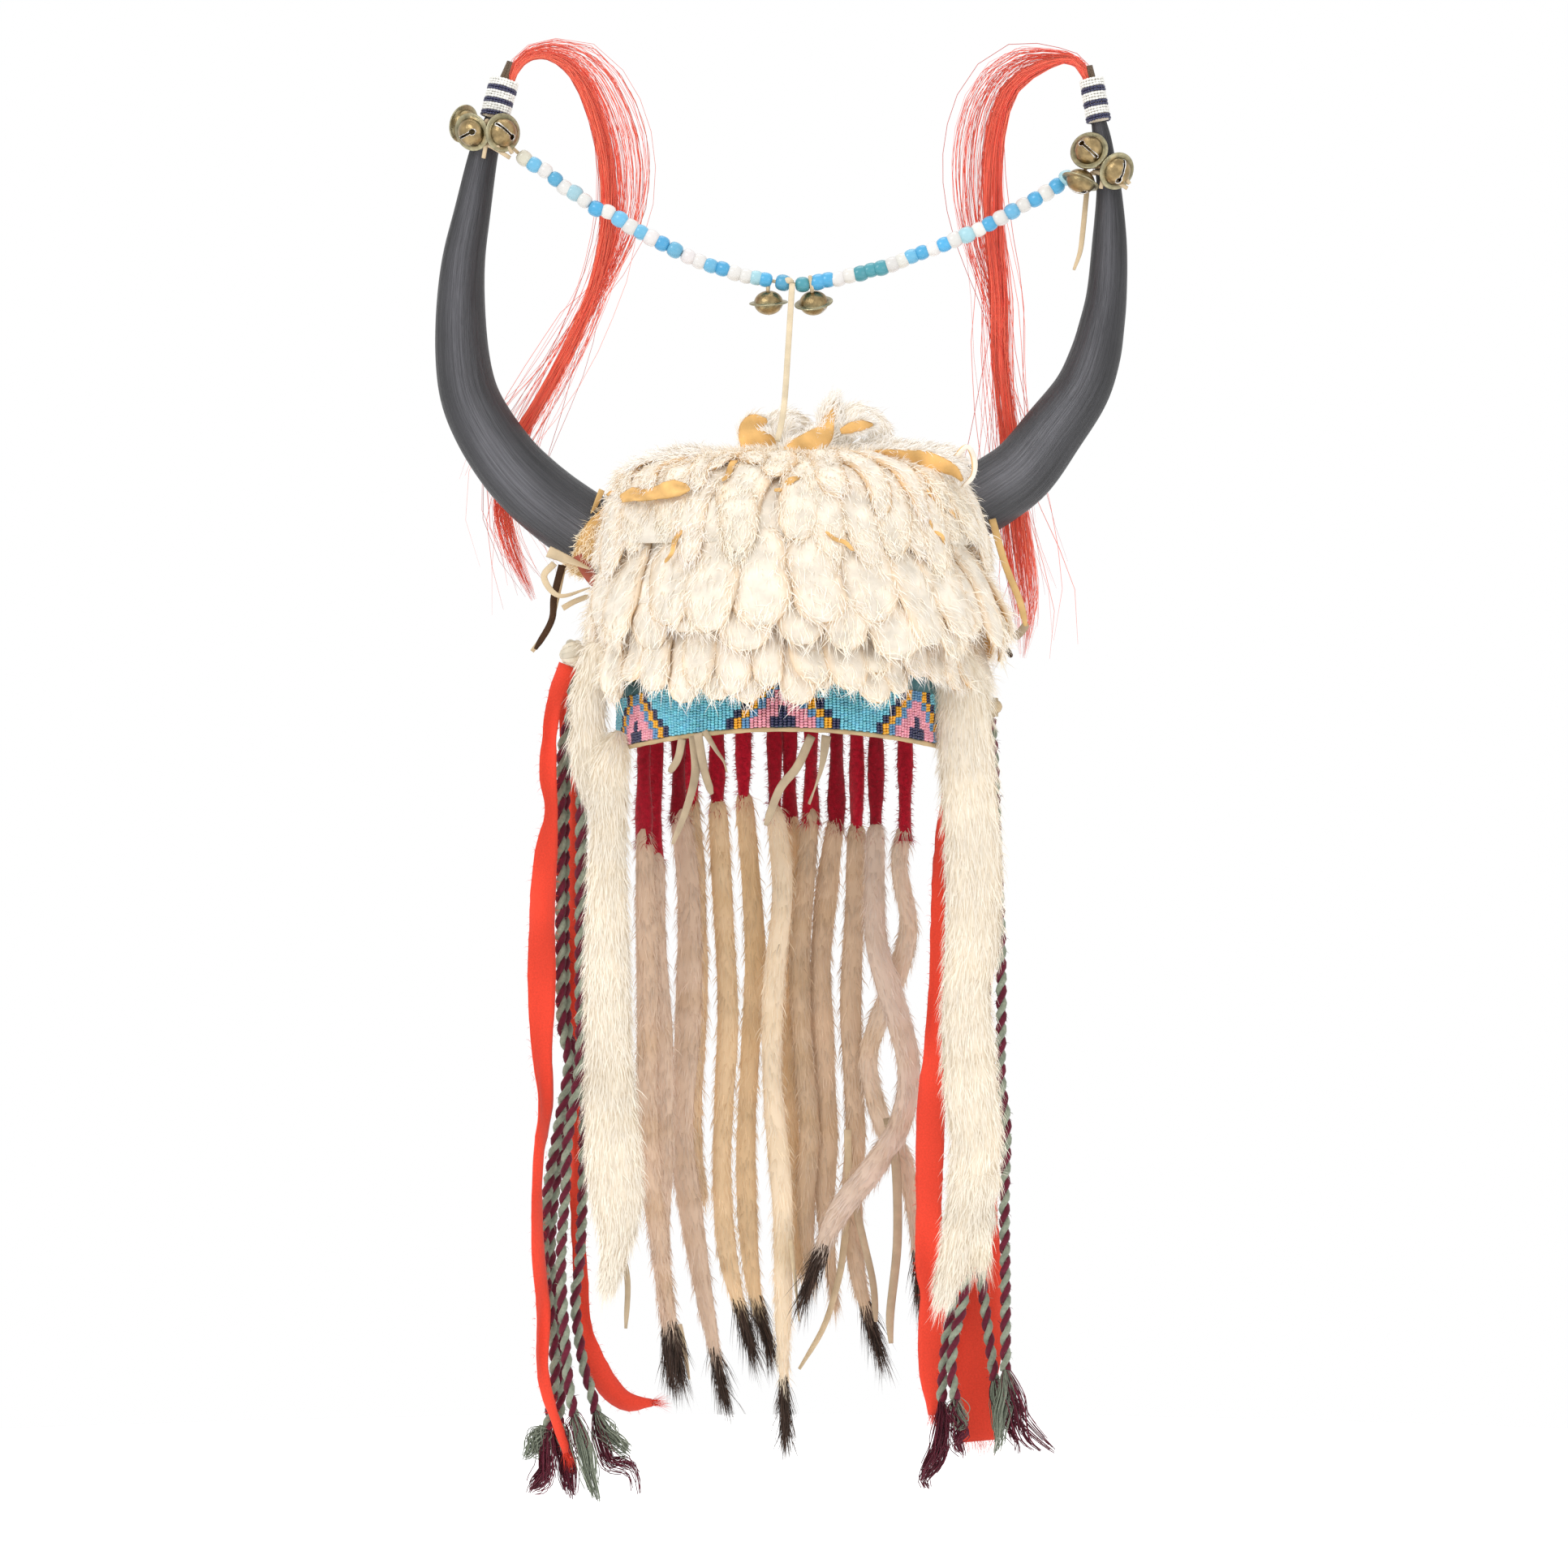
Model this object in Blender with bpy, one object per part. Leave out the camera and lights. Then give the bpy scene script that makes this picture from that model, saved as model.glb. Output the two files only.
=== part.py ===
"""Split horn headdress: a hide skull cap under tiers of ermine strips, two split horns with beaded tips, bells and
horsehair plumes, a bead string from tip to tip, a beaded brow band, and side and rear drops. Metres, +Z up, +Y to
the back of the head. The origin is where the crown of the head rests in the cap."""

import math

import bpy
import numpy as np

# Overall sizes
SPAN = 0.200  # middle of the cap to the outer edge of a horn
RISE = 0.250  # crown up to the plume tops
DROP = 0.610  # crown down to the lowest tassel
GAP = 0.0003  # clearance between two pieces

# Cap and band
CAP_HALF_WIDTH = 0.0935
CAP_HALF_DEPTH = 0.1065
CAP_HEIGHT = 0.1485
CAP_TOP = 0.0025
HIDE = 0.0025
BAND_THICKNESS = 0.0027
BAND_HEIGHT = 0.050
BAND_LOW = -0.148
BAND_DIP = 0.011
BAND_SWEEP = math.radians(88)

# Horns and what is on them
HORN_WIDTH = 0.043
HORN_WALL = 0.0035
HORN_BULGE = 0.42  # depth of the split horn as a share of its width
DEPTH = CAP_HALF_DEPTH
CUFF_WALL = 0.0021
TIE_WALL = 0.0020
BELL_FLANGE = 0.0112
BELL_DOME = 0.0084
BELL_HALF = 0.0070
BELL_SHANK = 0.0020
BEAD_RADIUS = 0.0046
BEAD_CORE = 0.0016

# Hung pieces
YARN_RADIUS = 0.0035
PENDANT_WIDTH = 0.0130
RIBBON_WIDTH = 0.0095
RIBBON_THICKNESS = 0.0012
FUR_RIDGE = 0.022

# Cap section: share of the height down from the crown, share of the half width
CAP_SECTION = ((0.00, 0.20), (0.03, 0.34), (0.09, 0.53), (0.18, 0.70), (0.31, 0.85), (0.48, 0.94), (0.70, 0.99))

# Horn stations: across in SPAN, up in RISE, back in DEPTH, width in HORN_WIDTH, hollow share of the bulge
HORN_LEFT = (
    (-0.789, 0.949, -0.10, 0.09, 0.05),
    (-0.800, 0.921, -0.10, 0.13, 0.05),
    (-0.817, 0.876, -0.09, 0.20, 0.05),
    (-0.833, 0.827, -0.08, 0.25, 0.08),
    (-0.847, 0.781, -0.06, 0.34, 0.15),
    (-0.868, 0.739, -0.05, 0.39, 0.30),
    (-0.901, 0.608, -0.02, 0.49, 0.60),
    (-0.927, 0.496, 0.00, 0.58, 0.80),
    (-0.936, 0.384, 0.02, 0.66, 0.90),
    (-0.931, 0.271, 0.03, 0.73, 1.00),
    (-0.910, 0.182, 0.03, 0.79, 1.00),
    (-0.863, 0.103, 0.03, 0.85, 1.00),
    (-0.798, 0.028, 0.02, 0.90, 1.00),
    (-0.737, -0.024, 0.01, 0.94, 1.00),
    (-0.676, -0.066, 0.00, 0.96, 1.00),
    (-0.613, -0.103, 0.00, 0.98, 1.00),
    (-0.543, -0.140, 0.00, 0.99, 1.00),
    (-0.426, -0.197, 0.00, 0.99, 1.00),
)
HORN_RIGHT = (
    (0.875, 0.940, -0.10, 0.09, 0.05),
    (0.882, 0.908, -0.10, 0.12, 0.05),
    (0.892, 0.861, -0.09, 0.15, 0.05),
    (0.903, 0.814, -0.08, 0.20, 0.08),
    (0.913, 0.773, -0.07, 0.25, 0.12),
    (0.922, 0.721, -0.06, 0.29, 0.20),
    (0.934, 0.653, -0.05, 0.34, 0.40),
    (0.936, 0.534, -0.02, 0.47, 0.75),
    (0.929, 0.421, 0.00, 0.54, 0.90),
    (0.915, 0.346, 0.01, 0.61, 1.00),
    (0.894, 0.271, 0.02, 0.69, 1.00),
    (0.854, 0.191, 0.03, 0.76, 1.00),
    (0.775, 0.103, 0.03, 0.84, 1.00),
    (0.690, 0.015, 0.02, 0.91, 1.00),
    (0.604, -0.037, 0.01, 0.95, 1.00),
    (0.534, -0.069, 0.00, 0.96, 1.00),
    (0.470, -0.099, 0.00, 0.97, 1.00),
    (0.426, -0.122, 0.00, 0.97, 1.00),
)
# Sleeves round a horn: first and last station, clearance and wall
CUFF_STATIONS = {"left": (1.35, 3.15), "right": (1.0, 3.05)}
TIE_STATIONS = {"left": (3.75, 4.35), "right": (4.85, 5.50)}

# Bells: node, middle across in SPAN, up in RISE, back in DEPTH, way the slit faces, turn of the slit in degrees
BELLS = (
    ("bell_left_1", -0.927, 0.811, 0.040, (-0.70, 0.65, 0.25), 0),
    ("bell_left_2", -0.8985, 0.784, -0.1715, (-0.47, -0.82, -0.31), 200),
    ("bell_left_3", -0.8095, 0.782, -0.1935, (0.50, -0.85, -0.05), 140),
    ("bell_right_1", 0.874, 0.742, -0.158, (-0.30, -0.92, 0.25), -40),
    ("bell_right_2", 0.952, 0.694, -0.1855, (0.45, -0.82, -0.35), 75),
    ("bell_right_3", 0.850, 0.672, -0.132, (-0.35, -0.25, -0.90), 190),
    ("bell_middle_1", -0.047, 0.3945, -0.078, (0.05, 0.20, -0.98), 20),
    ("bell_middle_2", 0.083, 0.3945, -0.060, (0.13, 0.40, -0.90), 40),
)

# Bead middles along the string: across in SPAN, up in RISE
BEADS = (
    (-0.749, 0.726), (-0.721, 0.711), (-0.690, 0.698), (-0.660, 0.678), (-0.634, 0.659), (-0.604, 0.646),
    (-0.576, 0.629), (-0.543, 0.610), (-0.508, 0.603), (-0.475, 0.586), (-0.445, 0.569), (-0.414, 0.556),
    (-0.384, 0.543), (-0.353, 0.530), (-0.316, 0.515), (-0.278, 0.500), (-0.246, 0.489), (-0.213, 0.479),
    (-0.180, 0.472), (-0.145, 0.462), (-0.112, 0.455), (-0.082, 0.451), (-0.056, 0.447), (-0.005, 0.440),
    (0.051, 0.436), (0.096, 0.442), (0.124, 0.447), (0.154, 0.449), (0.187, 0.457), (0.218, 0.462),
    (0.248, 0.470), (0.278, 0.475), (0.309, 0.483), (0.337, 0.492), (0.365, 0.502), (0.395, 0.511),
    (0.428, 0.520), (0.459, 0.530), (0.489, 0.541), (0.524, 0.552), (0.559, 0.565), (0.590, 0.578),
    (0.622, 0.592), (0.655, 0.607), (0.688, 0.622), (0.721, 0.635), (0.753, 0.650), (0.784, 0.666),
    (0.812, 0.685),
)
STRING_ENDS = ((-0.790, 0.755), (0.870, 0.694))
STRING_BACK = (-0.11, -0.10, 0.02)  # in DEPTH, at the left end, the middle and the right end

# Fur tiers: height in metres, then how far the outside is proud of the cap's half width and half depth, then the
# same of the inside. None, None follows the cap itself.
FUR_TIERS = {
    "fur_crown": (
        ((0.019, -0.0535, -0.0715), (0.014, -0.0035, -0.0405), (0.003, 0.0125, -0.0165), (-0.022, 0.0205, 0.0055),
         (-0.050, 0.0275, 0.0205)),
        ((-0.048, 0.0185, 0.0125), (-0.023, 0.0045, -0.0005), (0.0031, -0.0595, -0.0685)),
        0.004,
    ),
    "fur_middle": (
        ((-0.044, 0.0035, 0.0015), (-0.062, 0.0205, 0.0185), (-0.082, 0.0345, 0.0305), (-0.097, 0.0325, 0.0295)),
        ((-0.095, 0.0255, 0.0235), (-0.070, 0.0105, 0.0095), (-0.046, None, None)),
        0.009,
    ),
    "fur_lower": (
        ((-0.080, 0.0055, 0.0035), (-0.104, 0.0215, 0.0195), (-0.127, 0.0265, 0.0245)),
        ((-0.125, 0.0185, 0.0175), (-0.097, 0.0085, 0.0075), (-0.083, None, None)),
        0.001,
    ),
}
FUR_STRIPS = {"fur_crown": 15, "fur_middle": 16, "fur_lower": 16}

# Loose hide strips on the crown: foot across in SPAN and back in DEPTH, lean across and back, height in RISE, width
TOPKNOT = (
    (-0.06, -0.10, -0.06, -0.10, 0.095, 0.020),
    (0.06, -0.06, 0.02, -0.06, 0.080, 0.024),
    (0.16, -0.02, 0.10, 0.02, 0.135, 0.016),
    (0.24, -0.12, 0.16, -0.06, 0.100, 0.022),
)

# Routes of hung pieces: across in SPAN, down in DROP, back in DEPTH, width share
PENDANTS = {
    "pendant_01": ((-0.377, 0.356, 0.58, 0.8), (-0.381, 0.433, 0.56, 1.1), (-0.363, 0.549, 0.56, 1.15),
                   (-0.356, 0.625, 0.56, 1.1), (-0.367, 0.702, 0.56, 1.0), (-0.358, 0.763, 0.56, 0.75),
                   (-0.335, 0.848, 0.56, 0.2)),
    "pendant_02": ((-0.311, 0.314, 0.76, 0.8), (-0.283, 0.395, 0.74, 1.1), (-0.283, 0.510, 0.72, 1.15),
                   (-0.302, 0.625, 0.72, 1.1), (-0.283, 0.687, 0.72, 1.05), (-0.255, 0.748, 0.72, 0.95),
                   (-0.222, 0.809, 0.70, 0.7), (-0.185, 0.872, 0.70, 0.15)),
    "pendant_03": ((-0.410, 0.335, 0.40, 0.8), (-0.400, 0.472, 0.38, 1.0), (-0.402, 0.587, 0.38, 1.0),
                   (-0.391, 0.664, 0.38, 0.95), (-0.363, 0.733, 0.38, 0.8), (-0.307, 0.849, 0.38, 0.15)),
    "pendant_04": ((-0.278, 0.295, 0.90, 0.7), (-0.260, 0.395, 0.90, 0.85), (-0.255, 0.510, 0.90, 0.85),
                   (-0.269, 0.587, 0.90, 0.8), (-0.260, 0.656, 0.90, 0.6), (-0.243, 0.688, 0.90, 0.25)),
    "pendant_05": ((-0.199, 0.304, 0.93, 0.8), (-0.185, 0.395, 0.93, 0.95), (-0.168, 0.510, 0.93, 0.95),
                   (-0.180, 0.602, 0.93, 0.9), (-0.185, 0.679, 0.93, 0.9), (-0.164, 0.756, 0.93, 0.8),
                   (-0.101, 0.834, 0.93, 0.15)),
    "pendant_06": ((-0.122, 0.297, 1.04, 0.8), (-0.098, 0.395, 1.04, 0.95), (-0.087, 0.472, 1.04, 0.95),
                   (-0.105, 0.564, 1.04, 0.9), (-0.115, 0.664, 1.04, 0.9), (-0.096, 0.771, 1.04, 0.75),
                   (-0.049, 0.834, 1.04, 0.15)),
    "pendant_07": ((-0.030, 0.312, 0.93, 0.8), (-0.007, 0.395, 0.88, 1.0), (-0.033, 0.487, 0.87, 0.95),
                   (-0.037, 0.579, 0.87, 0.95), (-0.009, 0.687, 0.87, 0.95), (-0.005, 0.779, 0.87, 0.85),
                   (-0.005, 0.844, 0.87, 0.5), (0.002, 0.911, 0.87, 0.15)),
    "pendant_08": ((0.014, 0.318, 1.07, 0.75), (0.040, 0.395, 1.07, 0.85), (0.021, 0.510, 1.07, 0.85),
                   (0.016, 0.610, 1.07, 0.8), (0.035, 0.702, 1.07, 0.7), (0.044, 0.763, 1.07, 0.3)),
    "pendant_09": ((0.077, 0.315, 0.95, 0.8), (0.063, 0.380, 0.97, 0.9), (0.044, 0.456, 0.98, 0.95),
                   (0.054, 0.549, 0.98, 0.95), (0.073, 0.625, 0.98, 0.9), (0.063, 0.702, 0.98, 0.8),
                   (0.077, 0.771, 0.98, 0.3)),
    "pendant_10": ((0.152, 0.321, 1.02, 0.8), (0.124, 0.395, 1.04, 1.0), (0.105, 0.472, 1.04, 1.0),
                   (0.115, 0.549, 1.04, 1.0), (0.124, 0.625, 1.04, 1.0), (0.119, 0.702, 1.04, 0.9),
                   (0.147, 0.794, 1.04, 0.2)),
    "pendant_11": ((0.211, 0.327, 0.93, 0.8), (0.208, 0.395, 0.94, 0.95), (0.194, 0.510, 0.95, 0.95),
                   (0.208, 0.625, 0.95, 0.95), (0.199, 0.687, 0.95, 0.9), (0.213, 0.763, 0.95, 0.8),
                   (0.274, 0.837, 0.95, 0.15)),
    "pendant_12": ((0.267, 0.328, 0.83, 0.8), (0.264, 0.395, 0.80, 1.0), (0.271, 0.449, 0.76, 1.05),
                   (0.325, 0.510, 0.73, 1.1), (0.363, 0.564, 0.72, 1.1), (0.339, 0.618, 0.72, 1.1),
                   (0.253, 0.664, 0.72, 1.1), (0.147, 0.710, 0.72, 1.0), (0.063, 0.780, 0.72, 0.2)),
    "pendant_13": ((0.351, 0.331, 0.66, 0.75), (0.335, 0.372, 0.68, 0.8), (0.363, 0.426, 0.76, 0.85),
                   (0.335, 0.472, 0.88, 0.9), (0.274, 0.522, 0.90, 0.9), (0.246, 0.564, 0.90, 0.9),
                   (0.292, 0.625, 0.88, 0.85), (0.358, 0.664, 0.86, 0.75), (0.400, 0.785, 0.86, 0.15)),
}
YARNS = {
    "yarn_left_1": ((-0.618, 0.1803, 0.10), (-0.615, 0.219, 0.10), (-0.644, 0.265, 0.10), (-0.648, 0.364, 0.10),
                    (-0.646, 0.510, 0.10), (-0.625, 0.556, 0.11), (-0.655, 0.618, 0.11), (-0.686, 0.679, 0.11),
                    (-0.697, 0.740, 0.11), (-0.681, 0.786, 0.11), (-0.665, 0.848, 0.11), (-0.686, 0.904, 0.11)),
    "yarn_left_2": ((-0.613, 0.1803, 0.19), (-0.606, 0.219, 0.19), (-0.632, 0.272, 0.19), (-0.639, 0.364, 0.20),
                    (-0.634, 0.510, 0.20), (-0.611, 0.556, 0.20), (-0.641, 0.618, 0.20), (-0.667, 0.679, 0.20),
                    (-0.679, 0.740, 0.20), (-0.662, 0.794, 0.20), (-0.648, 0.848, 0.20), (-0.655, 0.900, 0.20)),
    "yarn_left_3": ((-0.580, 0.2084, 0.10), (-0.582, 0.236, 0.10), (-0.590, 0.318, 0.08), (-0.592, 0.472, 0.06),
                    (-0.592, 0.556, 0.03), (-0.625, 0.625, 0.01), (-0.632, 0.671, 0.01), (-0.646, 0.748, 0.01),
                    (-0.629, 0.840, 0.01), (-0.622, 0.864, 0.01), (-0.608, 0.889, 0.01)),
    "yarn_left_4": ((-0.577, 0.2084, 0.225), (-0.581, 0.245, 0.265), (-0.587, 0.364, 0.28), (-0.587, 0.510, 0.27),
                    (-0.583, 0.625, 0.27), (-0.594, 0.740, 0.27), (-0.608, 0.779, 0.27), (-0.599, 0.817, 0.27),
                    (-0.580, 0.852, 0.27), (-0.564, 0.867, 0.27), (-0.548, 0.890, 0.27)),
    "yarn_right_1": ((0.597, 0.2312, 0.20), (0.606, 0.280, 0.21), (0.615, 0.364, 0.22), (0.625, 0.441, 0.22),
                     (0.627, 0.510, 0.22), (0.625, 0.572, 0.22), (0.641, 0.618, 0.22), (0.636, 0.687, 0.22),
                     (0.639, 0.779, 0.22), (0.639, 0.849, 0.22)),
    "yarn_right_2": ((0.590, 0.2312, 0.30), (0.583, 0.280, 0.30), (0.583, 0.364, 0.29), (0.585, 0.472, 0.29),
                     (0.573, 0.572, 0.29), (0.559, 0.656, 0.29), (0.557, 0.710, 0.29), (0.566, 0.748, 0.29),
                     (0.585, 0.802, 0.29), (0.608, 0.859, 0.29)),
    "yarn_right_3": ((0.550, 0.2312, 0.20), (0.553, 0.288, 0.21), (0.550, 0.395, 0.22), (0.550, 0.549, 0.22),
                     (0.545, 0.664, 0.22), (0.531, 0.748, 0.21), (0.512, 0.790, 0.20), (0.491, 0.817, 0.20),
                     (0.482, 0.848, 0.20), (0.494, 0.877, 0.20)),
    "yarn_right_4": ((0.543, 0.2312, 0.30), (0.530, 0.288, 0.29), (0.517, 0.395, 0.29), (0.515, 0.549, 0.29),
                     (0.510, 0.664, 0.29), (0.501, 0.733, 0.29), (0.487, 0.786, 0.29), (0.468, 0.821, 0.29),
                     (0.459, 0.855, 0.29), (0.454, 0.880, 0.29)),
}
YARN_POINTS = 18
RIBBON_POINTS = 12
# Ribbon stations add a turn about the vertical, in degrees
RIBBONS = {
    "ribbon_left_1": ((-0.625, 0.1803, 0.03, 1.20, 0), (-0.655, 0.204, 0.02, 1.00, 0), (-0.674, 0.234, 0.00, 0.90, 0),
                      (-0.683, 0.282, 0.00, 1.05, 0), (-0.674, 0.318, 0.00, 0.80, 20), (-0.690, 0.361, 0.01, 1.45, 20),
                      (-0.700, 0.443, 0.01, 1.65, 10), (-0.702, 0.505, 0.01, 1.60, 10), (-0.702, 0.552, 0.01, 1.30, 30),
                      (-0.695, 0.599, 0.01, 1.20, 50), (-0.705, 0.656, -0.01, 1.00, 60),
                      (-0.712, 0.710, -0.02, 1.00, 50), (-0.700, 0.779, 0.01, 1.00, 40),
                      (-0.700, 0.848, 0.01, 0.80, 30), (-0.629, 0.925, 0.05, 0.50, 0)),
    "ribbon_left_2": ((-0.620, 0.1803, 0.25, 0.90, 0), (-0.632, 0.226, 0.34, 1.00, 0), (-0.615, 0.318, 0.35, 0.90, 0),
                      (-0.611, 0.472, 0.35, 0.90, 0), (-0.611, 0.625, 0.35, 0.80, 0), (-0.592, 0.771, 0.35, 0.90, 0),
                      (-0.578, 0.809, 0.35, 0.70, 0), (-0.555, 0.837, 0.35, 1.10, 0), (-0.519, 0.864, 0.35, 1.40, 0),
                      (-0.461, 0.881, 0.35, 1.20, 0), (-0.386, 0.882, 0.35, 0.40, 0)),
    "ribbon_right_1": ((0.530, 0.2312, 0.38, 0.90, 0), (0.490, 0.288, 0.37, 1.00, 0), (0.452, 0.364, 0.37, 0.90, 0),
                       (0.442, 0.472, 0.37, 0.90, 0), (0.433, 0.523, 0.37, 1.00, 0), (0.431, 0.558, 0.37, 1.30, 0),
                       (0.426, 0.593, 0.37, 1.70, 0), (0.421, 0.648, 0.37, 1.70, 0), (0.419, 0.694, 0.37, 1.60, 0),
                       (0.421, 0.747, 0.37, 1.80, 0), (0.440, 0.779, 0.37, 2.00, 0), (0.433, 0.808, 0.37, 1.90, 0),
                       (0.428, 0.852, 0.37, 1.60, 0), (0.431, 0.894, 0.37, 0.60, 0)),
    "ribbon_right_2": ((0.583, 0.2312, 0.40, 0.90, 0), (0.578, 0.318, 0.43, 1.00, 0), (0.573, 0.472, 0.45, 1.10, 0),
                       (0.578, 0.625, 0.45, 1.30, 0), (0.573, 0.702, 0.45, 2.00, 0), (0.557, 0.760, 0.45, 3.20, 0),
                       (0.557, 0.825, 0.45, 3.20, 0), (0.550, 0.867, 0.45, 2.80, 0), (0.564, 0.920, 0.45, 2.10, 0)),
}
# Side ermines: across in SPAN, down in DROP, back in DEPTH, width in SIDE_WIDTH
SIDE_WIDTH = 0.036
SIDE_DEPTH = 0.45  # thickness of a side ermine as a share of its width
SIDE_ERMINES = {
    "side_ermine_left": ((-0.494, 0.216, -0.43, 0.60), (-0.503, 0.266, -0.45, 0.60), (-0.505, 0.384, -0.50, 0.66),
                         (-0.505, 0.472, -0.50, 0.76), (-0.501, 0.549, -0.50, 0.83), (-0.491, 0.625, -0.50, 0.92),
                         (-0.480, 0.679, -0.50, 0.92), (-0.480, 0.717, -0.50, 0.58), (-0.503, 0.760, -0.50, 0.20)),
    "side_ermine_right": ((0.509, 0.216, -0.495, 0.92), (0.520, 0.280, -0.50, 0.94), (0.538, 0.364, -0.50, 1.00),
                          (0.536, 0.441, -0.50, 0.96), (0.517, 0.480, -0.50, 0.81), (0.522, 0.533, -0.50, 0.90),
                          (0.531, 0.579, -0.50, 0.94), (0.545, 0.625, -0.50, 0.92), (0.530, 0.664, -0.50, 0.83),
                          (0.505, 0.702, -0.50, 0.60), (0.480, 0.740, -0.50, 0.48), (0.452, 0.771, -0.50, 0.26)),
    "ermine_tail_left": ((-0.560, 0.2074, -0.34, 0.55), (-0.562, 0.242, -0.33, 0.60), (-0.564, 0.272, -0.33, 0.58),
                         (-0.557, 0.299, -0.33, 0.26)),
}
# Plumes: across in SPAN, up in RISE, back in DEPTH, thickness in PLUME_RADIUS
PLUME_RADIUS = 0.0055
PLUMES = {
    "plume_left": ((-0.773, 0.924, -0.10, 0.50), (-0.752, 0.947, -0.08, 0.80), (-0.711, 0.966, -0.02, 1.00),
                   (-0.648, 0.955, 0.05, 1.10), (-0.597, 0.915, 0.08, 1.20), (-0.555, 0.842, 0.10, 1.30),
                   (-0.524, 0.751, 0.12, 1.30), (-0.510, 0.636, 0.14, 1.20), (-0.522, 0.534, 0.16, 1.10),
                   (-0.559, 0.421, 0.20, 0.90), (-0.632, 0.290, 0.26, 0.80), (-0.718, 0.168, 0.32, 0.70),
                   (-0.779, 0.084, 0.34, 0.70), (-0.817, -0.009, 0.34, 0.80), (-0.819, -0.103, 0.30, 0.90),
                   (-0.779, -0.197, 0.26, 0.60), (-0.728, -0.286, 0.24, 0.20)),
    "plume_right": ((0.857, 0.924, -0.10, 0.50), (0.838, 0.947, -0.08, 0.85), (0.805, 0.957, -0.02, 1.10),
                    (0.749, 0.947, 0.05, 1.20), (0.681, 0.921, 0.08, 1.30), (0.634, 0.874, 0.10, 1.30),
                    (0.606, 0.786, 0.12, 1.30), (0.597, 0.683, 0.14, 1.30), (0.601, 0.552, 0.16, 1.20),
                    (0.618, 0.421, 0.20, 1.10), (0.620, 0.290, 0.24, 1.00), (0.634, 0.178, 0.30, 0.90),
                    (0.653, 0.066, 0.34, 0.90), (0.662, -0.066, 0.33, 1.20), (0.681, -0.197, 0.28, 1.30),
                    (0.700, -0.309, 0.26, 1.00), (0.690, -0.421, 0.25, 0.20)),
}
# Flat hide thongs: across in SPAN, down in DROP, back in DEPTH, width in THONG_WIDTH
THONG_WIDTH = 0.0035
THONG_THICKNESS = 0.0014
THONGS = {
    "middle_thong": ((0.021, -0.179, -0.14, 1.0), (0.010, -0.120, -0.27, 1.0), (-0.003, -0.060, -0.40, 1.0),
                     (-0.021, -0.0282, -0.49, 1.0)),
    "root_thong_left": ((-0.637, 0.0850, 0.06, 0.8), (-0.660, 0.119, 0.05, 0.9), (-0.683, 0.146, 0.0, 1.0),
                        (-0.729, 0.167, 0.0, 0.7)),
    "bell_thong_right": ((0.874, -0.279, -0.004, 0.9), (0.868, -0.260, -0.004, 0.9), (0.858, -0.228, -0.02, 0.9),
                         (0.850, -0.210, -0.04, 0.8), (0.832, -0.193, -0.06, 0.5)),
}
# Hide knots that the side drops hang from: middle across in SPAN, down in DROP, back in DEPTH, size in metres
KNOTS = {
    "side_knot_left": (-0.6110, 0.16975, 0.14, (0.0148, 0.040, 0.0123)),
    "side_knot_right": (0.559, 0.21914, 0.30, (0.0285, 0.040, 0.01365)),
}
# Wool strips at the rear: foot across in SPAN, down in DROP, back in DEPTH (where each pendant starts)
WOOL_WIDTH = 0.0090
WOOL_DEPTH = 0.0060
WOOL_TOP = -0.128
WOOL_HEM = -0.137
WOOL_BACKING = 0.0020

MATERIALS = {
    "hide": ((0.62, 0.48, 0.32), 0.8, 0.0),
    "white_fur": ((0.86, 0.80, 0.70), 0.95, 0.0),
    "horn": ((0.09, 0.09, 0.10), 0.45, 0.0),
    "brass": ((0.45, 0.34, 0.18), 0.35, 1.0),
    "seed_beads": ((0.20, 0.50, 0.62), 0.3, 0.0),
    "glass_beads": ((0.60, 0.78, 0.86), 0.25, 0.0),
    "red_horsehair": ((0.75, 0.06, 0.04), 0.6, 0.0),
    "red_wool": ((0.40, 0.02, 0.03), 0.95, 0.0),
    "red_cloth": ((0.80, 0.08, 0.04), 0.9, 0.0),
    "yarn": ((0.22, 0.12, 0.12), 0.95, 0.0),
}


def collection(name, hidden=False):
    made = bpy.data.collections.new(name)
    made.hide_render = hidden
    bpy.context.scene.collection.children.link(made)
    return made


def material(name):
    made = bpy.data.materials.get(name)
    if made:
        return made
    colour, roughness, metallic = MATERIALS[name]
    made = bpy.data.materials.new(name)
    made.use_nodes = True
    shader = made.node_tree.nodes["Principled BSDF"]
    shader.inputs["Base Color"].default_value = (*colour, 1.0)
    shader.inputs["Roughness"].default_value = roughness
    shader.inputs["Metallic"].default_value = metallic
    return made


def add(name, points, faces, slot, cutter=False):
    """Makes a mesh object, its faces turned outwards."""
    mesh = bpy.data.meshes.new(name)
    mesh.from_pydata([tuple(map(float, point)) for point in points], [], faces)
    mesh.validate()
    ends = []
    for face in faces:
        for i in range(1, len(face) - 1):
            ends.append((face[0], face[i], face[i + 1]))
    corners = np.asarray(points)[np.array(ends)]
    if np.linalg.det(corners).sum() < 0:
        mesh.flip_normals()
    obj = bpy.data.objects.new(name, mesh)
    if cutter:
        CUTTERS.objects.link(obj)
        obj.hide_render = True
        obj.display_type = "WIRE"
    else:
        OBJECT.objects.link(obj)
        obj.data.materials.append(material(slot))
        for polygon in mesh.polygons:
            polygon.use_smooth = True
    return obj


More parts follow.
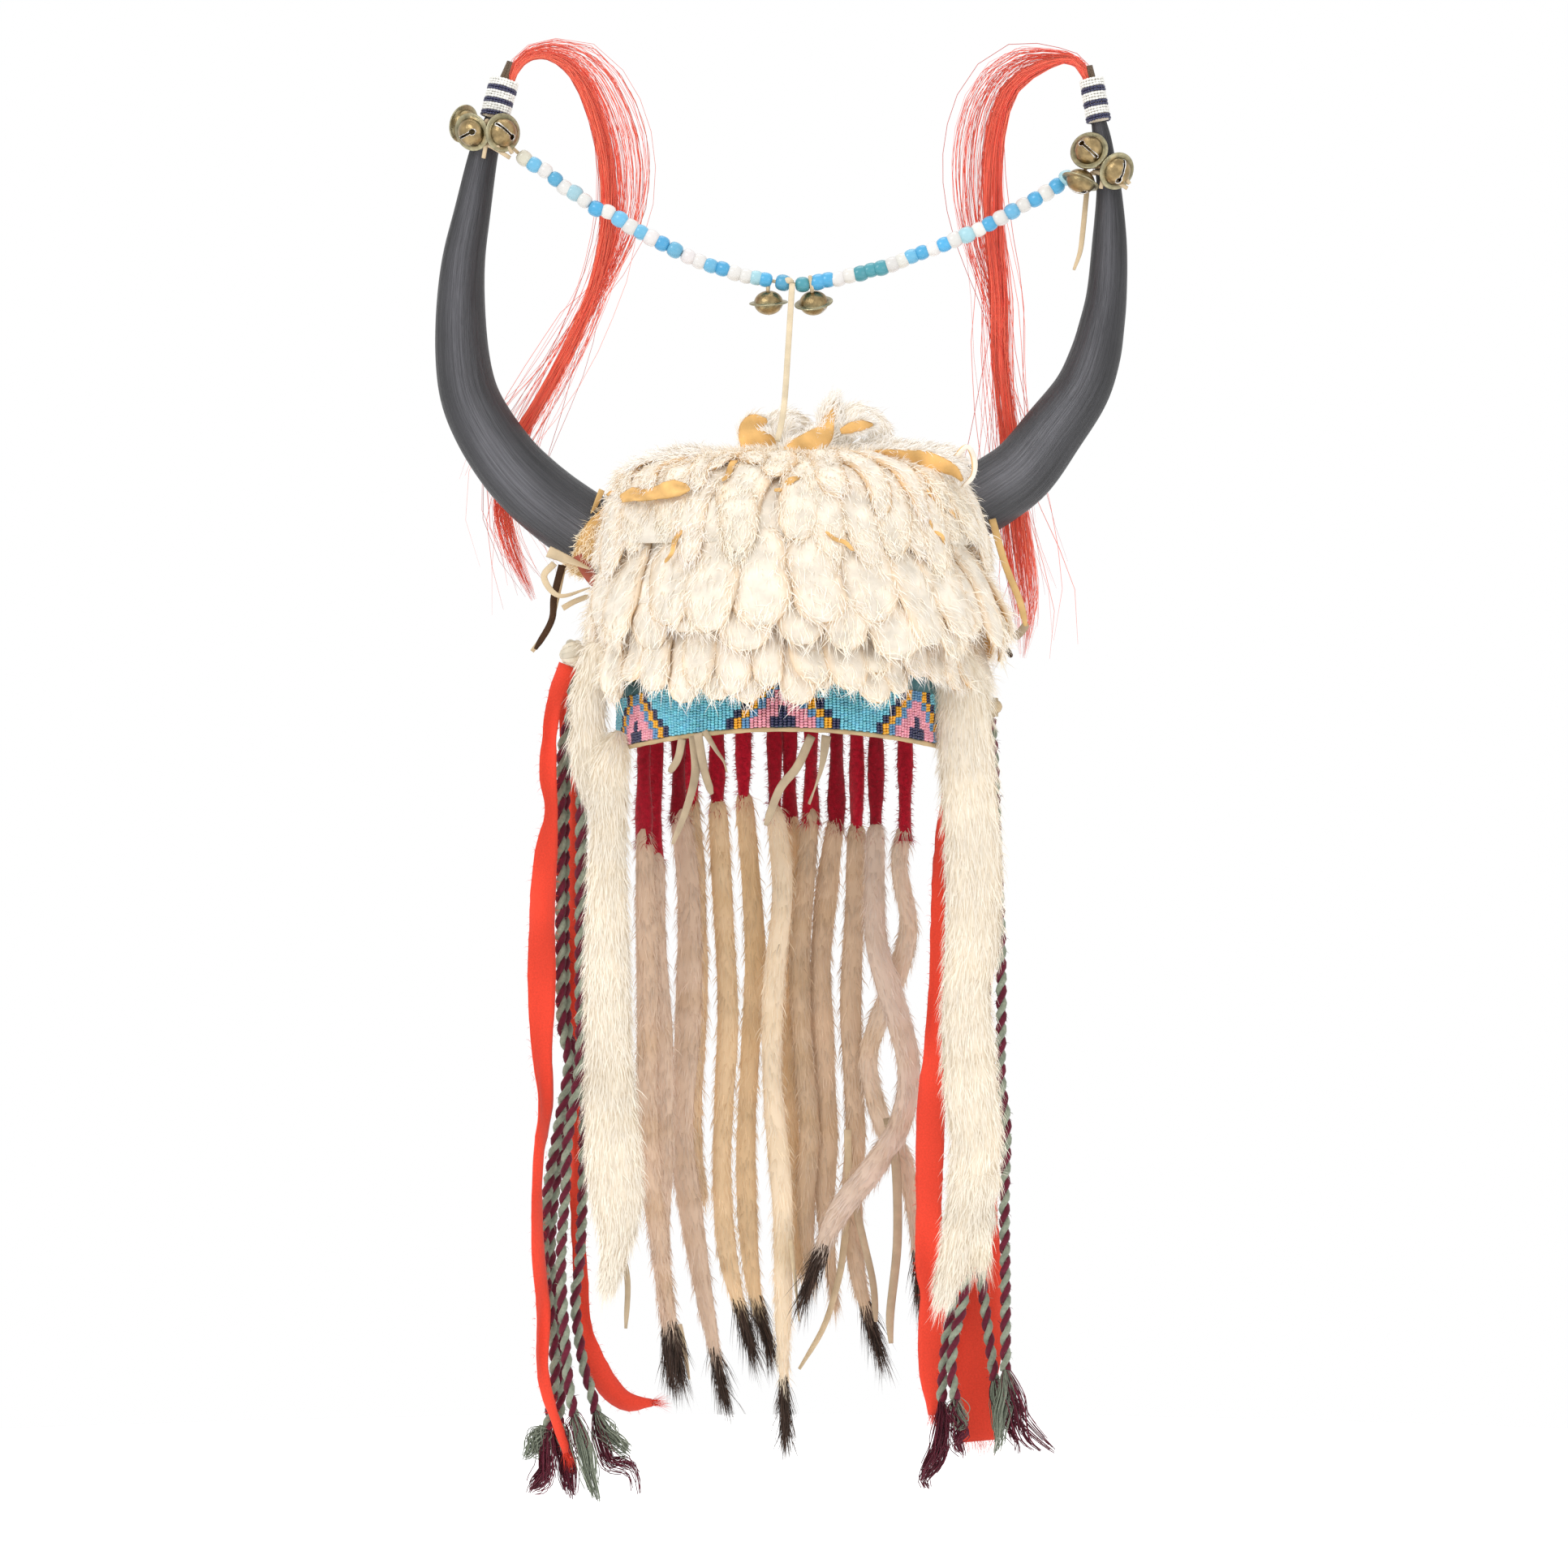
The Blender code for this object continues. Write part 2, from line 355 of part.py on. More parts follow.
def loft(rings, around=True):
    """Points and faces of a tube through the rings, each a closed ring of as many points, its ends filled."""
    rings = np.asarray(rings)
    count, sides = rings.shape[:2]
    faces = []
    for i in range(count - 1):
        for k in range(sides):
            j = (k + 1) % sides
            faces.append((i * sides + k, i * sides + j, (i + 1) * sides + j, (i + 1) * sides + k))
    faces.append(tuple(range(sides))[::-1])
    faces.append(tuple((count - 1) * sides + k for k in range(sides)))
    return rings.reshape(-1, 3), faces


def turned(rings):
    """Points and faces of a body whose rings close on the first one, such as a ring-shaped wall."""
    rings = np.asarray(rings)
    count, sides = rings.shape[:2]
    faces = []
    for i in range(count):
        n = (i + 1) % count
        for k in range(sides):
            j = (k + 1) % sides
            faces.append((i * sides + k, i * sides + j, n * sides + j, n * sides + k))
    return rings.reshape(-1, 3), faces


def smooth(rows, count):
    """A Catmull-Rom curve through the rows, at evenly spaced lengths along its first three columns."""
    rows = np.array(rows, float)
    ends = np.vstack([2 * rows[0] - rows[1], rows, 2 * rows[-1] - rows[-2]])
    steps = np.linspace(0, 1, 17)[:-1, None]
    parts = []
    for a, b, c, d in zip(ends, ends[1:], ends[2:], ends[3:]):
        parts.append(
            0.5 * (2 * b + (c - a) * steps + (2 * a - 5 * b + 4 * c - d) * steps**2
                   + (3 * b - a - 3 * c + d) * steps**3)
        )
    line = np.vstack(parts + [rows[-1:]])
    along = np.concatenate([[0], np.cumsum(np.linalg.norm(np.diff(line[:, :3], axis=0), axis=1))])
    places = np.linspace(0, along[-1], count)
    return np.stack([np.interp(places, along, column) for column in line.T], axis=1)


def hung(rows, *more):
    """Rows of across, down and back, made metres; further columns stay as they are."""
    rows = np.array(rows, float)
    rows[:, :3] = np.stack([rows[:, 0] * SPAN, rows[:, 2] * DEPTH, -rows[:, 1] * DROP], axis=1)
    return rows


def raised(rows):
    """Rows of across, up and back, made metres; further columns stay as they are."""
    rows = np.array(rows, float)
    rows[:, :3] = np.stack([rows[:, 0] * SPAN, rows[:, 2] * DEPTH, rows[:, 1] * RISE], axis=1)
    return rows


def directions(points):
    along = np.gradient(points, axis=0)
    return along / np.linalg.norm(along, axis=1)[:, None]


def strip(rows, widths, thicknesses, sides, turns=None, power=1.0):
    """Rings of a flattened tube along the rows. Its width lies across, turned about the vertical by turns."""
    points = rows[:, :3]
    along = directions(points)
    turns = np.zeros(len(points)) if turns is None else np.radians(turns)
    across = np.stack([np.cos(turns), np.sin(turns), np.zeros(len(points))], axis=1)
    across -= along * (across * along).sum(axis=1)[:, None]
    across /= np.linalg.norm(across, axis=1)[:, None]
    out = np.cross(along, across)
    start = math.pi / 4 if sides == 4 else 0.0
    angles = start + np.arange(sides) * 2 * math.pi / sides
    size = math.sqrt(2) if sides == 4 else 1.0
    c, s = np.cos(angles) * size, np.sin(angles) * size
    return (points[:, None] + across[:, None] * (c[None, :, None] * widths[:, None, None] / 2)
            + out[:, None] * (s[None, :, None] * thicknesses[:, None, None] / 2))


def level(rings, height):
    """The rings with their first one made level at a height, so that a hung piece starts with a flat end."""
    rings = rings.copy()
    rings[0, :, 2] = height
    return rings


def section(rows, station, clear, arc=6, back=0.0):
    """A closed D round the horn at a station, clear metres outside it: the arc to the front, two corners behind."""
    rows = raised(rows)
    rows = np.vstack([rows, 2 * rows[-1] - rows[-2], 3 * rows[-1] - 2 * rows[-2]])
    places = np.arange(len(rows))
    row = np.array([np.interp(station, places, column) for column in rows.T])
    ahead = np.array([np.interp(station + 0.1, places, column) for column in rows.T])
    behind = np.array([np.interp(station - 0.1, places, column) for column in rows.T])
    along = ahead[:3] - behind[:3]
    along[1] = 0
    along /= np.linalg.norm(along)
    across = np.cross(along, (0, 1, 0))
    width = row[3] * HORN_WIDTH
    angles = np.linspace(0, math.pi, arc)
    flat = HORN_BULGE * width / 2
    points = [
        row[:3] + across * (width / 2 + clear) * math.cos(a)
        + np.array([0, flat - (HORN_BULGE * width + clear) * math.sin(a), 0])
        for a in angles
    ]
    corners = [
        row[:3] + across * side * (width / 2 + clear) + np.array([0, flat + clear + back, 0]) for side in (-1, 1)
    ]
    return np.array(points + corners)


def cap_radius(z):
    """Share of the cap's half width at a height."""
    downs, shares = zip(*CAP_SECTION)
    return float(np.interp((CAP_TOP - z) / CAP_HEIGHT, downs + (1.0,), shares + (1.0,)))


def rim(angle):
    """Height of the cap's rim: lowest at the sides, highest at the rear."""
    side = abs(math.cos(angle))
    return -0.146 - 0.010 * side**2 if math.sin(angle) < 0 else -0.136 - 0.020 * side**8


def cap(name, clear, inner, columns, cutter=False):
    """The cap's wall, or with no inner wall the filled dome, clear metres outside the outer face."""
    angles = np.arange(columns) * 2 * math.pi / columns

    def ring(down, share, less, low=None):
        points = []
        for a in angles:
            z = CAP_TOP - down * CAP_HEIGHT
            if down >= 1:
                z = rim(a)
            points.append(((CAP_HALF_WIDTH * share - less) * math.cos(a), (CAP_HALF_DEPTH * share - less) * math.sin(a),
                           z - (less if down < 1 else 0)))
        return points

    outer = [ring(down, share, -clear) for down, share in CAP_SECTION] + [ring(1.0, 1.0, -clear)]
    if not inner:
        return add(name, *loft(outer), "hide", cutter)
    inside = [ring(1.0, 1.0, HIDE)] + [ring(down, share, HIDE) for down, share in reversed(CAP_SECTION[::2])]
    return add(name, *loft(outer + inside), "hide", cutter)


def brow_band():
    """A strip of hide round the front of the cap, from temple to temple, lower at its ends."""
    rings = []
    for sweep in np.linspace(-BAND_SWEEP, BAND_SWEEP, 21):
        low = BAND_LOW - BAND_DIP * math.sin(sweep) ** 2
        ring = []
        for out, z in ((1.5 * GAP, low), (GAP + BAND_THICKNESS, low), (GAP + BAND_THICKNESS, low + BAND_HEIGHT),
                       (1.5 * GAP, low + BAND_HEIGHT)):
            ring.append(((CAP_HALF_WIDTH + out) * math.sin(sweep), -(CAP_HALF_DEPTH + out) * math.cos(sweep), z))
        rings.append(ring)
    add("brow_band", *loft(rings), "seed_beads")


def horn(name, rows):
    """A split horn: a crescent wall open at the back, which closes to a solid tip."""
    metres = raised(rows)
    along = directions(metres[:, :3] * (1, 0, 1))
    rings = []
    for row, way in zip(metres, along):
        across = np.cross(way, (0, 1, 0))
        width, hollow = row[3] * HORN_WIDTH, row[4]
        wall = min(HORN_WALL, width / 4)
        flat = HORN_BULGE * width / 2
        ring = []
        for half, deep, count in (
            (width / 2, HORN_BULGE * width, 6),
            (-(width / 2 - wall), (HORN_BULGE * width - wall) * hollow, 4),
        ):
            for a in np.linspace(0, math.pi, count):
                ring.append(row[:3] + across * half * math.cos(a) + np.array([0, flat - deep * math.sin(a), 0]))
        rings.append(ring)
    add(name, *loft(rings), "horn")


def horn_sleeve(name, rows, stations, count, clear, wall, slot, cutter=False):
    """A wall round the horn between two stations."""
    places = np.linspace(*stations, count)
    outer = [section(rows, place, clear + wall) for place in places]
    if cutter:
        return add(name, *loft(outer), slot, True)
    inner = [section(rows, place, clear) for place in reversed(places)]
    return add(name, *turned(outer + inner), slot)


def cuff(name, rows, stations):
    """A round bead sleeve on the horn's tip, with a low ridge for each group of rows."""
    places = np.linspace(*stations, 3)
    metres = raised(rows)
    index = np.arange(len(metres))
    middles = np.array([[np.interp(place, index, metres[:, k]) for k in range(4)] for place in places])
    along = middles[-1, :3] - middles[0, :3]
    along /= np.linalg.norm(along)
    across = np.cross(along, (0, 1, 0))
    across /= np.linalg.norm(across)
    out = np.cross(along, across)
    inner = middles[:, 3].max() * HORN_WIDTH * 0.545 + 1.5 * GAP
    angles = np.arange(12) * math.pi / 6
    rings = []
    for radius, rows_of in ((inner + CUFF_WALL, middles), (inner, middles[::-1])):
        for row in rows_of if radius > inner else rows_of[[0, -1]]:
            rings.append([row[:3] + (across * math.cos(a) + out * math.sin(a)) * radius for a in angles])
    add(name, *turned(rings), "seed_beads")


def bell(name, across, up, back, way, turn):
    """A flanged bell: two shallow domes joined at the flange, hollow, with a slit that ends in a round hole."""
    angles = np.arange(10) * math.pi / 5
    profile = ((BELL_SHANK * 0.7, -BELL_HALF - BELL_SHANK), (BELL_DOME * 0.70, -BELL_HALF * 0.72),
               (BELL_DOME, -0.0006), (BELL_FLANGE, 0.0), (BELL_DOME, 0.0006), (BELL_DOME * 0.55, BELL_HALF))
    rings = [[(r * math.cos(a), r * math.sin(a), z) for a in angles] for r, z in profile]
    cavity = ((BELL_DOME * 0.40, -BELL_HALF * 0.66), (BELL_DOME * 0.90, 0.0), (BELL_DOME * 0.42, BELL_HALF * 0.80))
    hollow = [[(r * math.cos(a), r * math.sin(a), z) for a in np.arange(6) * math.pi / 3] for r, z in cavity]
    turn = math.radians(turn)
    c, s = math.cos(turn), math.sin(turn)
    slit = [
        [(x * c - y * s, x * s + y * c, z) for x, y in ((-0.0036, -0.0006), (0.0074, -0.0006), (0.0074, 0.0006), (-0.0036, 0.0006))]
        for z in (0.0022, 0.0120)
    ]
    hole = [
        [((0.0016 * math.cos(a) - 0.0040) * c - 0.0016 * math.sin(a) * s,
          (0.0016 * math.cos(a) - 0.0040) * s + 0.0016 * math.sin(a) * c, z) for a in np.arange(5) * math.pi / 2.5 + 0.2]
        for z in (0.0025, 0.0121)
    ]
    way = np.array(way) / np.linalg.norm(way)
    side = np.cross((0, 0, 1), way) if abs(way[2]) < 0.9 else np.array((1.0, 0, 0))
    side = side - way * side.dot(way)
    side /= np.linalg.norm(side)
    other = np.cross(way, side)
    place = np.array([across * SPAN, back * DEPTH, up * RISE])

    def put(rings_of):
        rings_of = np.asarray(rings_of)
        return place + rings_of[..., :1] * side + rings_of[..., 1:2] * other + rings_of[..., 2:] * way

    body = add(name, *loft(put(rings)), "brass")
    for label, shape in (("cavity", hollow), ("slit", slit), ("hole", hole)):
        cut(body, add(f"{name}_{label}", *loft(put(shape)), "brass", cutter=True))


def cut(body, tool, operation="DIFFERENCE"):
    step = body.modifiers.new(tool.name, "BOOLEAN")
    step.operation = operation
    step.solver = "EXACT"
    step.object = tool


def bead_string():
    """The string from horn to horn, thin at its ends and between beads and full at each bead."""
    middles = np.array(BEADS)
    left, right = STRING_ENDS
    stations = [(*left, BEAD_CORE)]
    for k, (x, z) in enumerate(middles):
        if k:
            px, pz = middles[k - 1]
            apart = math.hypot((x - px) * SPAN, (z - pz) * RISE)
            if apart > 0.0085:
                stations.append(((x + px) / 2, (z + pz) / 2, BEAD_CORE))
            else:
                stations.append(((x + px) / 2, (z + pz) / 2, BEAD_RADIUS * 0.72))
        stations.append((x, z, BEAD_RADIUS))
    stations.append((*right, BEAD_CORE))
    stations = np.array(stations)
    backs = np.interp(stations[:, 0], (left[0], 0.0, right[0]), STRING_BACK)
    points = np.stack([stations[:, 0] * SPAN, backs * DEPTH, stations[:, 1] * RISE], axis=1)
    along = directions(points)
    out = np.array((0.0, 1.0, 0.0)) - along * along[:, 1:2]
    out /= np.linalg.norm(out, axis=1)[:, None]
    up = np.cross(out, along)
    angles = np.arange(10) * math.pi / 5
    rings = (points[:, None] + stations[:, 2, None, None]
             * (up[:, None] * np.cos(angles)[None, :, None] + out[:, None] * np.sin(angles)[None, :, None]))
    add("bead_string", *loft(rings), "glass_beads")


def fur_tier(name):
    """A hollow tier of fur strips round the cap: ridges along each strip, and a hem that dips under each."""
    outside, inside, lean = FUR_TIERS[name]
    strips = FUR_STRIPS[name]
    angles = np.arange(strips * 2) * math.pi / strips + 0.05
    seam = np.arange(strips * 2) % 2
    low = min(row[0] for row in outside)
    high = max(row[0] for row in outside)

    def ring(z, proud, proud_depth, ridge):
        if proud is None:
            share = cap_radius(z)
            half_width, half_depth = CAP_HALF_WIDTH * share + 3 * GAP, CAP_HALF_DEPTH * share + 3 * GAP
        else:
            half_width, half_depth = CAP_HALF_WIDTH + proud, CAP_HALF_DEPTH + proud_depth
        hem = (high - z) / (high - low)
        scale = 1 - ridge * seam * hem**0.5
        points = np.stack([half_width * scale * np.cos(angles), half_depth * scale * np.sin(angles),
                           np.full(len(angles), z)], axis=1)
        points[:, 0] += lean * hem
        if z == low:
            points[:, 2] += 0.0012 * seam
        return points

    rings = [ring(*row, FUR_RIDGE) for row in outside] + [ring(*row, 0.0) for row in inside]
    if name == "fur_crown":
        return add(name, *loft(rings), "white_fur")
    return add(name, *turned(rings), "white_fur")


def topknot():
    """Loose strips of hide that stand and curl from one base on the crown."""
    base = None
    for k, (across, back, lean, lean_back, rise, width) in enumerate(TOPKNOT):
        foot = np.array([across * SPAN, back * DEPTH, 0.0193])
        rows = [foot, foot + (lean * SPAN * 0.35, lean_back * DEPTH * 0.3, rise * RISE * 0.62),
                foot + (lean * SPAN, lean_back * DEPTH, rise * RISE)]
        rows = smooth(rows, 4)
        rows[0, 2] = 0.0193
        rings = strip(rows, np.full(4, width) * (1.0, 1.0, 0.9, 0.6), np.full(4, 0.007) * (1.0, 0.9, 0.8, 0.6), 4)
        rings[0, :, 2] = 0.0193
        shape = add("topknot" if base is None else f"topknot_{k}", *loft(rings), "white_fur", cutter=base is not None)
        if base is None:
            base = shape
        else:
            cut(base, shape, "UNION")
    xs = [row[0] * SPAN for row in TOPKNOT]
    pad = [[(x, y, z) for x, y in ((min(xs) - 0.006, -0.014), (max(xs) + 0.006, -0.014), (max(xs) + 0.006, 0.002),
                                   (min(xs) - 0.006, 0.002))] for z in (0.0193, 0.0235)]
    cut(base, add("topknot_pad", *loft(pad), "white_fur", cutter=True), "UNION")


def yarn(name, rows):
    """One two-ply yarn cord, a round tube along its route."""
    points = smooth(hung(rows), YARN_POINTS)[:, :3]
    curve = bpy.data.curves.new(name, "CURVE")
    curve.dimensions = "3D"
    curve.bevel_depth = YARN_RADIUS
    curve.bevel_resolution = 1
    curve.use_fill_caps = True
    line = curve.splines.new("POLY")
    line.points.add(len(points) - 1)
    for place, point in zip(line.points, points):
        place.co = (*map(float, point), 1.0)
    curve.materials.append(material("yarn"))
    obj = bpy.data.objects.new(name, curve)
    OBJECT.objects.link(obj)


def wool_fringe():
    """Wool strips sewn to one backing along the rear of the rim, each ending where an ermine pendant starts."""
    angles = np.radians(np.linspace(12, 168, 12))
    rings = []
    for a in angles:
        ring = []
        for out, z in ((GAP * 4, WOOL_TOP), (GAP * 4 + WOOL_BACKING, WOOL_TOP), (GAP * 4 + WOOL_BACKING, WOOL_HEM),
                       (GAP * 4, WOOL_HEM)):
            ring.append(((CAP_HALF_WIDTH + out) * math.cos(a), (CAP_HALF_DEPTH + out) * math.sin(a), z))
        rings.append(ring)
    base = add("wool_fringe", *loft(rings), "red_wool")
    for name, rows in PENDANTS.items():
        foot = hung(rows)[0, :3]
        round_head = math.acos(foot[0] / (CAP_HALF_WIDTH + 0.0035))
        places = [np.array([(CAP_HALF_WIDTH + out) * math.cos(round_head), (CAP_HALF_DEPTH + out) * math.sin(round_head), z])
                  for out, z in ((0.0023, WOOL_HEM + 0.003), (0.0037, -0.148))]
        turn = math.degrees(math.atan2(-CAP_HALF_DEPTH * math.cos(round_head), CAP_HALF_WIDTH * math.sin(round_head)))
        rings = strip(np.array([*places, foot]), WOOL_WIDTH * np.array((0.8, 1.0, 1.0)),
                      WOOL_DEPTH * np.array((0.25, 0.8, 1.0)), 4, np.array((turn, turn, turn * 0.5)))
        rings = level(rings[::-1], foot[2])[::-1]
        cut(base, add(name.replace("pendant", "wool"), *loft(rings), "red_wool", cutter=True), "UNION")


def pendants():
    """Long soft strips of ermine, each below its wool strip."""
    for name, rows in PENDANTS.items():
        points = smooth(hung(rows), 7)
        widths = points[:, 3] * PENDANT_WIDTH
        rings = level(strip(points, widths, widths * 0.72, 6), points[0, 2] - 0.0004)
        add(name, *loft(rings), "white_fur")


def plume(name, rows):
    """A horsehair plume: a long lock that arches over, with a second lock that leaves it low down."""
    points = smooth(raised(rows), 15)
    radii = points[:, 3] * PLUME_RADIUS
    body = add(name, *loft(strip(points, radii * 2, radii * 1.6, 6)), "red_horsehair")
    lock = points[7:11].copy()
    lock[:, 0] += np.linspace(0, 0.016, len(lock)) * (1 if name.endswith("left") else -1)
    lock[:, 3] = np.linspace(0.7, 0.2, len(lock))
    radii = lock[:, 3] * PLUME_RADIUS
    cut(body, add(f"{name}_lock", *loft(strip(lock, radii * 2, radii * 1.6, 6)), "red_horsehair", cutter=True), "UNION")


def knot(name, across, down, back, size):
    """A small lashed knot of hide."""
    middle = np.array([across * SPAN, back * DEPTH, -down * DROP])
    rings = []
    for z, share in ((-0.5, 0.7), (-0.25, 1.0), (0.25, 1.0), (0.5, 0.7)):
        rings.append([middle + (size[0] / 2 * share * math.cos(a), size[1] / 2 * share * math.sin(a), size[2] * z)
                      for a in np.arange(8) * math.pi / 4])
    return add(name, *loft(rings), "hide")


for old in list(bpy.data.objects):
    bpy.data.objects.remove(old)
OBJECT = collection("split_horn_headdress")
CUTTERS = collection("cutters", hidden=True)

cap("cap", 0.0, True, 20)
brow_band()
clear_cap = cap("cap_clearance", GAP, False, 20, cutter=True)
for side, table in (("left", HORN_LEFT), ("right", HORN_RIGHT)):
    horn(f"horn_{side}", table)
    cuff(f"bead_cuff_{side}", table, CUFF_STATIONS[side])
    horn_sleeve(f"bell_tie_{side}", table, TIE_STATIONS[side], 2, 2.5 * GAP, TIE_WALL, "hide")
    collar = horn_sleeve(f"horn_collar_{side}", table, (15.0, 17.9), 4, 2 * GAP, HIDE, "hide")
    cut(collar, clear_cap)
horn_clear = [
    horn_sleeve(f"horn_clearance_{side}", table, (12.4, 18.6), 6, 2 * GAP, HIDE + GAP, "hide", cutter=True)
    for side, table in (("left", HORN_LEFT), ("right", HORN_RIGHT))
]
for row in BELLS:
    bell(*row)
bead_string()
for tier in FUR_TIERS:
    fur = fur_tier(tier)
    if tier != "fur_lower":
        for tool in horn_clear:
            cut(fur, tool)
topknot()
for label, route in YARNS.items():
    yarn(label, route)
for label, route in RIBBONS.items():
    metres = smooth(hung(route), RIBBON_POINTS)
    ribbon = strip(metres, metres[:, 3] * RIBBON_WIDTH, np.full(RIBBON_POINTS, RIBBON_THICKNESS), 4, metres[:, 4])
    add(label, *loft(level(ribbon, metres[0, 2])), "red_cloth")
for label, route in SIDE_ERMINES.items():
    metres = smooth(hung(route), 6 if "tail" in label else 12)
    wide = metres[:, 3] * SIDE_WIDTH
    add(label, *loft(level(strip(metres, wide, wide * SIDE_DEPTH, 6), metres[0, 2])), "white_fur")
for label, route in PLUMES.items():
    plume(label, route)
for label, route in THONGS.items():
    metres = smooth(hung(route), 6)
    add(label, *loft(strip(metres, metres[:, 3] * THONG_WIDTH, np.full(6, THONG_THICKNESS), 4)), "hide")
for label, (across, down, back, size) in KNOTS.items():
    knot(label, across, down, back, size)
wool_fringe()
pendants()
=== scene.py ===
"""The looks of a split horn headdress: fur strips, beadwork, horns, bells, plumes and hanging pieces,
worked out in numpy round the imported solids. Metres, +Z up, -Y to the front. Run as a script in Blender."""

import math

import bpy
import mathutils
import numpy as np
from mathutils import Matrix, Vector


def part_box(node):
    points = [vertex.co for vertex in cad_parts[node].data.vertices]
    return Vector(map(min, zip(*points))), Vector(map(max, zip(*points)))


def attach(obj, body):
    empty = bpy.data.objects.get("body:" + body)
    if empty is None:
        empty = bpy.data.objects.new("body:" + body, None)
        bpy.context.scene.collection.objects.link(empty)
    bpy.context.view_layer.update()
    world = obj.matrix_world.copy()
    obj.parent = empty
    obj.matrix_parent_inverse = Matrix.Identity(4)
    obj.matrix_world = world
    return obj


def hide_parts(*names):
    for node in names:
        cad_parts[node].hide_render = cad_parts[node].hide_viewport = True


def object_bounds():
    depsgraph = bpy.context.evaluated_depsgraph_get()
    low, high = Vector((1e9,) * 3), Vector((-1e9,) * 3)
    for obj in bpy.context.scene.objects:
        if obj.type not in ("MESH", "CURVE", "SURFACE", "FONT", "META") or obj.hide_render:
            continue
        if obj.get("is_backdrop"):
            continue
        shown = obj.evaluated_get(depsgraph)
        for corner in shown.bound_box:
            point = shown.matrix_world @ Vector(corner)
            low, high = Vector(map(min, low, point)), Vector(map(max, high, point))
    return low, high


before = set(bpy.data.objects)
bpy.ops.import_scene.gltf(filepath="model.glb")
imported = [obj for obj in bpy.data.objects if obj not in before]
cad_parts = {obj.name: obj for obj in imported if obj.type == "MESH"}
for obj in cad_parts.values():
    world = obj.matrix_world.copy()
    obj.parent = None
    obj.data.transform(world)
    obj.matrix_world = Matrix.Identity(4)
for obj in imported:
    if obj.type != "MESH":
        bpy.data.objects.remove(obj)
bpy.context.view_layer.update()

bl_info = {
    "name": "Split horn headdress",
    "version": (1, 0, 0),
    "blender": (4, 5, 0),
    "location": "View3D > Sidebar > Headdress",
    "description": "Fur, beadwork, horns, bells, plumes and drops of a split horn headdress",
    "category": "Object",
}

# The picture's pixel in metres, and the pixel that the origin falls on
PICTURE_PIXEL = 0.000468
PICTURE_MIDDLE = (967, 585)
# Sizes that the solids share, in metres, shares and radians
SPAN, RISE, DROP, DEPTH = 0.200, 0.250, 0.610, 0.1065
HORN_WIDTH, HORN_WALL, HORN_BULGE = 0.043, 0.0035, 0.42
BAND_LOW, BAND_DIP, BAND_HEIGHT, BAND_SWEEP = -0.148, 0.011, 0.050, math.radians(88)
CAP_HALF_WIDTH, CAP_HALF_DEPTH = 0.0935, 0.1065
BELL_FLANGE, BELL_DOME, BELL_HALF = 0.0112, 0.0084, 0.0070
BEAD_RADIUS = 0.0046
PENDANT_WIDTH, SIDE_WIDTH, SIDE_DEPTH = 0.0130, 0.036, 0.45
RIBBON_WIDTH = 0.0095
PLUME_RADIUS = 0.0055
THONG_WIDTH = 0.0035
WOOL_WIDTH = 0.0090
# Sizes of the looks alone, in metres. A bell's slit runs from its hole, both measured from the bell's middle
SLIT_START, SLIT_END, SLIT_HALF = -0.0036, 0.0078, 0.00065
HOLE_MIDDLE, HOLE_RADIUS = -0.0040, 0.0017
BELL_SHEET = 0.0007
GROOVE_DEPTH = 0.00006
BELL_LOOP = (0.0064, 0.0095, 0.0130, 0.0165)
PLUME_HAIR, PLUME_LOCKS = 0.00040, 16
STRAY_HAIRS, STRAY_REACH = 0.22, 0.022
FLY_HAIRS, FLY_REACH = 0.20, 0.026
PLY_OFFSET, PLY_WIDTH, PLY_TURN = 0.00155, 0.0038, 0.0157
TASSEL_FIBRE, TASSEL_SPREAD = 0.00062, 0.005
CUFF_BEAD_RADIUS, CUFF_BEAD_HALF, CUFF_PITCH = 0.00096, 0.00100, 0.0018
THINNEST_DROP = 0.14  # share of its width that a drop keeps at its thinnest

# Horn stations: across in SPAN, up in RISE, back in DEPTH, width in HORN_WIDTH, hollow share of the bulge
HORN_LEFT = (
    (-0.789, 0.949, -0.10, 0.09, 0.05), (-0.800, 0.921, -0.10, 0.13, 0.05),
    (-0.817, 0.876, -0.09, 0.20, 0.05), (-0.833, 0.827, -0.08, 0.25, 0.08),
    (-0.847, 0.781, -0.06, 0.34, 0.15), (-0.868, 0.739, -0.05, 0.39, 0.30),
    (-0.901, 0.608, -0.02, 0.49, 0.60), (-0.927, 0.496, 0.00, 0.58, 0.80),
    (-0.936, 0.384, 0.02, 0.66, 0.90), (-0.931, 0.271, 0.03, 0.73, 1.00), (-0.910, 0.182, 0.03, 0.79, 1.00),
    (-0.863, 0.103, 0.03, 0.85, 1.00), (-0.798, 0.028, 0.02, 0.90, 1.00),
    (-0.737, -0.024, 0.01, 0.94, 1.00), (-0.676, -0.066, 0.00, 0.96, 1.00),
    (-0.613, -0.103, 0.00, 0.98, 1.00), (-0.543, -0.140, 0.00, 0.99, 1.00),
    (-0.426, -0.197, 0.00, 0.99, 1.00),
)
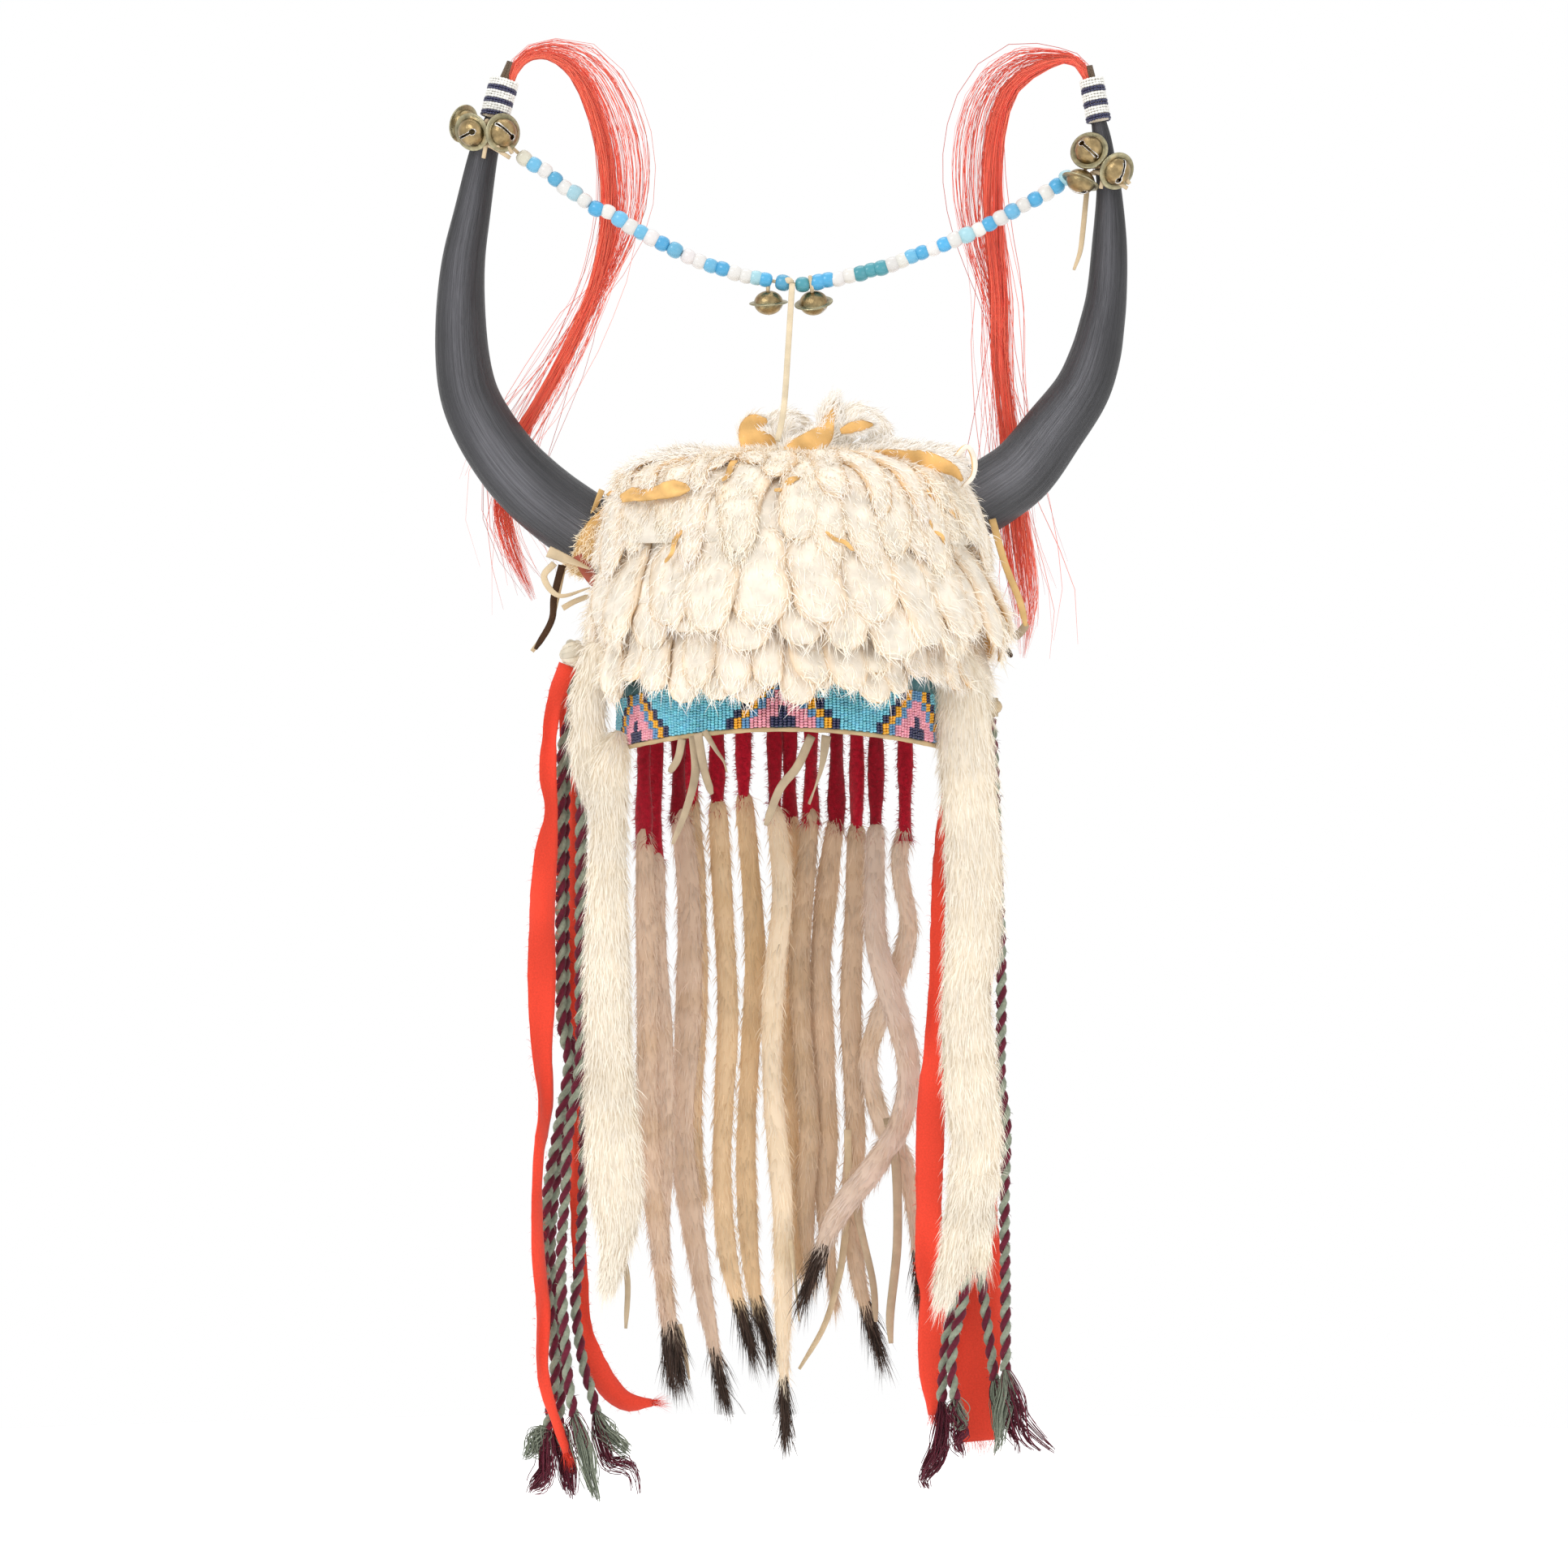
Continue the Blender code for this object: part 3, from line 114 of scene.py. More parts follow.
HORN_RIGHT = (
    (0.875, 0.940, -0.10, 0.09, 0.05), (0.882, 0.908, -0.10, 0.12, 0.05), (0.892, 0.861, -0.09, 0.15, 0.05),
    (0.903, 0.814, -0.08, 0.20, 0.08), (0.913, 0.773, -0.07, 0.25, 0.12), (0.922, 0.721, -0.06, 0.29, 0.20),
    (0.934, 0.653, -0.05, 0.34, 0.40), (0.936, 0.534, -0.02, 0.47, 0.75), (0.929, 0.421, 0.00, 0.54, 0.90),
    (0.915, 0.346, 0.01, 0.61, 1.00), (0.894, 0.271, 0.02, 0.69, 1.00), (0.854, 0.191, 0.03, 0.76, 1.00),
    (0.775, 0.103, 0.03, 0.84, 1.00), (0.690, 0.015, 0.02, 0.91, 1.00), (0.604, -0.037, 0.01, 0.95, 1.00),
    (0.534, -0.069, 0.00, 0.96, 1.00), (0.470, -0.099, 0.00, 0.97, 1.00), (0.426, -0.122, 0.00, 0.97, 1.00),
)
HORNS = {"left": HORN_LEFT, "right": HORN_RIGHT}
# Sleeves round a horn: first and last station
CUFF_STATIONS = {"left": (1.35, 3.15), "right": (1.0, 3.05)}
TIE_STATIONS = {"left": (3.75, 4.35), "right": (4.85, 5.50)}
# Bells: name, middle across in SPAN, up in RISE, back in DEPTH, way the slit faces, turn of the slit in
# degrees
BELLS = (
    ("bell_left_1", -0.927, 0.811, 0.040, (-0.70, 0.65, 0.25), 0),
    ("bell_left_2", -0.8985, 0.784, -0.1715, (-0.47, -0.82, -0.31), 200),
    ("bell_left_3", -0.8095, 0.782, -0.1935, (0.50, -0.85, -0.05), 140),
    ("bell_right_1", 0.874, 0.742, -0.158, (-0.30, -0.92, 0.25), -40),
    ("bell_right_2", 0.952, 0.694, -0.1855, (0.45, -0.82, -0.35), 75),
    ("bell_right_3", 0.850, 0.672, -0.132, (-0.35, -0.25, -0.90), 190),
    ("bell_middle_1", -0.047, 0.3945, -0.078, (0.05, 0.20, -0.98), 20),
    ("bell_middle_2", 0.083, 0.3945, -0.060, (0.13, 0.40, -0.90), 40),
)
# Bead middles along the string: across in SPAN, up in RISE
BEADS = (
    (-0.749, 0.726), (-0.721, 0.711), (-0.690, 0.698), (-0.660, 0.678), (-0.634, 0.659), (-0.604, 0.646),
    (-0.576, 0.629), (-0.543, 0.610), (-0.508, 0.603), (-0.475, 0.586), (-0.445, 0.569), (-0.414, 0.556),
    (-0.384, 0.543), (-0.353, 0.530), (-0.316, 0.515), (-0.278, 0.500), (-0.246, 0.489), (-0.213, 0.479),
    (-0.180, 0.472), (-0.145, 0.462), (-0.112, 0.455), (-0.082, 0.451), (-0.056, 0.447), (-0.005, 0.440),
    (0.051, 0.436), (0.096, 0.442), (0.124, 0.447), (0.154, 0.449), (0.187, 0.457), (0.218, 0.462),
    (0.248, 0.470), (0.278, 0.475), (0.309, 0.483), (0.337, 0.492), (0.365, 0.502), (0.395, 0.511),
    (0.428, 0.520), (0.459, 0.530), (0.489, 0.541), (0.524, 0.552), (0.559, 0.565), (0.590, 0.578),
    (0.622, 0.592), (0.655, 0.607), (0.688, 0.622), (0.721, 0.635), (0.753, 0.650), (0.784, 0.666),
    (0.812, 0.685),
)
STRING_ENDS = ((-0.790, 0.755), (0.870, 0.694))
STRING_BACK = (-0.11, -0.10, 0.02)  # in DEPTH, at the left end, the middle and the right end
# Routes of hung pieces: across in SPAN, down in DROP, back in DEPTH, width share
PENDANTS = {
    "pendant_01": (
        (-0.377, 0.356, 0.58, 0.8), (-0.381, 0.433, 0.56, 1.1), (-0.363, 0.549, 0.56, 1.15),
        (-0.356, 0.625, 0.56, 1.1), (-0.367, 0.702, 0.56, 1.0), (-0.358, 0.763, 0.56, 0.75),
        (-0.335, 0.848, 0.56, 0.2),
    ),
    "pendant_02": (
        (-0.311, 0.314, 0.76, 0.8), (-0.283, 0.395, 0.74, 1.1), (-0.283, 0.510, 0.72, 1.15),
        (-0.302, 0.625, 0.72, 1.1), (-0.283, 0.687, 0.72, 1.05), (-0.255, 0.748, 0.72, 0.95),
        (-0.222, 0.809, 0.70, 0.7), (-0.185, 0.872, 0.70, 0.15),
    ),
    "pendant_03": (
        (-0.410, 0.335, 0.40, 0.8), (-0.400, 0.472, 0.38, 1.0), (-0.402, 0.587, 0.38, 1.0),
        (-0.391, 0.664, 0.38, 0.95), (-0.363, 0.733, 0.38, 0.8), (-0.307, 0.849, 0.38, 0.15),
    ),
    "pendant_04": (
        (-0.278, 0.295, 0.90, 0.7), (-0.260, 0.395, 0.90, 0.85), (-0.255, 0.510, 0.90, 0.85),
        (-0.269, 0.587, 0.90, 0.8), (-0.260, 0.656, 0.90, 0.6), (-0.243, 0.688, 0.90, 0.25),
    ),
    "pendant_05": (
        (-0.199, 0.304, 0.93, 0.8), (-0.185, 0.395, 0.93, 0.95), (-0.168, 0.510, 0.93, 0.95),
        (-0.180, 0.602, 0.93, 0.9), (-0.185, 0.679, 0.93, 0.9), (-0.164, 0.756, 0.93, 0.8),
        (-0.101, 0.834, 0.93, 0.15),
    ),
    "pendant_06": (
        (-0.122, 0.297, 1.04, 0.8), (-0.098, 0.395, 1.04, 0.95), (-0.087, 0.472, 1.04, 0.95),
        (-0.105, 0.564, 1.04, 0.9), (-0.115, 0.664, 1.04, 0.9), (-0.096, 0.771, 1.04, 0.75),
        (-0.049, 0.834, 1.04, 0.15),
    ),
    "pendant_07": (
        (-0.030, 0.312, 0.93, 0.8), (-0.007, 0.395, 0.88, 1.0), (-0.033, 0.487, 0.87, 0.95),
        (-0.037, 0.579, 0.87, 0.95), (-0.009, 0.687, 0.87, 0.95), (-0.005, 0.779, 0.87, 0.85),
        (-0.005, 0.844, 0.87, 0.5), (0.002, 0.911, 0.87, 0.15),
    ),
    "pendant_08": (
        (0.014, 0.318, 1.07, 0.75), (0.040, 0.395, 1.07, 0.85), (0.021, 0.510, 1.07, 0.85),
        (0.016, 0.610, 1.07, 0.8), (0.035, 0.702, 1.07, 0.7), (0.044, 0.763, 1.07, 0.3),
    ),
    "pendant_09": (
        (0.077, 0.315, 0.95, 0.8), (0.063, 0.380, 0.97, 0.9), (0.044, 0.456, 0.98, 0.95),
        (0.054, 0.549, 0.98, 0.95), (0.073, 0.625, 0.98, 0.9), (0.063, 0.702, 0.98, 0.8),
        (0.077, 0.771, 0.98, 0.3),
    ),
    "pendant_10": (
        (0.152, 0.321, 1.02, 0.8), (0.124, 0.395, 1.04, 1.0), (0.105, 0.472, 1.04, 1.0),
        (0.115, 0.549, 1.04, 1.0), (0.124, 0.625, 1.04, 1.0), (0.119, 0.702, 1.04, 0.9),
        (0.147, 0.794, 1.04, 0.2),
    ),
    "pendant_11": (
        (0.211, 0.327, 0.93, 0.8), (0.208, 0.395, 0.94, 0.95), (0.194, 0.510, 0.95, 0.95),
        (0.208, 0.625, 0.95, 0.95), (0.199, 0.687, 0.95, 0.9), (0.213, 0.763, 0.95, 0.8),
        (0.274, 0.837, 0.95, 0.15),
    ),
    "pendant_12": (
        (0.267, 0.328, 0.83, 0.8), (0.264, 0.395, 0.80, 1.0), (0.271, 0.449, 0.76, 1.05),
        (0.325, 0.510, 0.73, 1.1), (0.363, 0.564, 0.72, 1.1), (0.339, 0.618, 0.72, 1.1),
        (0.253, 0.664, 0.72, 1.1), (0.147, 0.710, 0.72, 1.0), (0.063, 0.780, 0.72, 0.2),
    ),
    "pendant_13": (
        (0.351, 0.331, 0.66, 0.75), (0.335, 0.372, 0.68, 0.8), (0.363, 0.426, 0.76, 0.85),
        (0.335, 0.472, 0.88, 0.9), (0.274, 0.522, 0.90, 0.9), (0.246, 0.564, 0.90, 0.9),
        (0.292, 0.625, 0.88, 0.85), (0.358, 0.664, 0.86, 0.75), (0.400, 0.785, 0.86, 0.15),
    ),
}
YARNS = {
    "yarn_left_1": (
        (-0.618, 0.1803, 0.10), (-0.615, 0.219, 0.10), (-0.644, 0.265, 0.10), (-0.648, 0.364, 0.10),
        (-0.646, 0.510, 0.10), (-0.625, 0.556, 0.11), (-0.655, 0.618, 0.11), (-0.686, 0.679, 0.11),
        (-0.697, 0.740, 0.11), (-0.681, 0.786, 0.11), (-0.665, 0.848, 0.11), (-0.686, 0.904, 0.11),
    ),
    "yarn_left_2": (
        (-0.613, 0.1803, 0.19), (-0.606, 0.219, 0.19), (-0.632, 0.272, 0.19), (-0.639, 0.364, 0.20),
        (-0.634, 0.510, 0.20), (-0.611, 0.556, 0.20), (-0.641, 0.618, 0.20), (-0.667, 0.679, 0.20),
        (-0.679, 0.740, 0.20), (-0.662, 0.794, 0.20), (-0.648, 0.848, 0.20), (-0.655, 0.900, 0.20),
    ),
    "yarn_left_3": (
        (-0.580, 0.2084, 0.10), (-0.582, 0.236, 0.10), (-0.590, 0.318, 0.08), (-0.592, 0.472, 0.06),
        (-0.592, 0.556, 0.03), (-0.625, 0.625, 0.01), (-0.632, 0.671, 0.01), (-0.646, 0.748, 0.01),
        (-0.629, 0.840, 0.01), (-0.622, 0.864, 0.01), (-0.608, 0.889, 0.01),
    ),
    "yarn_left_4": (
        (-0.577, 0.2084, 0.225), (-0.581, 0.245, 0.265), (-0.587, 0.364, 0.28), (-0.587, 0.510, 0.27),
        (-0.583, 0.625, 0.27), (-0.594, 0.740, 0.27), (-0.608, 0.779, 0.27), (-0.599, 0.817, 0.27),
        (-0.580, 0.852, 0.27), (-0.564, 0.867, 0.27), (-0.548, 0.890, 0.27),
    ),
    "yarn_right_1": (
        (0.597, 0.2312, 0.20), (0.606, 0.280, 0.21), (0.615, 0.364, 0.22), (0.625, 0.441, 0.22),
        (0.627, 0.510, 0.22), (0.625, 0.572, 0.22), (0.641, 0.618, 0.22), (0.636, 0.687, 0.22),
        (0.639, 0.779, 0.22), (0.639, 0.849, 0.22),
    ),
    "yarn_right_2": (
        (0.590, 0.2312, 0.30), (0.583, 0.280, 0.30), (0.583, 0.364, 0.29), (0.585, 0.472, 0.29),
        (0.573, 0.572, 0.29), (0.559, 0.656, 0.29), (0.557, 0.710, 0.29), (0.566, 0.748, 0.29),
        (0.585, 0.802, 0.29), (0.608, 0.859, 0.29),
    ),
    "yarn_right_3": (
        (0.550, 0.2312, 0.20), (0.553, 0.288, 0.21), (0.550, 0.395, 0.22), (0.550, 0.549, 0.22),
        (0.545, 0.664, 0.22), (0.531, 0.748, 0.21), (0.512, 0.790, 0.20), (0.491, 0.817, 0.20),
        (0.482, 0.848, 0.20), (0.494, 0.877, 0.20),
    ),
    "yarn_right_4": (
        (0.543, 0.2312, 0.30), (0.530, 0.288, 0.29), (0.517, 0.395, 0.29), (0.515, 0.549, 0.29),
        (0.510, 0.664, 0.29), (0.501, 0.733, 0.29), (0.487, 0.786, 0.29), (0.468, 0.821, 0.29),
        (0.459, 0.855, 0.29), (0.454, 0.880, 0.29),
    ),
}
# Ribbon stations add a turn about the vertical, in degrees
RIBBONS = {
    "ribbon_left_1": (
        (-0.625, 0.1803, 0.03, 1.20, 0), (-0.655, 0.204, 0.02, 1.00, 0), (-0.674, 0.234, 0.00, 0.90, 0),
        (-0.683, 0.282, 0.00, 1.05, 0), (-0.674, 0.318, 0.00, 0.80, 20), (-0.690, 0.361, 0.01, 1.45, 20),
        (-0.700, 0.443, 0.01, 1.65, 10), (-0.702, 0.505, 0.01, 1.60, 10), (-0.702, 0.552, 0.01, 1.30, 30),
        (-0.695, 0.599, 0.01, 1.20, 50), (-0.705, 0.656, -0.01, 1.00, 60), (-0.712, 0.710, -0.02, 1.00, 50),
        (-0.700, 0.779, 0.01, 1.00, 40), (-0.700, 0.848, 0.01, 0.80, 30), (-0.629, 0.925, 0.05, 0.50, 0),
    ),
    "ribbon_left_2": (
        (-0.620, 0.1803, 0.25, 0.90, 0), (-0.632, 0.226, 0.34, 1.00, 0), (-0.615, 0.318, 0.35, 0.90, 0),
        (-0.611, 0.472, 0.35, 0.90, 0), (-0.611, 0.625, 0.35, 0.80, 0), (-0.592, 0.771, 0.35, 0.90, 0),
        (-0.578, 0.809, 0.35, 0.70, 0), (-0.555, 0.837, 0.35, 1.10, 0), (-0.519, 0.864, 0.35, 1.40, 0),
        (-0.461, 0.881, 0.35, 1.20, 0), (-0.386, 0.882, 0.35, 0.40, 0),
    ),
    "ribbon_right_1": (
        (0.530, 0.2312, 0.38, 0.90, 0), (0.490, 0.288, 0.37, 1.00, 0), (0.452, 0.364, 0.37, 0.90, 0),
        (0.442, 0.472, 0.37, 0.90, 0), (0.433, 0.523, 0.37, 1.00, 0), (0.431, 0.558, 0.37, 1.30, 0),
        (0.426, 0.593, 0.37, 1.70, 0), (0.421, 0.648, 0.37, 1.70, 0), (0.419, 0.694, 0.37, 1.60, 0),
        (0.421, 0.747, 0.37, 1.80, 0), (0.440, 0.779, 0.37, 2.00, 0), (0.433, 0.808, 0.37, 1.90, 0),
        (0.428, 0.852, 0.37, 1.60, 0), (0.431, 0.894, 0.37, 0.60, 0),
    ),
    "ribbon_right_2": (
        (0.583, 0.2312, 0.40, 0.90, 0), (0.578, 0.318, 0.43, 1.00, 0), (0.573, 0.472, 0.45, 1.10, 0),
        (0.578, 0.625, 0.45, 1.30, 0), (0.573, 0.702, 0.45, 2.00, 0), (0.557, 0.760, 0.45, 3.20, 0),
        (0.557, 0.825, 0.45, 3.20, 0), (0.550, 0.867, 0.45, 2.80, 0), (0.564, 0.920, 0.45, 2.10, 0),
    ),
}
# Side ermines: across, down, back, width in SIDE_WIDTH
SIDE_ERMINES = {
    "side_ermine_left": (
        (-0.472, 0.243, -0.36, 0.30), (-0.490, 0.262, -0.42, 0.52), (-0.500, 0.285, -0.46, 0.60),
        (-0.505, 0.384, -0.50, 0.66), (-0.505, 0.472, -0.50, 0.76), (-0.501, 0.549, -0.50, 0.83),
        (-0.491, 0.625, -0.50, 0.92), (-0.480, 0.679, -0.50, 0.92), (-0.480, 0.717, -0.50, 0.58),
        (-0.503, 0.760, -0.50, 0.20),
    ),
    "side_ermine_right": (
        (0.492, 0.168, -0.49, 0.60), (0.509, 0.216, -0.495, 0.92), (0.520, 0.280, -0.50, 0.94),
        (0.538, 0.364, -0.50, 1.00), (0.536, 0.441, -0.50, 0.96), (0.517, 0.480, -0.50, 0.81),
        (0.522, 0.533, -0.50, 0.90), (0.531, 0.579, -0.50, 0.94), (0.545, 0.625, -0.50, 0.92),
        (0.530, 0.664, -0.50, 0.83), (0.505, 0.702, -0.50, 0.60), (0.480, 0.740, -0.50, 0.48),
        (0.452, 0.771, -0.50, 0.26),
    ),
    "ermine_tail_left": (
        (-0.535, 0.160, -0.34, 0.40), (-0.560, 0.2074, -0.34, 0.55), (-0.562, 0.242, -0.33, 0.60),
        (-0.564, 0.272, -0.33, 0.58), (-0.557, 0.299, -0.33, 0.26),
    ),
}
# Plumes: across in SPAN, up in RISE, back in DEPTH, thickness in PLUME_RADIUS
PLUMES = {
    "plume_left": (
        (-0.773, 0.924, -0.10, 0.50), (-0.752, 0.947, -0.08, 0.80), (-0.711, 0.966, -0.02, 1.00),
        (-0.648, 0.955, 0.05, 1.10), (-0.597, 0.915, 0.08, 1.20), (-0.555, 0.842, 0.10, 1.30),
        (-0.524, 0.751, 0.12, 1.30), (-0.510, 0.636, 0.14, 1.20), (-0.522, 0.534, 0.16, 1.10),
        (-0.559, 0.421, 0.20, 0.90), (-0.632, 0.290, 0.26, 0.80), (-0.718, 0.168, 0.32, 0.70),
        (-0.779, 0.084, 0.34, 0.70), (-0.817, -0.009, 0.34, 0.80), (-0.819, -0.103, 0.30, 0.90),
        (-0.779, -0.197, 0.26, 0.60), (-0.728, -0.286, 0.24, 0.20),
    ),
    "plume_right": (
        (0.857, 0.924, -0.10, 0.50), (0.838, 0.947, -0.08, 0.85), (0.805, 0.957, -0.02, 1.10),
        (0.749, 0.947, 0.05, 1.20), (0.681, 0.921, 0.08, 1.30), (0.634, 0.874, 0.10, 1.30),
        (0.606, 0.786, 0.12, 1.30), (0.597, 0.683, 0.14, 1.30), (0.601, 0.552, 0.16, 1.20),
        (0.618, 0.421, 0.20, 1.10), (0.620, 0.290, 0.24, 1.00), (0.634, 0.178, 0.30, 0.90),
        (0.653, 0.066, 0.34, 0.90), (0.662, -0.066, 0.33, 1.20), (0.681, -0.197, 0.28, 1.30),
        (0.700, -0.309, 0.26, 1.00), (0.690, -0.421, 0.25, 0.20),
    ),
}
# Flat hide thongs: across, down, back, width in THONG_WIDTH
THONGS = {
    "middle_thong": (
        (0.021, -0.179, -0.14, 1.0), (0.010, -0.120, -0.27, 1.0), (-0.003, -0.060, -0.40, 1.0),
        (-0.021, -0.0282, -0.49, 1.0),
    ),
    "root_thong_left": (
        (-0.637, 0.0850, 0.06, 0.8), (-0.660, 0.119, 0.05, 0.9), (-0.683, 0.146, 0.0, 1.0),
        (-0.729, 0.167, 0.0, 0.7),
    ),
    "bell_thong_right": (
        (0.874, -0.279, -0.004, 0.9), (0.868, -0.260, -0.004, 0.9), (0.858, -0.228, -0.02, 0.9),
        (0.850, -0.210, -0.04, 0.8), (0.832, -0.193, -0.06, 0.5),
    ),
}

# Colours in linear light
BEAD_TURQUOISE = (0.17, 0.56, 0.69)
BEAD_NAVY = (0.018, 0.020, 0.075)
BEAD_YELLOW = (0.85, 0.40, 0.01)
BEAD_STEEL = (0.11, 0.29, 0.50)
BEAD_PINK = (0.82, 0.34, 0.42)
BEAD_WHITE = (0.86, 0.85, 0.80)
BELL_INSIDE = (0.10, 0.07, 0.03)
PALE_THONG = (0.66, 0.52, 0.34)
LIGHT_THONG = (0.72, 0.60, 0.42)
GOLDEN_HIDE = (0.66, 0.40, 0.15)
DARK_BRISTLE = (0.022, 0.014, 0.010)
BRISTLE_INK = (0.032, 0.020, 0.015)
ERMINE_ROOT = (0.75, 0.67, 0.55)
ERMINE_TIP = (1.12, 1.19, 1.30)  # factors of the root's colour
CROW_BEADS = {
    "w": (0.72, 0.70, 0.67), "y": (0.60, 0.58, 0.47), "l": (0.14, 0.44, 0.66), "b": (0.07, 0.38, 0.66),
    "m": (0.08, 0.34, 0.55), "p": (0.36, 0.60, 0.68), "t": (0.06, 0.30, 0.36),
}
CROW_ORDER = "ylwmwpwbwlwlwblwwlbwwpbmtbbwwtttwwlbwbwpwbwlwbwbp"


def unit(vectors):
    return vectors / np.maximum(np.linalg.norm(vectors, axis=-1, keepdims=True), 1e-12)


def metres_along(line):
    """The length of the line from its first place to each place, in metres."""
    return np.concatenate([[0], np.cumsum(np.linalg.norm(np.diff(line[:, :3], axis=0), axis=1))])


def curve(rows, count):
    """A Catmull-Rom curve through the rows, at evenly spaced lengths along its first three columns."""
    rows = np.array(rows, float)
    ends = np.vstack([2 * rows[0] - rows[1], rows, 2 * rows[-1] - rows[-2]])
    steps = np.linspace(0, 1, 17)[:-1, None]
    a, b, c, d = (ends[k:len(ends) - 3 + k, None] for k in range(4))
    line = (0.5 * (2 * b + (c - a) * steps + (2 * a - 5 * b + 4 * c - d) * steps**2
                   + (3 * b - a - 3 * c + d) * steps**3))
    line = np.vstack([line.reshape(-1, rows.shape[1]), rows[-1:]])
    along = metres_along(line)
    places = np.linspace(0, along[-1], count)
    return np.stack([np.interp(places, along, column) for column in line.T], axis=1)


def hung(rows):
    """Rows of across, down and back, made metres; further columns stay."""
    rows = np.array(rows, float)
    rows[:, :3] = np.stack([rows[:, 0] * SPAN, rows[:, 2] * DEPTH, -rows[:, 1] * DROP], axis=1)
    return rows


def seen(places, back):
    """Places in the picture, as pixels across and down, made metres at a depth."""
    places = np.array(places, float)
    across = (places[:, 0] - PICTURE_MIDDLE[0]) * PICTURE_PIXEL
    up = (PICTURE_MIDDLE[1] - places[:, 1]) * PICTURE_PIXEL
    return np.stack([across, np.zeros(len(places)) + back, up], axis=1)


def raised(rows):
    """Rows of across, up and back, made metres; further columns stay."""
    rows = np.array(rows, float)
    rows[:, :3] = np.stack([rows[:, 0] * SPAN, rows[:, 2] * DEPTH, rows[:, 1] * RISE], axis=1)
    return rows


def facing(along):
    """For each way along a line, the way out to the front at right angles to it, and the way across both."""
    out = unit(np.array((0.0, -1.0, 0.0)) - along * along[:, 1:2])
    return out, np.cross(out, along)


def sampled(places, steps, line):
    """The line's first three columns at the places, where steps are the line's own places."""
    return np.stack([np.interp(places, steps, line[:, k]) for k in range(3)], axis=-1)


def station_of(rows, place):
    """The row at a place between whole stations: its point and its width."""
    return np.array([np.interp(place, np.arange(len(rows)), rows[:, k]) for k in range(4)])


def net(rows, columns, copies=1):
    """Quads of a grid of rows by columns points, closed along each row, for that many grids in a row."""
    i = np.arange(rows - 1)[:, None] * columns
    j = np.arange(columns)[None]
    n = (j + 1) % columns
    quads = np.stack([i + j, i + n, i + columns + n, i + columns + j], axis=-1).reshape(-1, 4)
    return (quads[None] + (np.arange(copies) * rows * columns)[:, None, None]).reshape(-1, 4)


def ends_of(rows, columns, copies=1):
    """The two end faces of each of that many closed grids."""
    first = np.arange(columns)[::-1]
    both = np.stack([first, (rows - 1) * columns + np.arange(columns)])
    return (both[None] + (np.arange(copies) * rows * columns)[:, None, None]).reshape(-1, columns)


def closed(rows, columns, copies=1):
    """All the faces of each of that many closed grids."""
    return [net(rows, columns, copies), ends_of(rows, columns, copies)]


class Sheaf:
    """Gathers points, faces, a tint and a UV for each point, and makes one mesh object of them."""

    def __init__(self):
        self.points, self.faces, self.tints, self.uvs, self.total = [], [], [], [], 0

    def add(self, points, faces, tint, uv=None, slot=0):
        shape = np.shape(points)[:-1]
        points = np.asarray(points, float).reshape(-1, 3)
        tint = np.asarray(tint, float)
        tint = np.broadcast_to(tint, (*shape, 3)).reshape(-1, 3)
        uv = np.zeros((len(points), 2)) if uv is None else np.asarray(uv, float).reshape(-1, 2)
        self.faces += [(np.asarray(block) + self.total, slot) for block in faces]
        self.points.append(points)
        self.tints.append(tint)
        self.uvs.append(uv)
        self.total += len(points)

    def make(self, name, *materials):
        points, uvs, tints = np.concatenate(self.points), np.concatenate(self.uvs), np.concatenate(self.tints)
        corners = np.concatenate([block.ravel() for block, _ in self.faces]).astype(np.int32)
        sizes = np.concatenate([np.full(len(block), block.shape[1]) for block, _ in self.faces])
        slots = np.concatenate([np.full(len(block), slot) for block, slot in self.faces]).astype(np.int32)
        mesh = bpy.data.meshes.new(name)
        mesh.vertices.add(len(points))
        mesh.vertices.foreach_set("co", points.ravel().astype(np.float32))
        mesh.loops.add(len(corners))
        mesh.loops.foreach_set("vertex_index", corners)
        mesh.polygons.add(len(sizes))
        mesh.polygons.foreach_set("loop_start", np.concatenate([[0], np.cumsum(sizes)[:-1]]).astype(np.int32))
        mesh.polygons.foreach_set("material_index", slots)
        mesh.polygons.foreach_set("use_smooth", np.full(len(sizes), True))
        mesh.uv_layers.new(name="UVMap").data.foreach_set("uv", uvs[corners].ravel().astype(np.float32))
        colours = np.concatenate([np.clip(tints, 0, 1), np.ones((len(points), 1))], axis=1).astype(np.float32)
        mesh.attributes.new("tint", "FLOAT_COLOR", "POINT").data.foreach_set("color", colours.ravel())
        mesh.update(calc_edges=True)
        obj = bpy.data.objects.new(name, mesh)
        bpy.context.scene.collection.objects.link(obj)
        for material in materials:
            mesh.materials.append(material)
        return obj


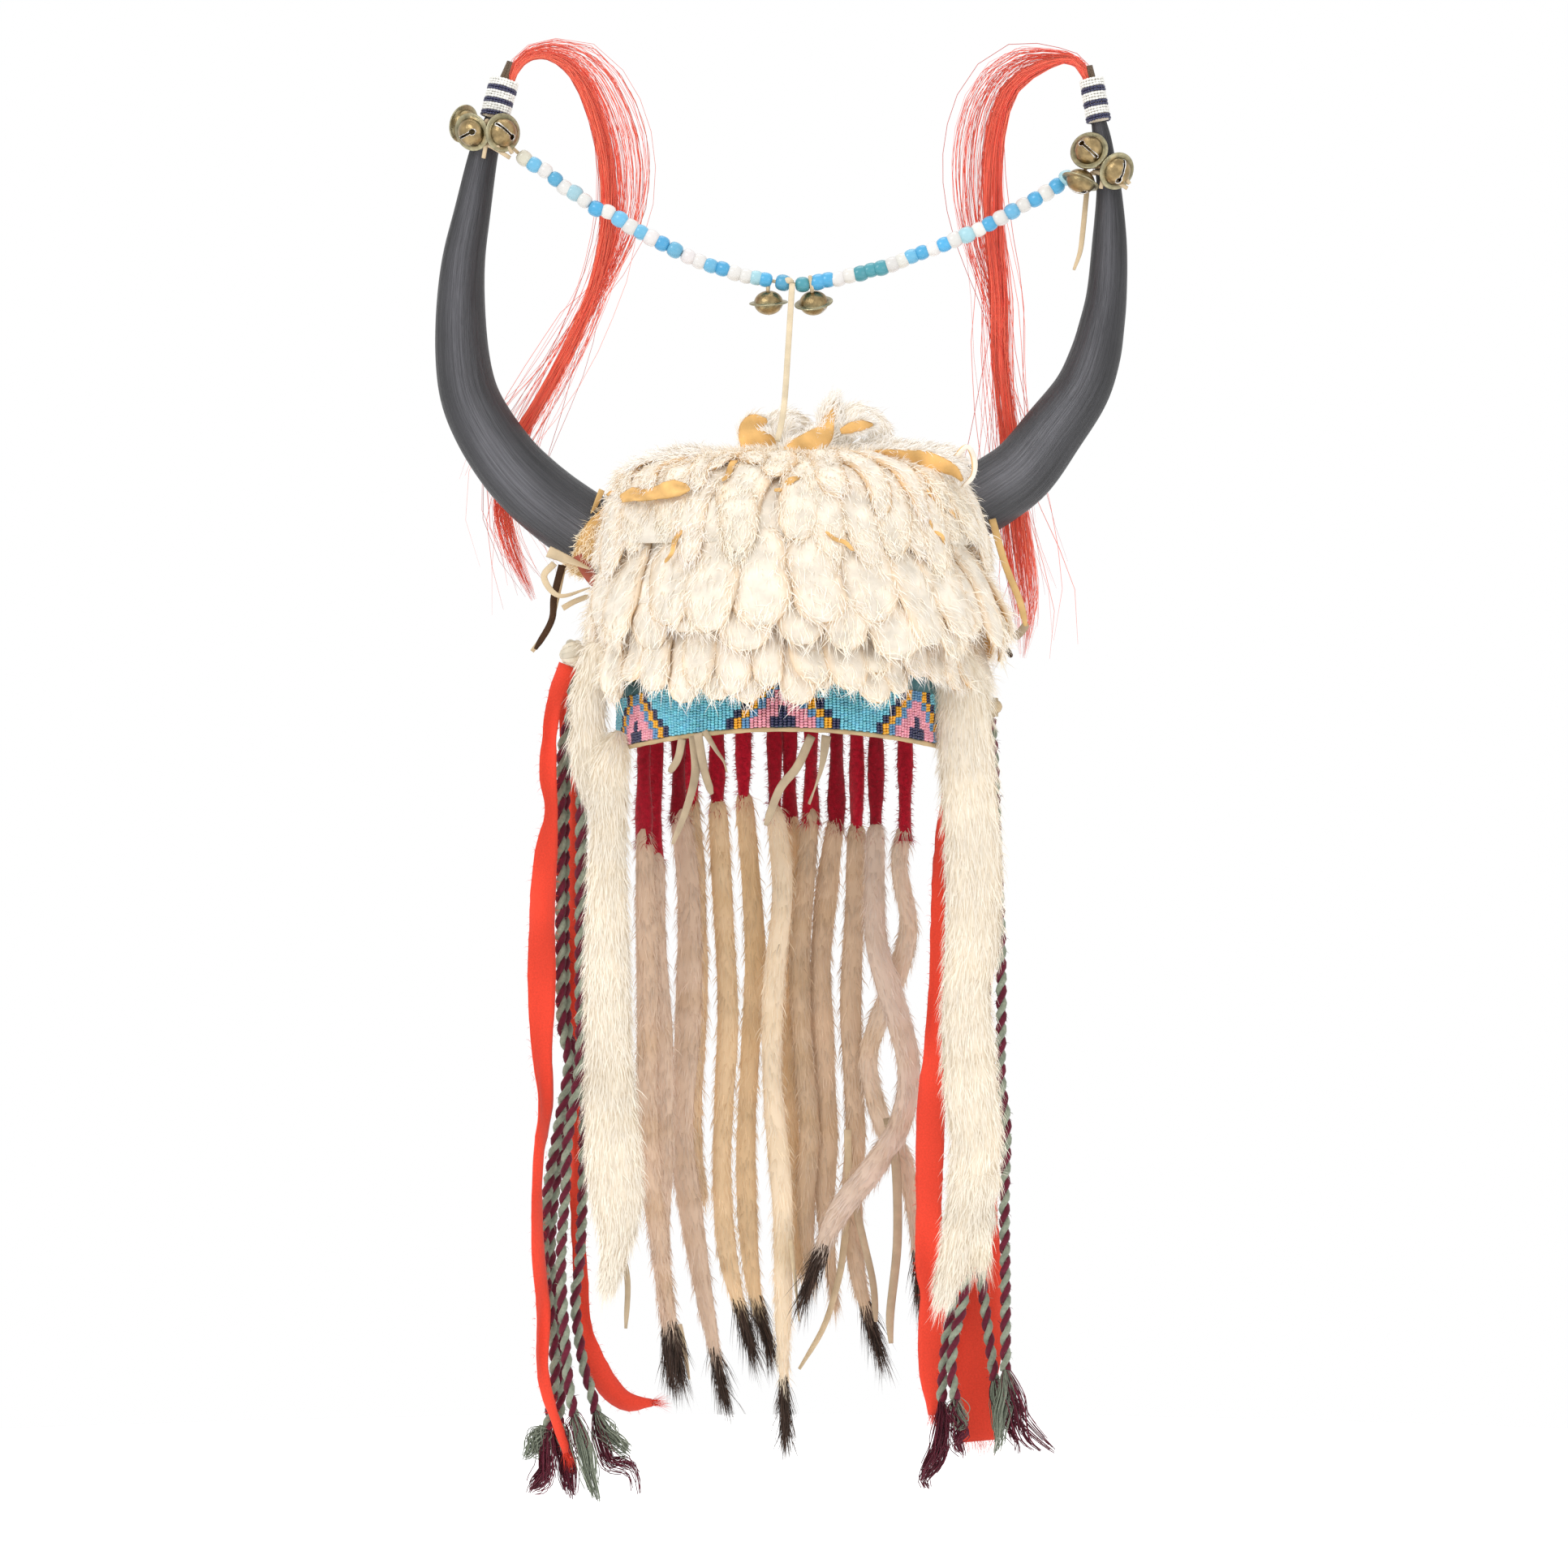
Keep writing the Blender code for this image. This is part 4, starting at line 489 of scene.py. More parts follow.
def rings(lines, widths, thicks, sides, out=(0.0, -1.0, 0.0), turn=0.0, square=1.0):
    """Rings of an oval tube along each line. Across lies at right angles to the line and to out, and a
    ring's point at angle a is the line's point plus across times half the width times cos a plus out times
    half the thickness times sin a, each raised to the power square. lines is (copies, count, 3), the sizes
    (copies, count) or a number."""
    lines = np.asarray(lines, float)
    along = unit(np.gradient(lines, axis=1))
    out = np.broadcast_to(np.asarray(out, float), lines.shape)
    out = unit(out - along * (out * along).sum(-1, keepdims=True))
    across = np.cross(out, along)
    turn = np.broadcast_to(turn, lines.shape[:2])[..., None]
    across, out = across * np.cos(turn) + out * np.sin(turn), out * np.cos(turn) - across * np.sin(turn)
    angles = np.arange(sides) * 2 * np.pi / sides
    c, s = np.cos(angles), np.sin(angles)
    c, s = np.sign(c) * np.abs(c) ** square, np.sign(s) * np.abs(s) ** square
    widths = np.broadcast_to(widths, lines.shape[:2])[..., None, None] / 2
    thicks = np.broadcast_to(thicks, lines.shape[:2])[..., None, None] / 2
    return (lines[:, :, None] + across[:, :, None] * c[:, None] * widths
            + out[:, :, None] * s[:, None] * thicks)


def tube(sheaf, lines, widths, thicks, sides, tint, out=(0.0, -1.0, 0.0), turn=0.0, square=1.0, slot=0):
    """Adds closed oval tubes along the lines and returns their rings. Its UV is metres along and the share
    around."""
    lines = np.asarray(lines, float)
    if lines.ndim == 2:
        lines = lines[None]
    grid = rings(lines, widths, thicks, sides, out, turn, square)
    copies, count = lines.shape[:2]
    metres = np.concatenate([np.zeros((copies, 1)),
                             np.cumsum(np.linalg.norm(np.diff(lines, axis=1), axis=2), axis=1)], 1)
    uv = np.stack(np.broadcast_arrays(metres[:, :, None], (np.arange(sides) / sides)[None, None]), axis=-1)
    tint = np.asarray(tint, float)
    if tint.ndim == 2:
        tint = tint[:, None, None]
    sheaf.add(grid, closed(count, sides, copies), tint, uv, slot)
    return grid


def blades(sheaf, roots, ways, tips, lengths, widths, root_tint, tip_tint, rng, faces=None):
    """Adds hairs: each is a flat blade that tapers from its root over a bent middle to a point, three
    triangles long. The middle lies half the length along its way, the point a further half along its tip
    way. Its flat side looks roughly along faces."""
    faces = rng.normal(size=ways.shape) if faces is None else faces + rng.normal(0, 0.18, ways.shape)
    side = unit(np.cross(faces, ways)) * (widths / 2)[:, None]
    middle = roots + ways * (lengths * 0.5)[:, None]
    point = middle + tips * (lengths * 0.5)[:, None]
    points = np.stack([roots - side, roots + side, middle - side * 0.75, middle + side * 0.75, point], axis=1)
    tints = np.stack([root_tint, root_tint, (root_tint + tip_tint) / 2, (root_tint + tip_tint) / 2,
                      tip_tint], axis=1)
    first = (np.arange(len(roots)) * 5)[:, None]
    sheaf.add(points, [first + np.array([[0, 1, 3, 2]]), first + np.array([[2, 3, 4]])], tints)


def patches(points, scale, seed):
    """A smooth pattern from 0 to 1 over points: four slanted sine waves about scale metres long, added up."""
    rng = np.random.default_rng(seed)
    total = 0
    for _ in range(4):
        way = rng.normal(size=3)
        way /= np.linalg.norm(way)
        total = total + np.sin(points @ way * 2 * np.pi / scale * rng.uniform(0.7, 1.4) + rng.uniform(0, 6))
    return np.clip(0.5 + total / 5, 0, 1)


def coat(sheaf, grid, count, length, width, lift, root_tint, tip_tint, rng, around=(0.0, 1.0),
         rows=(0.0, 1.0), spread=0.22, fall=0.15, shade=0.05):
    """Covers a tube's rings with hairs. Each root is a random place on the grid, and its way leans from the
    run of the tube towards the outward normal by lift radians, with some scatter and a fall towards the
    ground."""
    n, k = grid.shape[:2]
    u = rng.uniform(rows[0] * (n - 1), rows[1] * (n - 1) - 1e-6, count)
    v = rng.uniform(around[0] * k, around[1] * k, count)
    i, j = np.floor(u).astype(int), np.floor(v).astype(int)
    fu, fv = (u - i)[:, None], (v - j)[:, None]
    j, m = j % k, (j + 1) % k
    i = np.clip(i, 0, n - 2)
    near = grid[i, j] * (1 - fv) + grid[i, m] * fv
    far = grid[i + 1, j] * (1 - fv) + grid[i + 1, m] * fv
    roots = near * (1 - fu) + far * fu
    run = unit(far - near)
    normal = unit(np.cross(grid[i, m] - grid[i, j] + (grid[i + 1, m] - grid[i + 1, j]), run))
    lift = lift * rng.uniform(0.6, 1.4, count)[:, None]
    scatter = rng.normal(size=(count, 3)) * spread
    ways = unit(run * np.cos(lift) + normal * np.sin(lift) + scatter)
    tips = unit(run * np.cos(lift * 0.5) + normal * np.sin(lift * 0.5) + scatter * 1.2
                + np.array([0, 0, -fall]))
    lengths = length * rng.uniform(0.6, 1.25, count)
    bright = rng.normal(1.0, shade, count)[:, None]
    tint_a = np.asarray(root_tint(roots, u / (n - 1)) if callable(root_tint) else root_tint) * bright
    tint_b = np.asarray(tip_tint(roots, u / (n - 1)) if callable(tip_tint) else tip_tint) * bright
    tint_a, tint_b = np.broadcast_to(tint_a, roots.shape), np.broadcast_to(tint_b, roots.shape)
    blades(sheaf, roots, ways, tips, lengths, width * rng.uniform(0.7, 1.3, count), tint_a, tint_b, rng,
           normal)


def noise_of(nodes, links, place, scale, detail):
    """Noise at a place, about 1 / scale metres long."""
    noise = nodes.new("ShaderNodeTexNoise")
    noise.inputs["Scale"].default_value = scale
    noise.inputs["Detail"].default_value = detail
    links.new(place, noise.inputs["Vector"])
    return noise.outputs["Fac"]


def bump_of(nodes, links, noise, height, shader):
    """Roughens the shader's surface by the noise, to a height in metres."""
    bump = nodes.new("ShaderNodeBump")
    bump.inputs["Distance"].default_value = height
    links.new(noise, bump.inputs["Height"])
    links.new(bump.outputs["Normal"], shader.inputs["Normal"])


def finish_of(name, roughness, metallic=0.0, specular=0.5, coat_weight=0.0, sheen=0.0, mottle=(0, 0.9, 1.1),
              grain=(0, 0.0), stretch=(1, 1, 1), on_uv=False, painted_glow=0.0):
    """A material whose colour is the piece's tint, mottled by noise of scale mottle[0] between two factors,
    with a bump of noise of scale grain[0] and height grain[1] in metres. With painted_glow it also glows
    in that colour: painted light."""
    material = bpy.data.materials.get(name)
    if material:
        return material
    material = bpy.data.materials.new(name)
    material.use_nodes = True
    nodes, links = material.node_tree.nodes, material.node_tree.links
    shader = nodes["Principled BSDF"]
    for socket, value in (("Roughness", roughness), ("Metallic", metallic), ("Specular IOR Level", specular),
                          ("Coat Weight", coat_weight), ("Coat Roughness", 0.1), ("Sheen Weight", sheen),
                          ("Sheen Roughness", 0.5), ("Emission Strength", painted_glow)):
        shader.inputs[socket].default_value = value
    tint = nodes.new("ShaderNodeAttribute")
    tint.attribute_name = "tint"
    colour = tint.outputs["Color"]
    place = nodes.new("ShaderNodeTexCoord").outputs["UV" if on_uv else "Object"]
    mapping = nodes.new("ShaderNodeMapping")
    mapping.inputs["Scale"].default_value = stretch
    links.new(place, mapping.inputs["Vector"])
    place = mapping.outputs["Vector"]
    if mottle[0]:
        noise = noise_of(nodes, links, place, mottle[0], 4)
        span = nodes.new("ShaderNodeMapRange")
        for socket, value in (("From Min", 0.3), ("From Max", 0.7), ("To Min", mottle[1]),
                              ("To Max", mottle[2])):
            span.inputs[socket].default_value = value
        links.new(noise, span.inputs["Value"])
        mix = nodes.new("ShaderNodeVectorMath")
        mix.operation = "SCALE"
        links.new(colour, mix.inputs[0])
        links.new(span.outputs["Result"], mix.inputs["Scale"])
        colour = mix.outputs["Vector"]
    links.new(colour, shader.inputs["Base Color"])
    if painted_glow:
        links.new(colour, shader.inputs["Emission Color"])
    if grain[0]:
        bump_of(nodes, links, noise_of(nodes, links, place, grain[0], 3), grain[1], shader)
    return material


def fur_finish():
    # The fur glows in its own tint (emission 0.14): painted light that stands for light scattered among the
    # white hairs.
    return finish_of("ermine_fur", 0.85, specular=0.12, sheen=0.12, painted_glow=0.14)


def hide_finish():
    return finish_of("tanned_hide", 0.85, specular=0.2, mottle=(90, 0.82, 1.12), grain=(1400, 0.00025))


def fur_colours():
    """The root, tip and bare skin colours of the white fur."""
    looks = bpy.context.scene.headdress_fur
    return np.array(looks.root_colour), np.array(looks.tip_colour), np.array(looks.skin_colour)


def settle(obj, *nodes):
    """Rides the piece on the object's one body, in place of the solids that it stands for."""
    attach(obj, "root")
    if nodes:
        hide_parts(*nodes)
    return obj


def beads(sheaf, places, holes, outs, radius, half, tints, sides=7):
    """Adds small round beads: a profile of three rings turned about the hole's direction at each place."""
    holes = unit(np.broadcast_to(holes, places.shape))
    outs = np.broadcast_to(outs, places.shape)
    outs = unit(outs - holes * (outs * holes).sum(-1, keepdims=True))
    across = np.cross(outs, holes)
    angles = np.arange(sides) * 2 * np.pi / sides
    profile = np.array([(0.62, -1.0), (1.0, 0.0), (0.62, 1.0)])
    round_it = (across[:, None] * np.cos(angles)[:, None] + outs[:, None] * np.sin(angles)[:, None]) * radius
    grid = (places[:, None, None] + round_it[:, None] * profile[:, 0][:, None, None]
            + holes[:, None, None] * (profile[:, 1] * half)[:, None, None])
    sheaf.add(grid, closed(3, sides, len(places)), np.broadcast_to(tints[:, None, None], grid.shape))


# Outer surface of the fur: share of the way down from the apex, then height, half width and half depth
CROWN_FORM = ((0.0, 0.007, 0.000, 0.000), (0.2, 0.0065, 0.035, 0.030), (0.45, 0.005, 0.080, 0.063),
              (0.6, -0.003, 0.097, 0.086), (0.8, -0.021, 0.105, 0.104), (1.0, -0.048, 0.112, 0.120),
              (1.15, -0.068, 0.116, 0.126))
MIDDLE_FORM = ((0.0, -0.028, 0.092, 0.102), (0.3, -0.046, 0.100, 0.112), (0.6, -0.066, 0.110, 0.123),
               (0.85, -0.086, 0.117, 0.131), (1.0, -0.099, 0.117, 0.131), (1.2, -0.114, 0.114, 0.129))
LOWER_FORM = ((0.0, -0.066, 0.096, 0.108), (0.35, -0.086, 0.101, 0.114), (0.7, -0.112, 0.109, 0.122),
              (1.0, -0.130, 0.112, 0.126), (1.2, -0.139, 0.113, 0.127))
# Bare places of the hide: across and up in metres, length and width in metres, slant in degrees
BARE_PLACES = (
    (-0.068, -0.0175, 0.036, 0.015, 3), (-0.088, -0.009, 0.020, 0.006, 35),
    (-0.0285, -0.004, 0.016, 0.0045, 60), (0.0025, -0.0125, 0.017, 0.005, 35),
    (0.087, -0.022, 0.023, 0.0045, -40), (0.0835, -0.038, 0.017, 0.0035, -55),
    (0.067, -0.080, 0.026, 0.0035, -72), (0.114, -0.079, 0.022, 0.010, -68),
    (0.085, -0.060, 0.014, 0.007, -60), (-0.060, -0.046, 0.020, 0.004, 65),
    (0.030, -0.044, 0.018, 0.0035, -30),
)


# Strips of the topknot: the way its furred side looks, then across, up, back and width of each place, in
# millimetres
TOPKNOT_STRIPS = (
    ((0.1, 1.0, 0.1), (
        (-6, 4, -34, 15), (-13, 12, -37, 20), (-18, 20, -37, 20), (-17, 27, -33, 15), (-11, 30, -28, 9),
    )),
    ((0.0, -0.8, 1.0), (
        (-14, 8, -22, 22), (-9, 22, -26, 24), (-1, 31, -24, 22), (8, 28, -20, 18), (12, 16, -18, 12),
    )),
    ((0.3, 1.0, 0.5), (
        (3, 2, -46, 18), (9, 8, -49, 22), (15, 15, -47, 18), (22, 22, -42, 12), (25, 31, -38, 9),
        (29, 40, -35, 6),
    )),
    ((0.4, -1.0, 0.2), (
        (22, 8, -34, 16), (25, 22, -37, 17), (27, 35, -36, 13), (29, 44, -33, 8),
    )),
    ((0.0, -0.9, 0.7), (
        (31, 14, -30, 13), (34, 27, -34, 15), (43, 34, -34, 16), (52, 28, -31, 14), (54, 17, -33, 13),
        (45, 12, -40, 11),
    )),
    ((0.0, 1.0, 0.2), (
        (32, 23, -44, 4), (41, 26, -46, 7), (50, 27, -44, 4),
    )),
    ((0.1, -0.5, 1.0), (
        (38, 13, -36, 14), (60, 14, -43, 17), (82, 12, -45, 16), (98, 8, -43, 12), (103, 0, -40, 7),
    )),
    ((0.0, 1.0, 0.6), (
        (41, 8, -44, 8), (60, 8, -51, 11), (80, 6, -54, 12), (95, 1, -53, 10), (101, -5, -50, 5),
    )),
    ((0.6, -1.0, 0.0), (
        (97, 8, -49, 3), (104, 14, -50, 3), (108, 6, -50, 3.5), (107, -3, -50, 3), (101, -9, -50, 3),
    )),
    ((0.1, -0.3, 1.0), (
        (-30, 9, -44, 13), (-52, 11, -46, 16), (-74, 8, -44, 15), (-88, 2, -40, 10),
    )),
)


def on_form(form, s, theta, proud=0.0, lean=0.0):
    """A point of a fur surface: the form's height and half axes at share s of the way down, turned by
    theta, pushed proud metres outwards, and its outward normal."""
    form = np.array(form)
    z, wide, deep = (np.interp(s, form[:, 0], form[:, k]) for k in (1, 2, 3))
    ahead = s + 0.02
    z2, wide2, deep2 = (np.interp(ahead, form[:, 0], form[:, k]) for k in (1, 2, 3))
    shift = lean * np.clip(s, 0, 1)
    point = np.stack([wide * np.cos(theta) + shift, deep * np.sin(theta), z], axis=-1)
    down = np.stack([wide2 * np.cos(theta), deep2 * np.sin(theta), z2], axis=-1)
    down = unit(down - np.stack([wide * np.cos(theta), deep * np.sin(theta), z], axis=-1))
    around = np.stack([-wide * np.sin(theta) - 1e-4 * np.sin(theta), deep * np.cos(theta)
                       + 1e-4 * np.cos(theta), 0 * theta], axis=-1)
    normal = unit(np.cross(unit(around), -down))
    outward = point * (1, 1, 0.2) + np.array([0, 0, 0.03])
    normal = np.where((normal * outward).sum(-1, keepdims=True) < 0, -normal, normal)
    return point + normal * np.broadcast_to(proud, s.shape)[..., None], normal


def fur_strip(sheaf, form, start, end, width, proud, rng, hairs, length=0.0065, lean=0.0, skin=0.5,
              thick=0.0045, sway=0.05, flick=0.0):
    """One strip of furred hide that follows the form from start to end, each a share down and an angle. Its
    section is a flat oval, its outer half white and its edges and back bare skin, and its hair runs down
    it."""
    cream, snow, bare = fur_colours()
    t = np.linspace(0, 1, 16)
    s = start[0] + (end[0] - start[0]) * t
    wave = np.sin(t * rng.uniform(3, 6) + rng.uniform(0, 6)) * sway * t * (1 - 0.4 * t)
    theta = start[1] + (end[1] - start[1]) * np.minimum(1, t * 1.6) ** 0.8 + wave
    lift = proud + flick * np.clip(t - 0.7, 0, 1) ** 2 * 10 + 0.0012 * np.sin(t * 7 + rng.uniform(0, 6)) * t
    points, normals = on_form(form, s, theta, lift, lean)
    shape = np.interp(t, (0, 0.12, 0.35, 0.8, 0.94, 1.0), (0.35, 0.7, 1.0, 0.98, 0.78, 0.35))
    wide = width * shape * (1 + 0.08 * np.sin(t * 9 + rng.uniform(0, 6)))
    grid = rings(points[None], wide[None], thick * np.interp(t, (0, 0.1, 0.9, 1), (0.5, 1, 1, 0.5))[None], 12,
                 normals[None], rng.normal(0, 0.10), 0.8)[0]
    angles = np.arange(12) * 2 * np.pi / 12
    edge = np.clip(np.abs(np.cos(angles)) * 1.6 - 0.72, 0, 1) * skin
    edge = np.where(np.sin(angles) < -0.3, 1.0, edge)[None, :, None]
    base = cream * (1 - edge) + bare * edge * rng.uniform(0.8, 1.15)
    uv = np.stack(np.broadcast_arrays(np.linspace(0, 0.1, 16)[:, None], (np.arange(12) / 12)[None]), axis=-1)
    sheaf.add(grid, closed(16, 12), base, uv, 1)
    white = snow * rng.uniform(0.94, 1.04) * np.array([1, rng.uniform(0.97, 1.0), rng.uniform(0.92, 1)])
    root = cream * (1.0, 0.97, 0.90)
    hairs = hairs * 0.49 * bpy.context.scene.headdress_fur.fullness
    coat(sheaf, grid, int(hairs * 0.72), length, 0.00064, 0.62, root, white, rng, (0.05, 0.45), spread=0.26)
    for side in ((-0.02, 0.08), (0.42, 0.52)):
        coat(sheaf, grid, int(hairs * 0.08), length * 0.75, 0.00050, 0.7, root, white, rng, side, spread=0.3)
    coat(sheaf, grid, int(hairs * 0.24), length * 1.35, 0.00048, 0.3, root, white, rng, (-0.05, 0.55),
         rows=(0.80, 1.0), spread=0.3)


def lining(sheaf, form, low, rng, hairs):
    """A thin shell under the strips, from the form's top down to share low, with hair over it, so that no
    gap between strips shows what is inside. Its section is the form 0.5 to 2 mm inwards, turned once
    round."""
    cream, snow, _ = fur_colours()
    s = np.linspace(0.02, low, 12)[:, None] * np.ones((1, 48))
    theta = np.linspace(0, 2 * np.pi, 49)[None, :-1] * np.ones((12, 1))
    outer, inner = on_form(form, s, theta, -0.0005)[0], on_form(form, s, theta, -0.0020)[0]
    grid = np.concatenate([outer, inner[::-1]])
    seam = np.arange(48)
    close = np.stack([23 * 48 + seam, 23 * 48 + (seam + 1) % 48, (seam + 1) % 48, seam], axis=1)
    sheaf.add(grid[:, ::-1], [net(24, 48), close], cream, None, 1)
    coat(sheaf, outer[:, ::-1], hairs, 0.0080, 0.00062, 0.5, cream, snow, rng)


def fur_crown(rng):
    """The top of the cap: two layers of strips in front, two behind, and short ones over the horns."""
    sheaf = Sheaf()
    lean = 0.004
    lining(sheaf, CROWN_FORM, 0.95, rng, 2600)
    for k in range(15):
        theta = math.radians(11 + 158 * k / 14) + rng.normal(0, 0.03)
        fur_strip(sheaf, CROWN_FORM, (0.04, theta), (rng.uniform(0.95, 1.08), theta), 0.030, 0.0, rng, 1150,
                  lean=lean)
    for k in range(17):
        theta = math.radians(-169 + 158 * k / 16) + rng.normal(0, 0.03)
        near = 0.58 + 0.04 * rng.normal()
        low = rng.uniform(0.92, 1.10)
        fur_strip(sheaf, CROWN_FORM, (0.22, -1.5 + (theta + 1.57) * near), (low, theta),
                  rng.uniform(0.021, 0.027), 0.0015, rng, 1150, lean=lean, sway=0.07)
    for theta in (0.0, math.pi):
        fur_strip(sheaf, CROWN_FORM, (0.05, theta), (0.60, theta), 0.026, 0.001, rng, 900, lean=lean)
    for k in range(13):
        theta = math.radians(-166 + 152 * (k + 0.5) / 13) + rng.normal(0, 0.06)
        low = rng.uniform(0.56, 0.90)
        fur_strip(sheaf, CROWN_FORM, (0.16, -1.5 + (theta + 1.57) * 0.5), (low, theta),
                  rng.uniform(0.014, 0.021), 0.0045, rng, 800, skin=0.8, sway=0.14, lean=lean)
    for k in range(9):
        theta = math.radians(12 + 156 * (k + 0.5) / 9) + rng.normal(0, 0.06)
        fur_strip(sheaf, CROWN_FORM, (0.05, theta), (rng.uniform(0.55, 0.8), theta), 0.024, 0.004, rng, 750,
                  skin=0.8, sway=0.10, lean=lean)
    fur_strip(sheaf, CROWN_FORM, (0.0, -1.57), (0.2, -1.56), 0.05, -0.002, rng, 300)
    for across, up, length, width, slant in BARE_PLACES:
        bare_place(sheaf, across, up, length, width, math.radians(slant), rng)
    return settle(sheaf.make("fur_crown_strips", fur_finish(), hide_finish()), "fur_crown")


def bare_place(sheaf, across, up, length, width, slant, rng):
    """A flap of bare golden hide that lies on the fur: a thin curved leaf through a place on the form's
    front."""
    bare = fur_colours()[2]
    form = CROWN_FORM if up > -0.050 else MIDDLE_FORM
    table = np.array(form)
    t = np.linspace(-0.5, 0.5, 12)
    x = across + t * length * math.cos(slant)
    z = up + t * length * math.sin(slant)
    s = np.interp(-z, -table[1:, 1], table[1:, 0])
    wide = np.interp(s, table[:, 0], table[:, 2])
    theta = -np.arccos(np.clip((x - 0.004) / wide, -1, 1))
    points, normals = on_form(form, s, theta, (0.0080 if width > 0.012 else 0.0048) + 0.001 * np.sin(t * 9),
                              0.004)
    shape = (np.interp(t, (-0.5, -0.42, 0.0, 0.4, 0.5), (0.15, 0.75, 1.0, 0.8, 0.15))
             * rng.uniform(0.9, 1.1, 12))
    normals = unit(normals + np.array([0, 0, 0.2]))
    grid = rings(points[None], (width * shape)[None], 0.0009, 10, normals[None], 0.2 * np.sin(t * 8)[None],
                 0.8)[0]
    tint = bare * (0.75 + 0.5 * patches(grid, 0.010, 6)[..., None])
    sheaf.add(grid, closed(12, 10), tint, None, 1)


def fur_tier(name, form, count, width, reach, length, hairs, lean, node, rng):
    """Two layers of furred strips, evenly round the form with some scatter, the second proud of the first."""
    sheaf = Sheaf()
    lining(sheaf, form, 0.72, rng, 1800)
    for layer in range(2):
        for k in range(count):
            theta = 2 * np.pi * (k + 0.5 * layer) / count + rng.normal(0, 0.03)
            low = rng.uniform(*reach) * (1.0 if layer == 0 else 0.93)
            fur_strip(sheaf, form, (0.12 * layer, theta), (low, theta + rng.normal(0, 0.03)),
                      width * rng.uniform(0.85, 1.12), 0.0035 * layer, rng, hairs // 2, length, lean,
                      thick=0.005, sway=0.03, flick=0.001)
    return settle(sheaf.make(name, fur_finish(), hide_finish()), node)


def topknot(rng):
    """Loose strips of furred hide that stand, fold and curl on the crown, some with their bare side out."""
    cream, snow, bare = fur_colours()
    sheaf = Sheaf()
    for way, rows in TOPKNOT_STRIPS:
        rows = np.array(rows, float) / 1000
        line = curve(np.stack([rows[:, 0], rows[:, 2], rows[:, 1], rows[:, 3]], axis=1), 22)
        t = np.linspace(0, 1, 22)
        taper = (np.interp(t, (0, 0.1, 0.85, 1), (0.8, 1, 0.9, 0.35))
                 * (1 + 0.07 * np.sin(t * 17 + rng.uniform(0, 6))))
        grid = rings(line[None, :, :3], (line[:, 3] * taper)[None], 0.0030, 14, way,
                     0.15 * np.sin(t * 9)[None], 0.7)[0]
        angles = np.arange(14) * 2 * np.pi / 14
        edge = np.where(np.sin(angles) < 0.1, 1.0, 0.0)[None, :, None]
        tan = bare * (0.85 + 0.35 * patches(grid, 0.012, 5)[..., None])
        sheaf.add(grid, closed(22, 14), cream * (1 - edge) + tan * edge, None, 1)
        if rows[:, 3].max() < 0.005:
            continue
        around = (0.0, 1.0) if way[1] <= -0.8 else (0.03, 0.47)
        count = int(1200 * min(1, rows[:, 3].max() / 0.014))
        coat(sheaf, grid, count, 0.0075, 0.00060, 0.6, cream, snow, rng, around, spread=0.28)
        for side in ((-0.03, 0.04), (0.46, 0.53)):
            coat(sheaf, grid, 180, 0.0050, 0.0005, 0.5, cream, snow, rng, side, spread=0.3)
    return settle(sheaf.make("topknot_strips", fur_finish(), hide_finish()), "topknot")


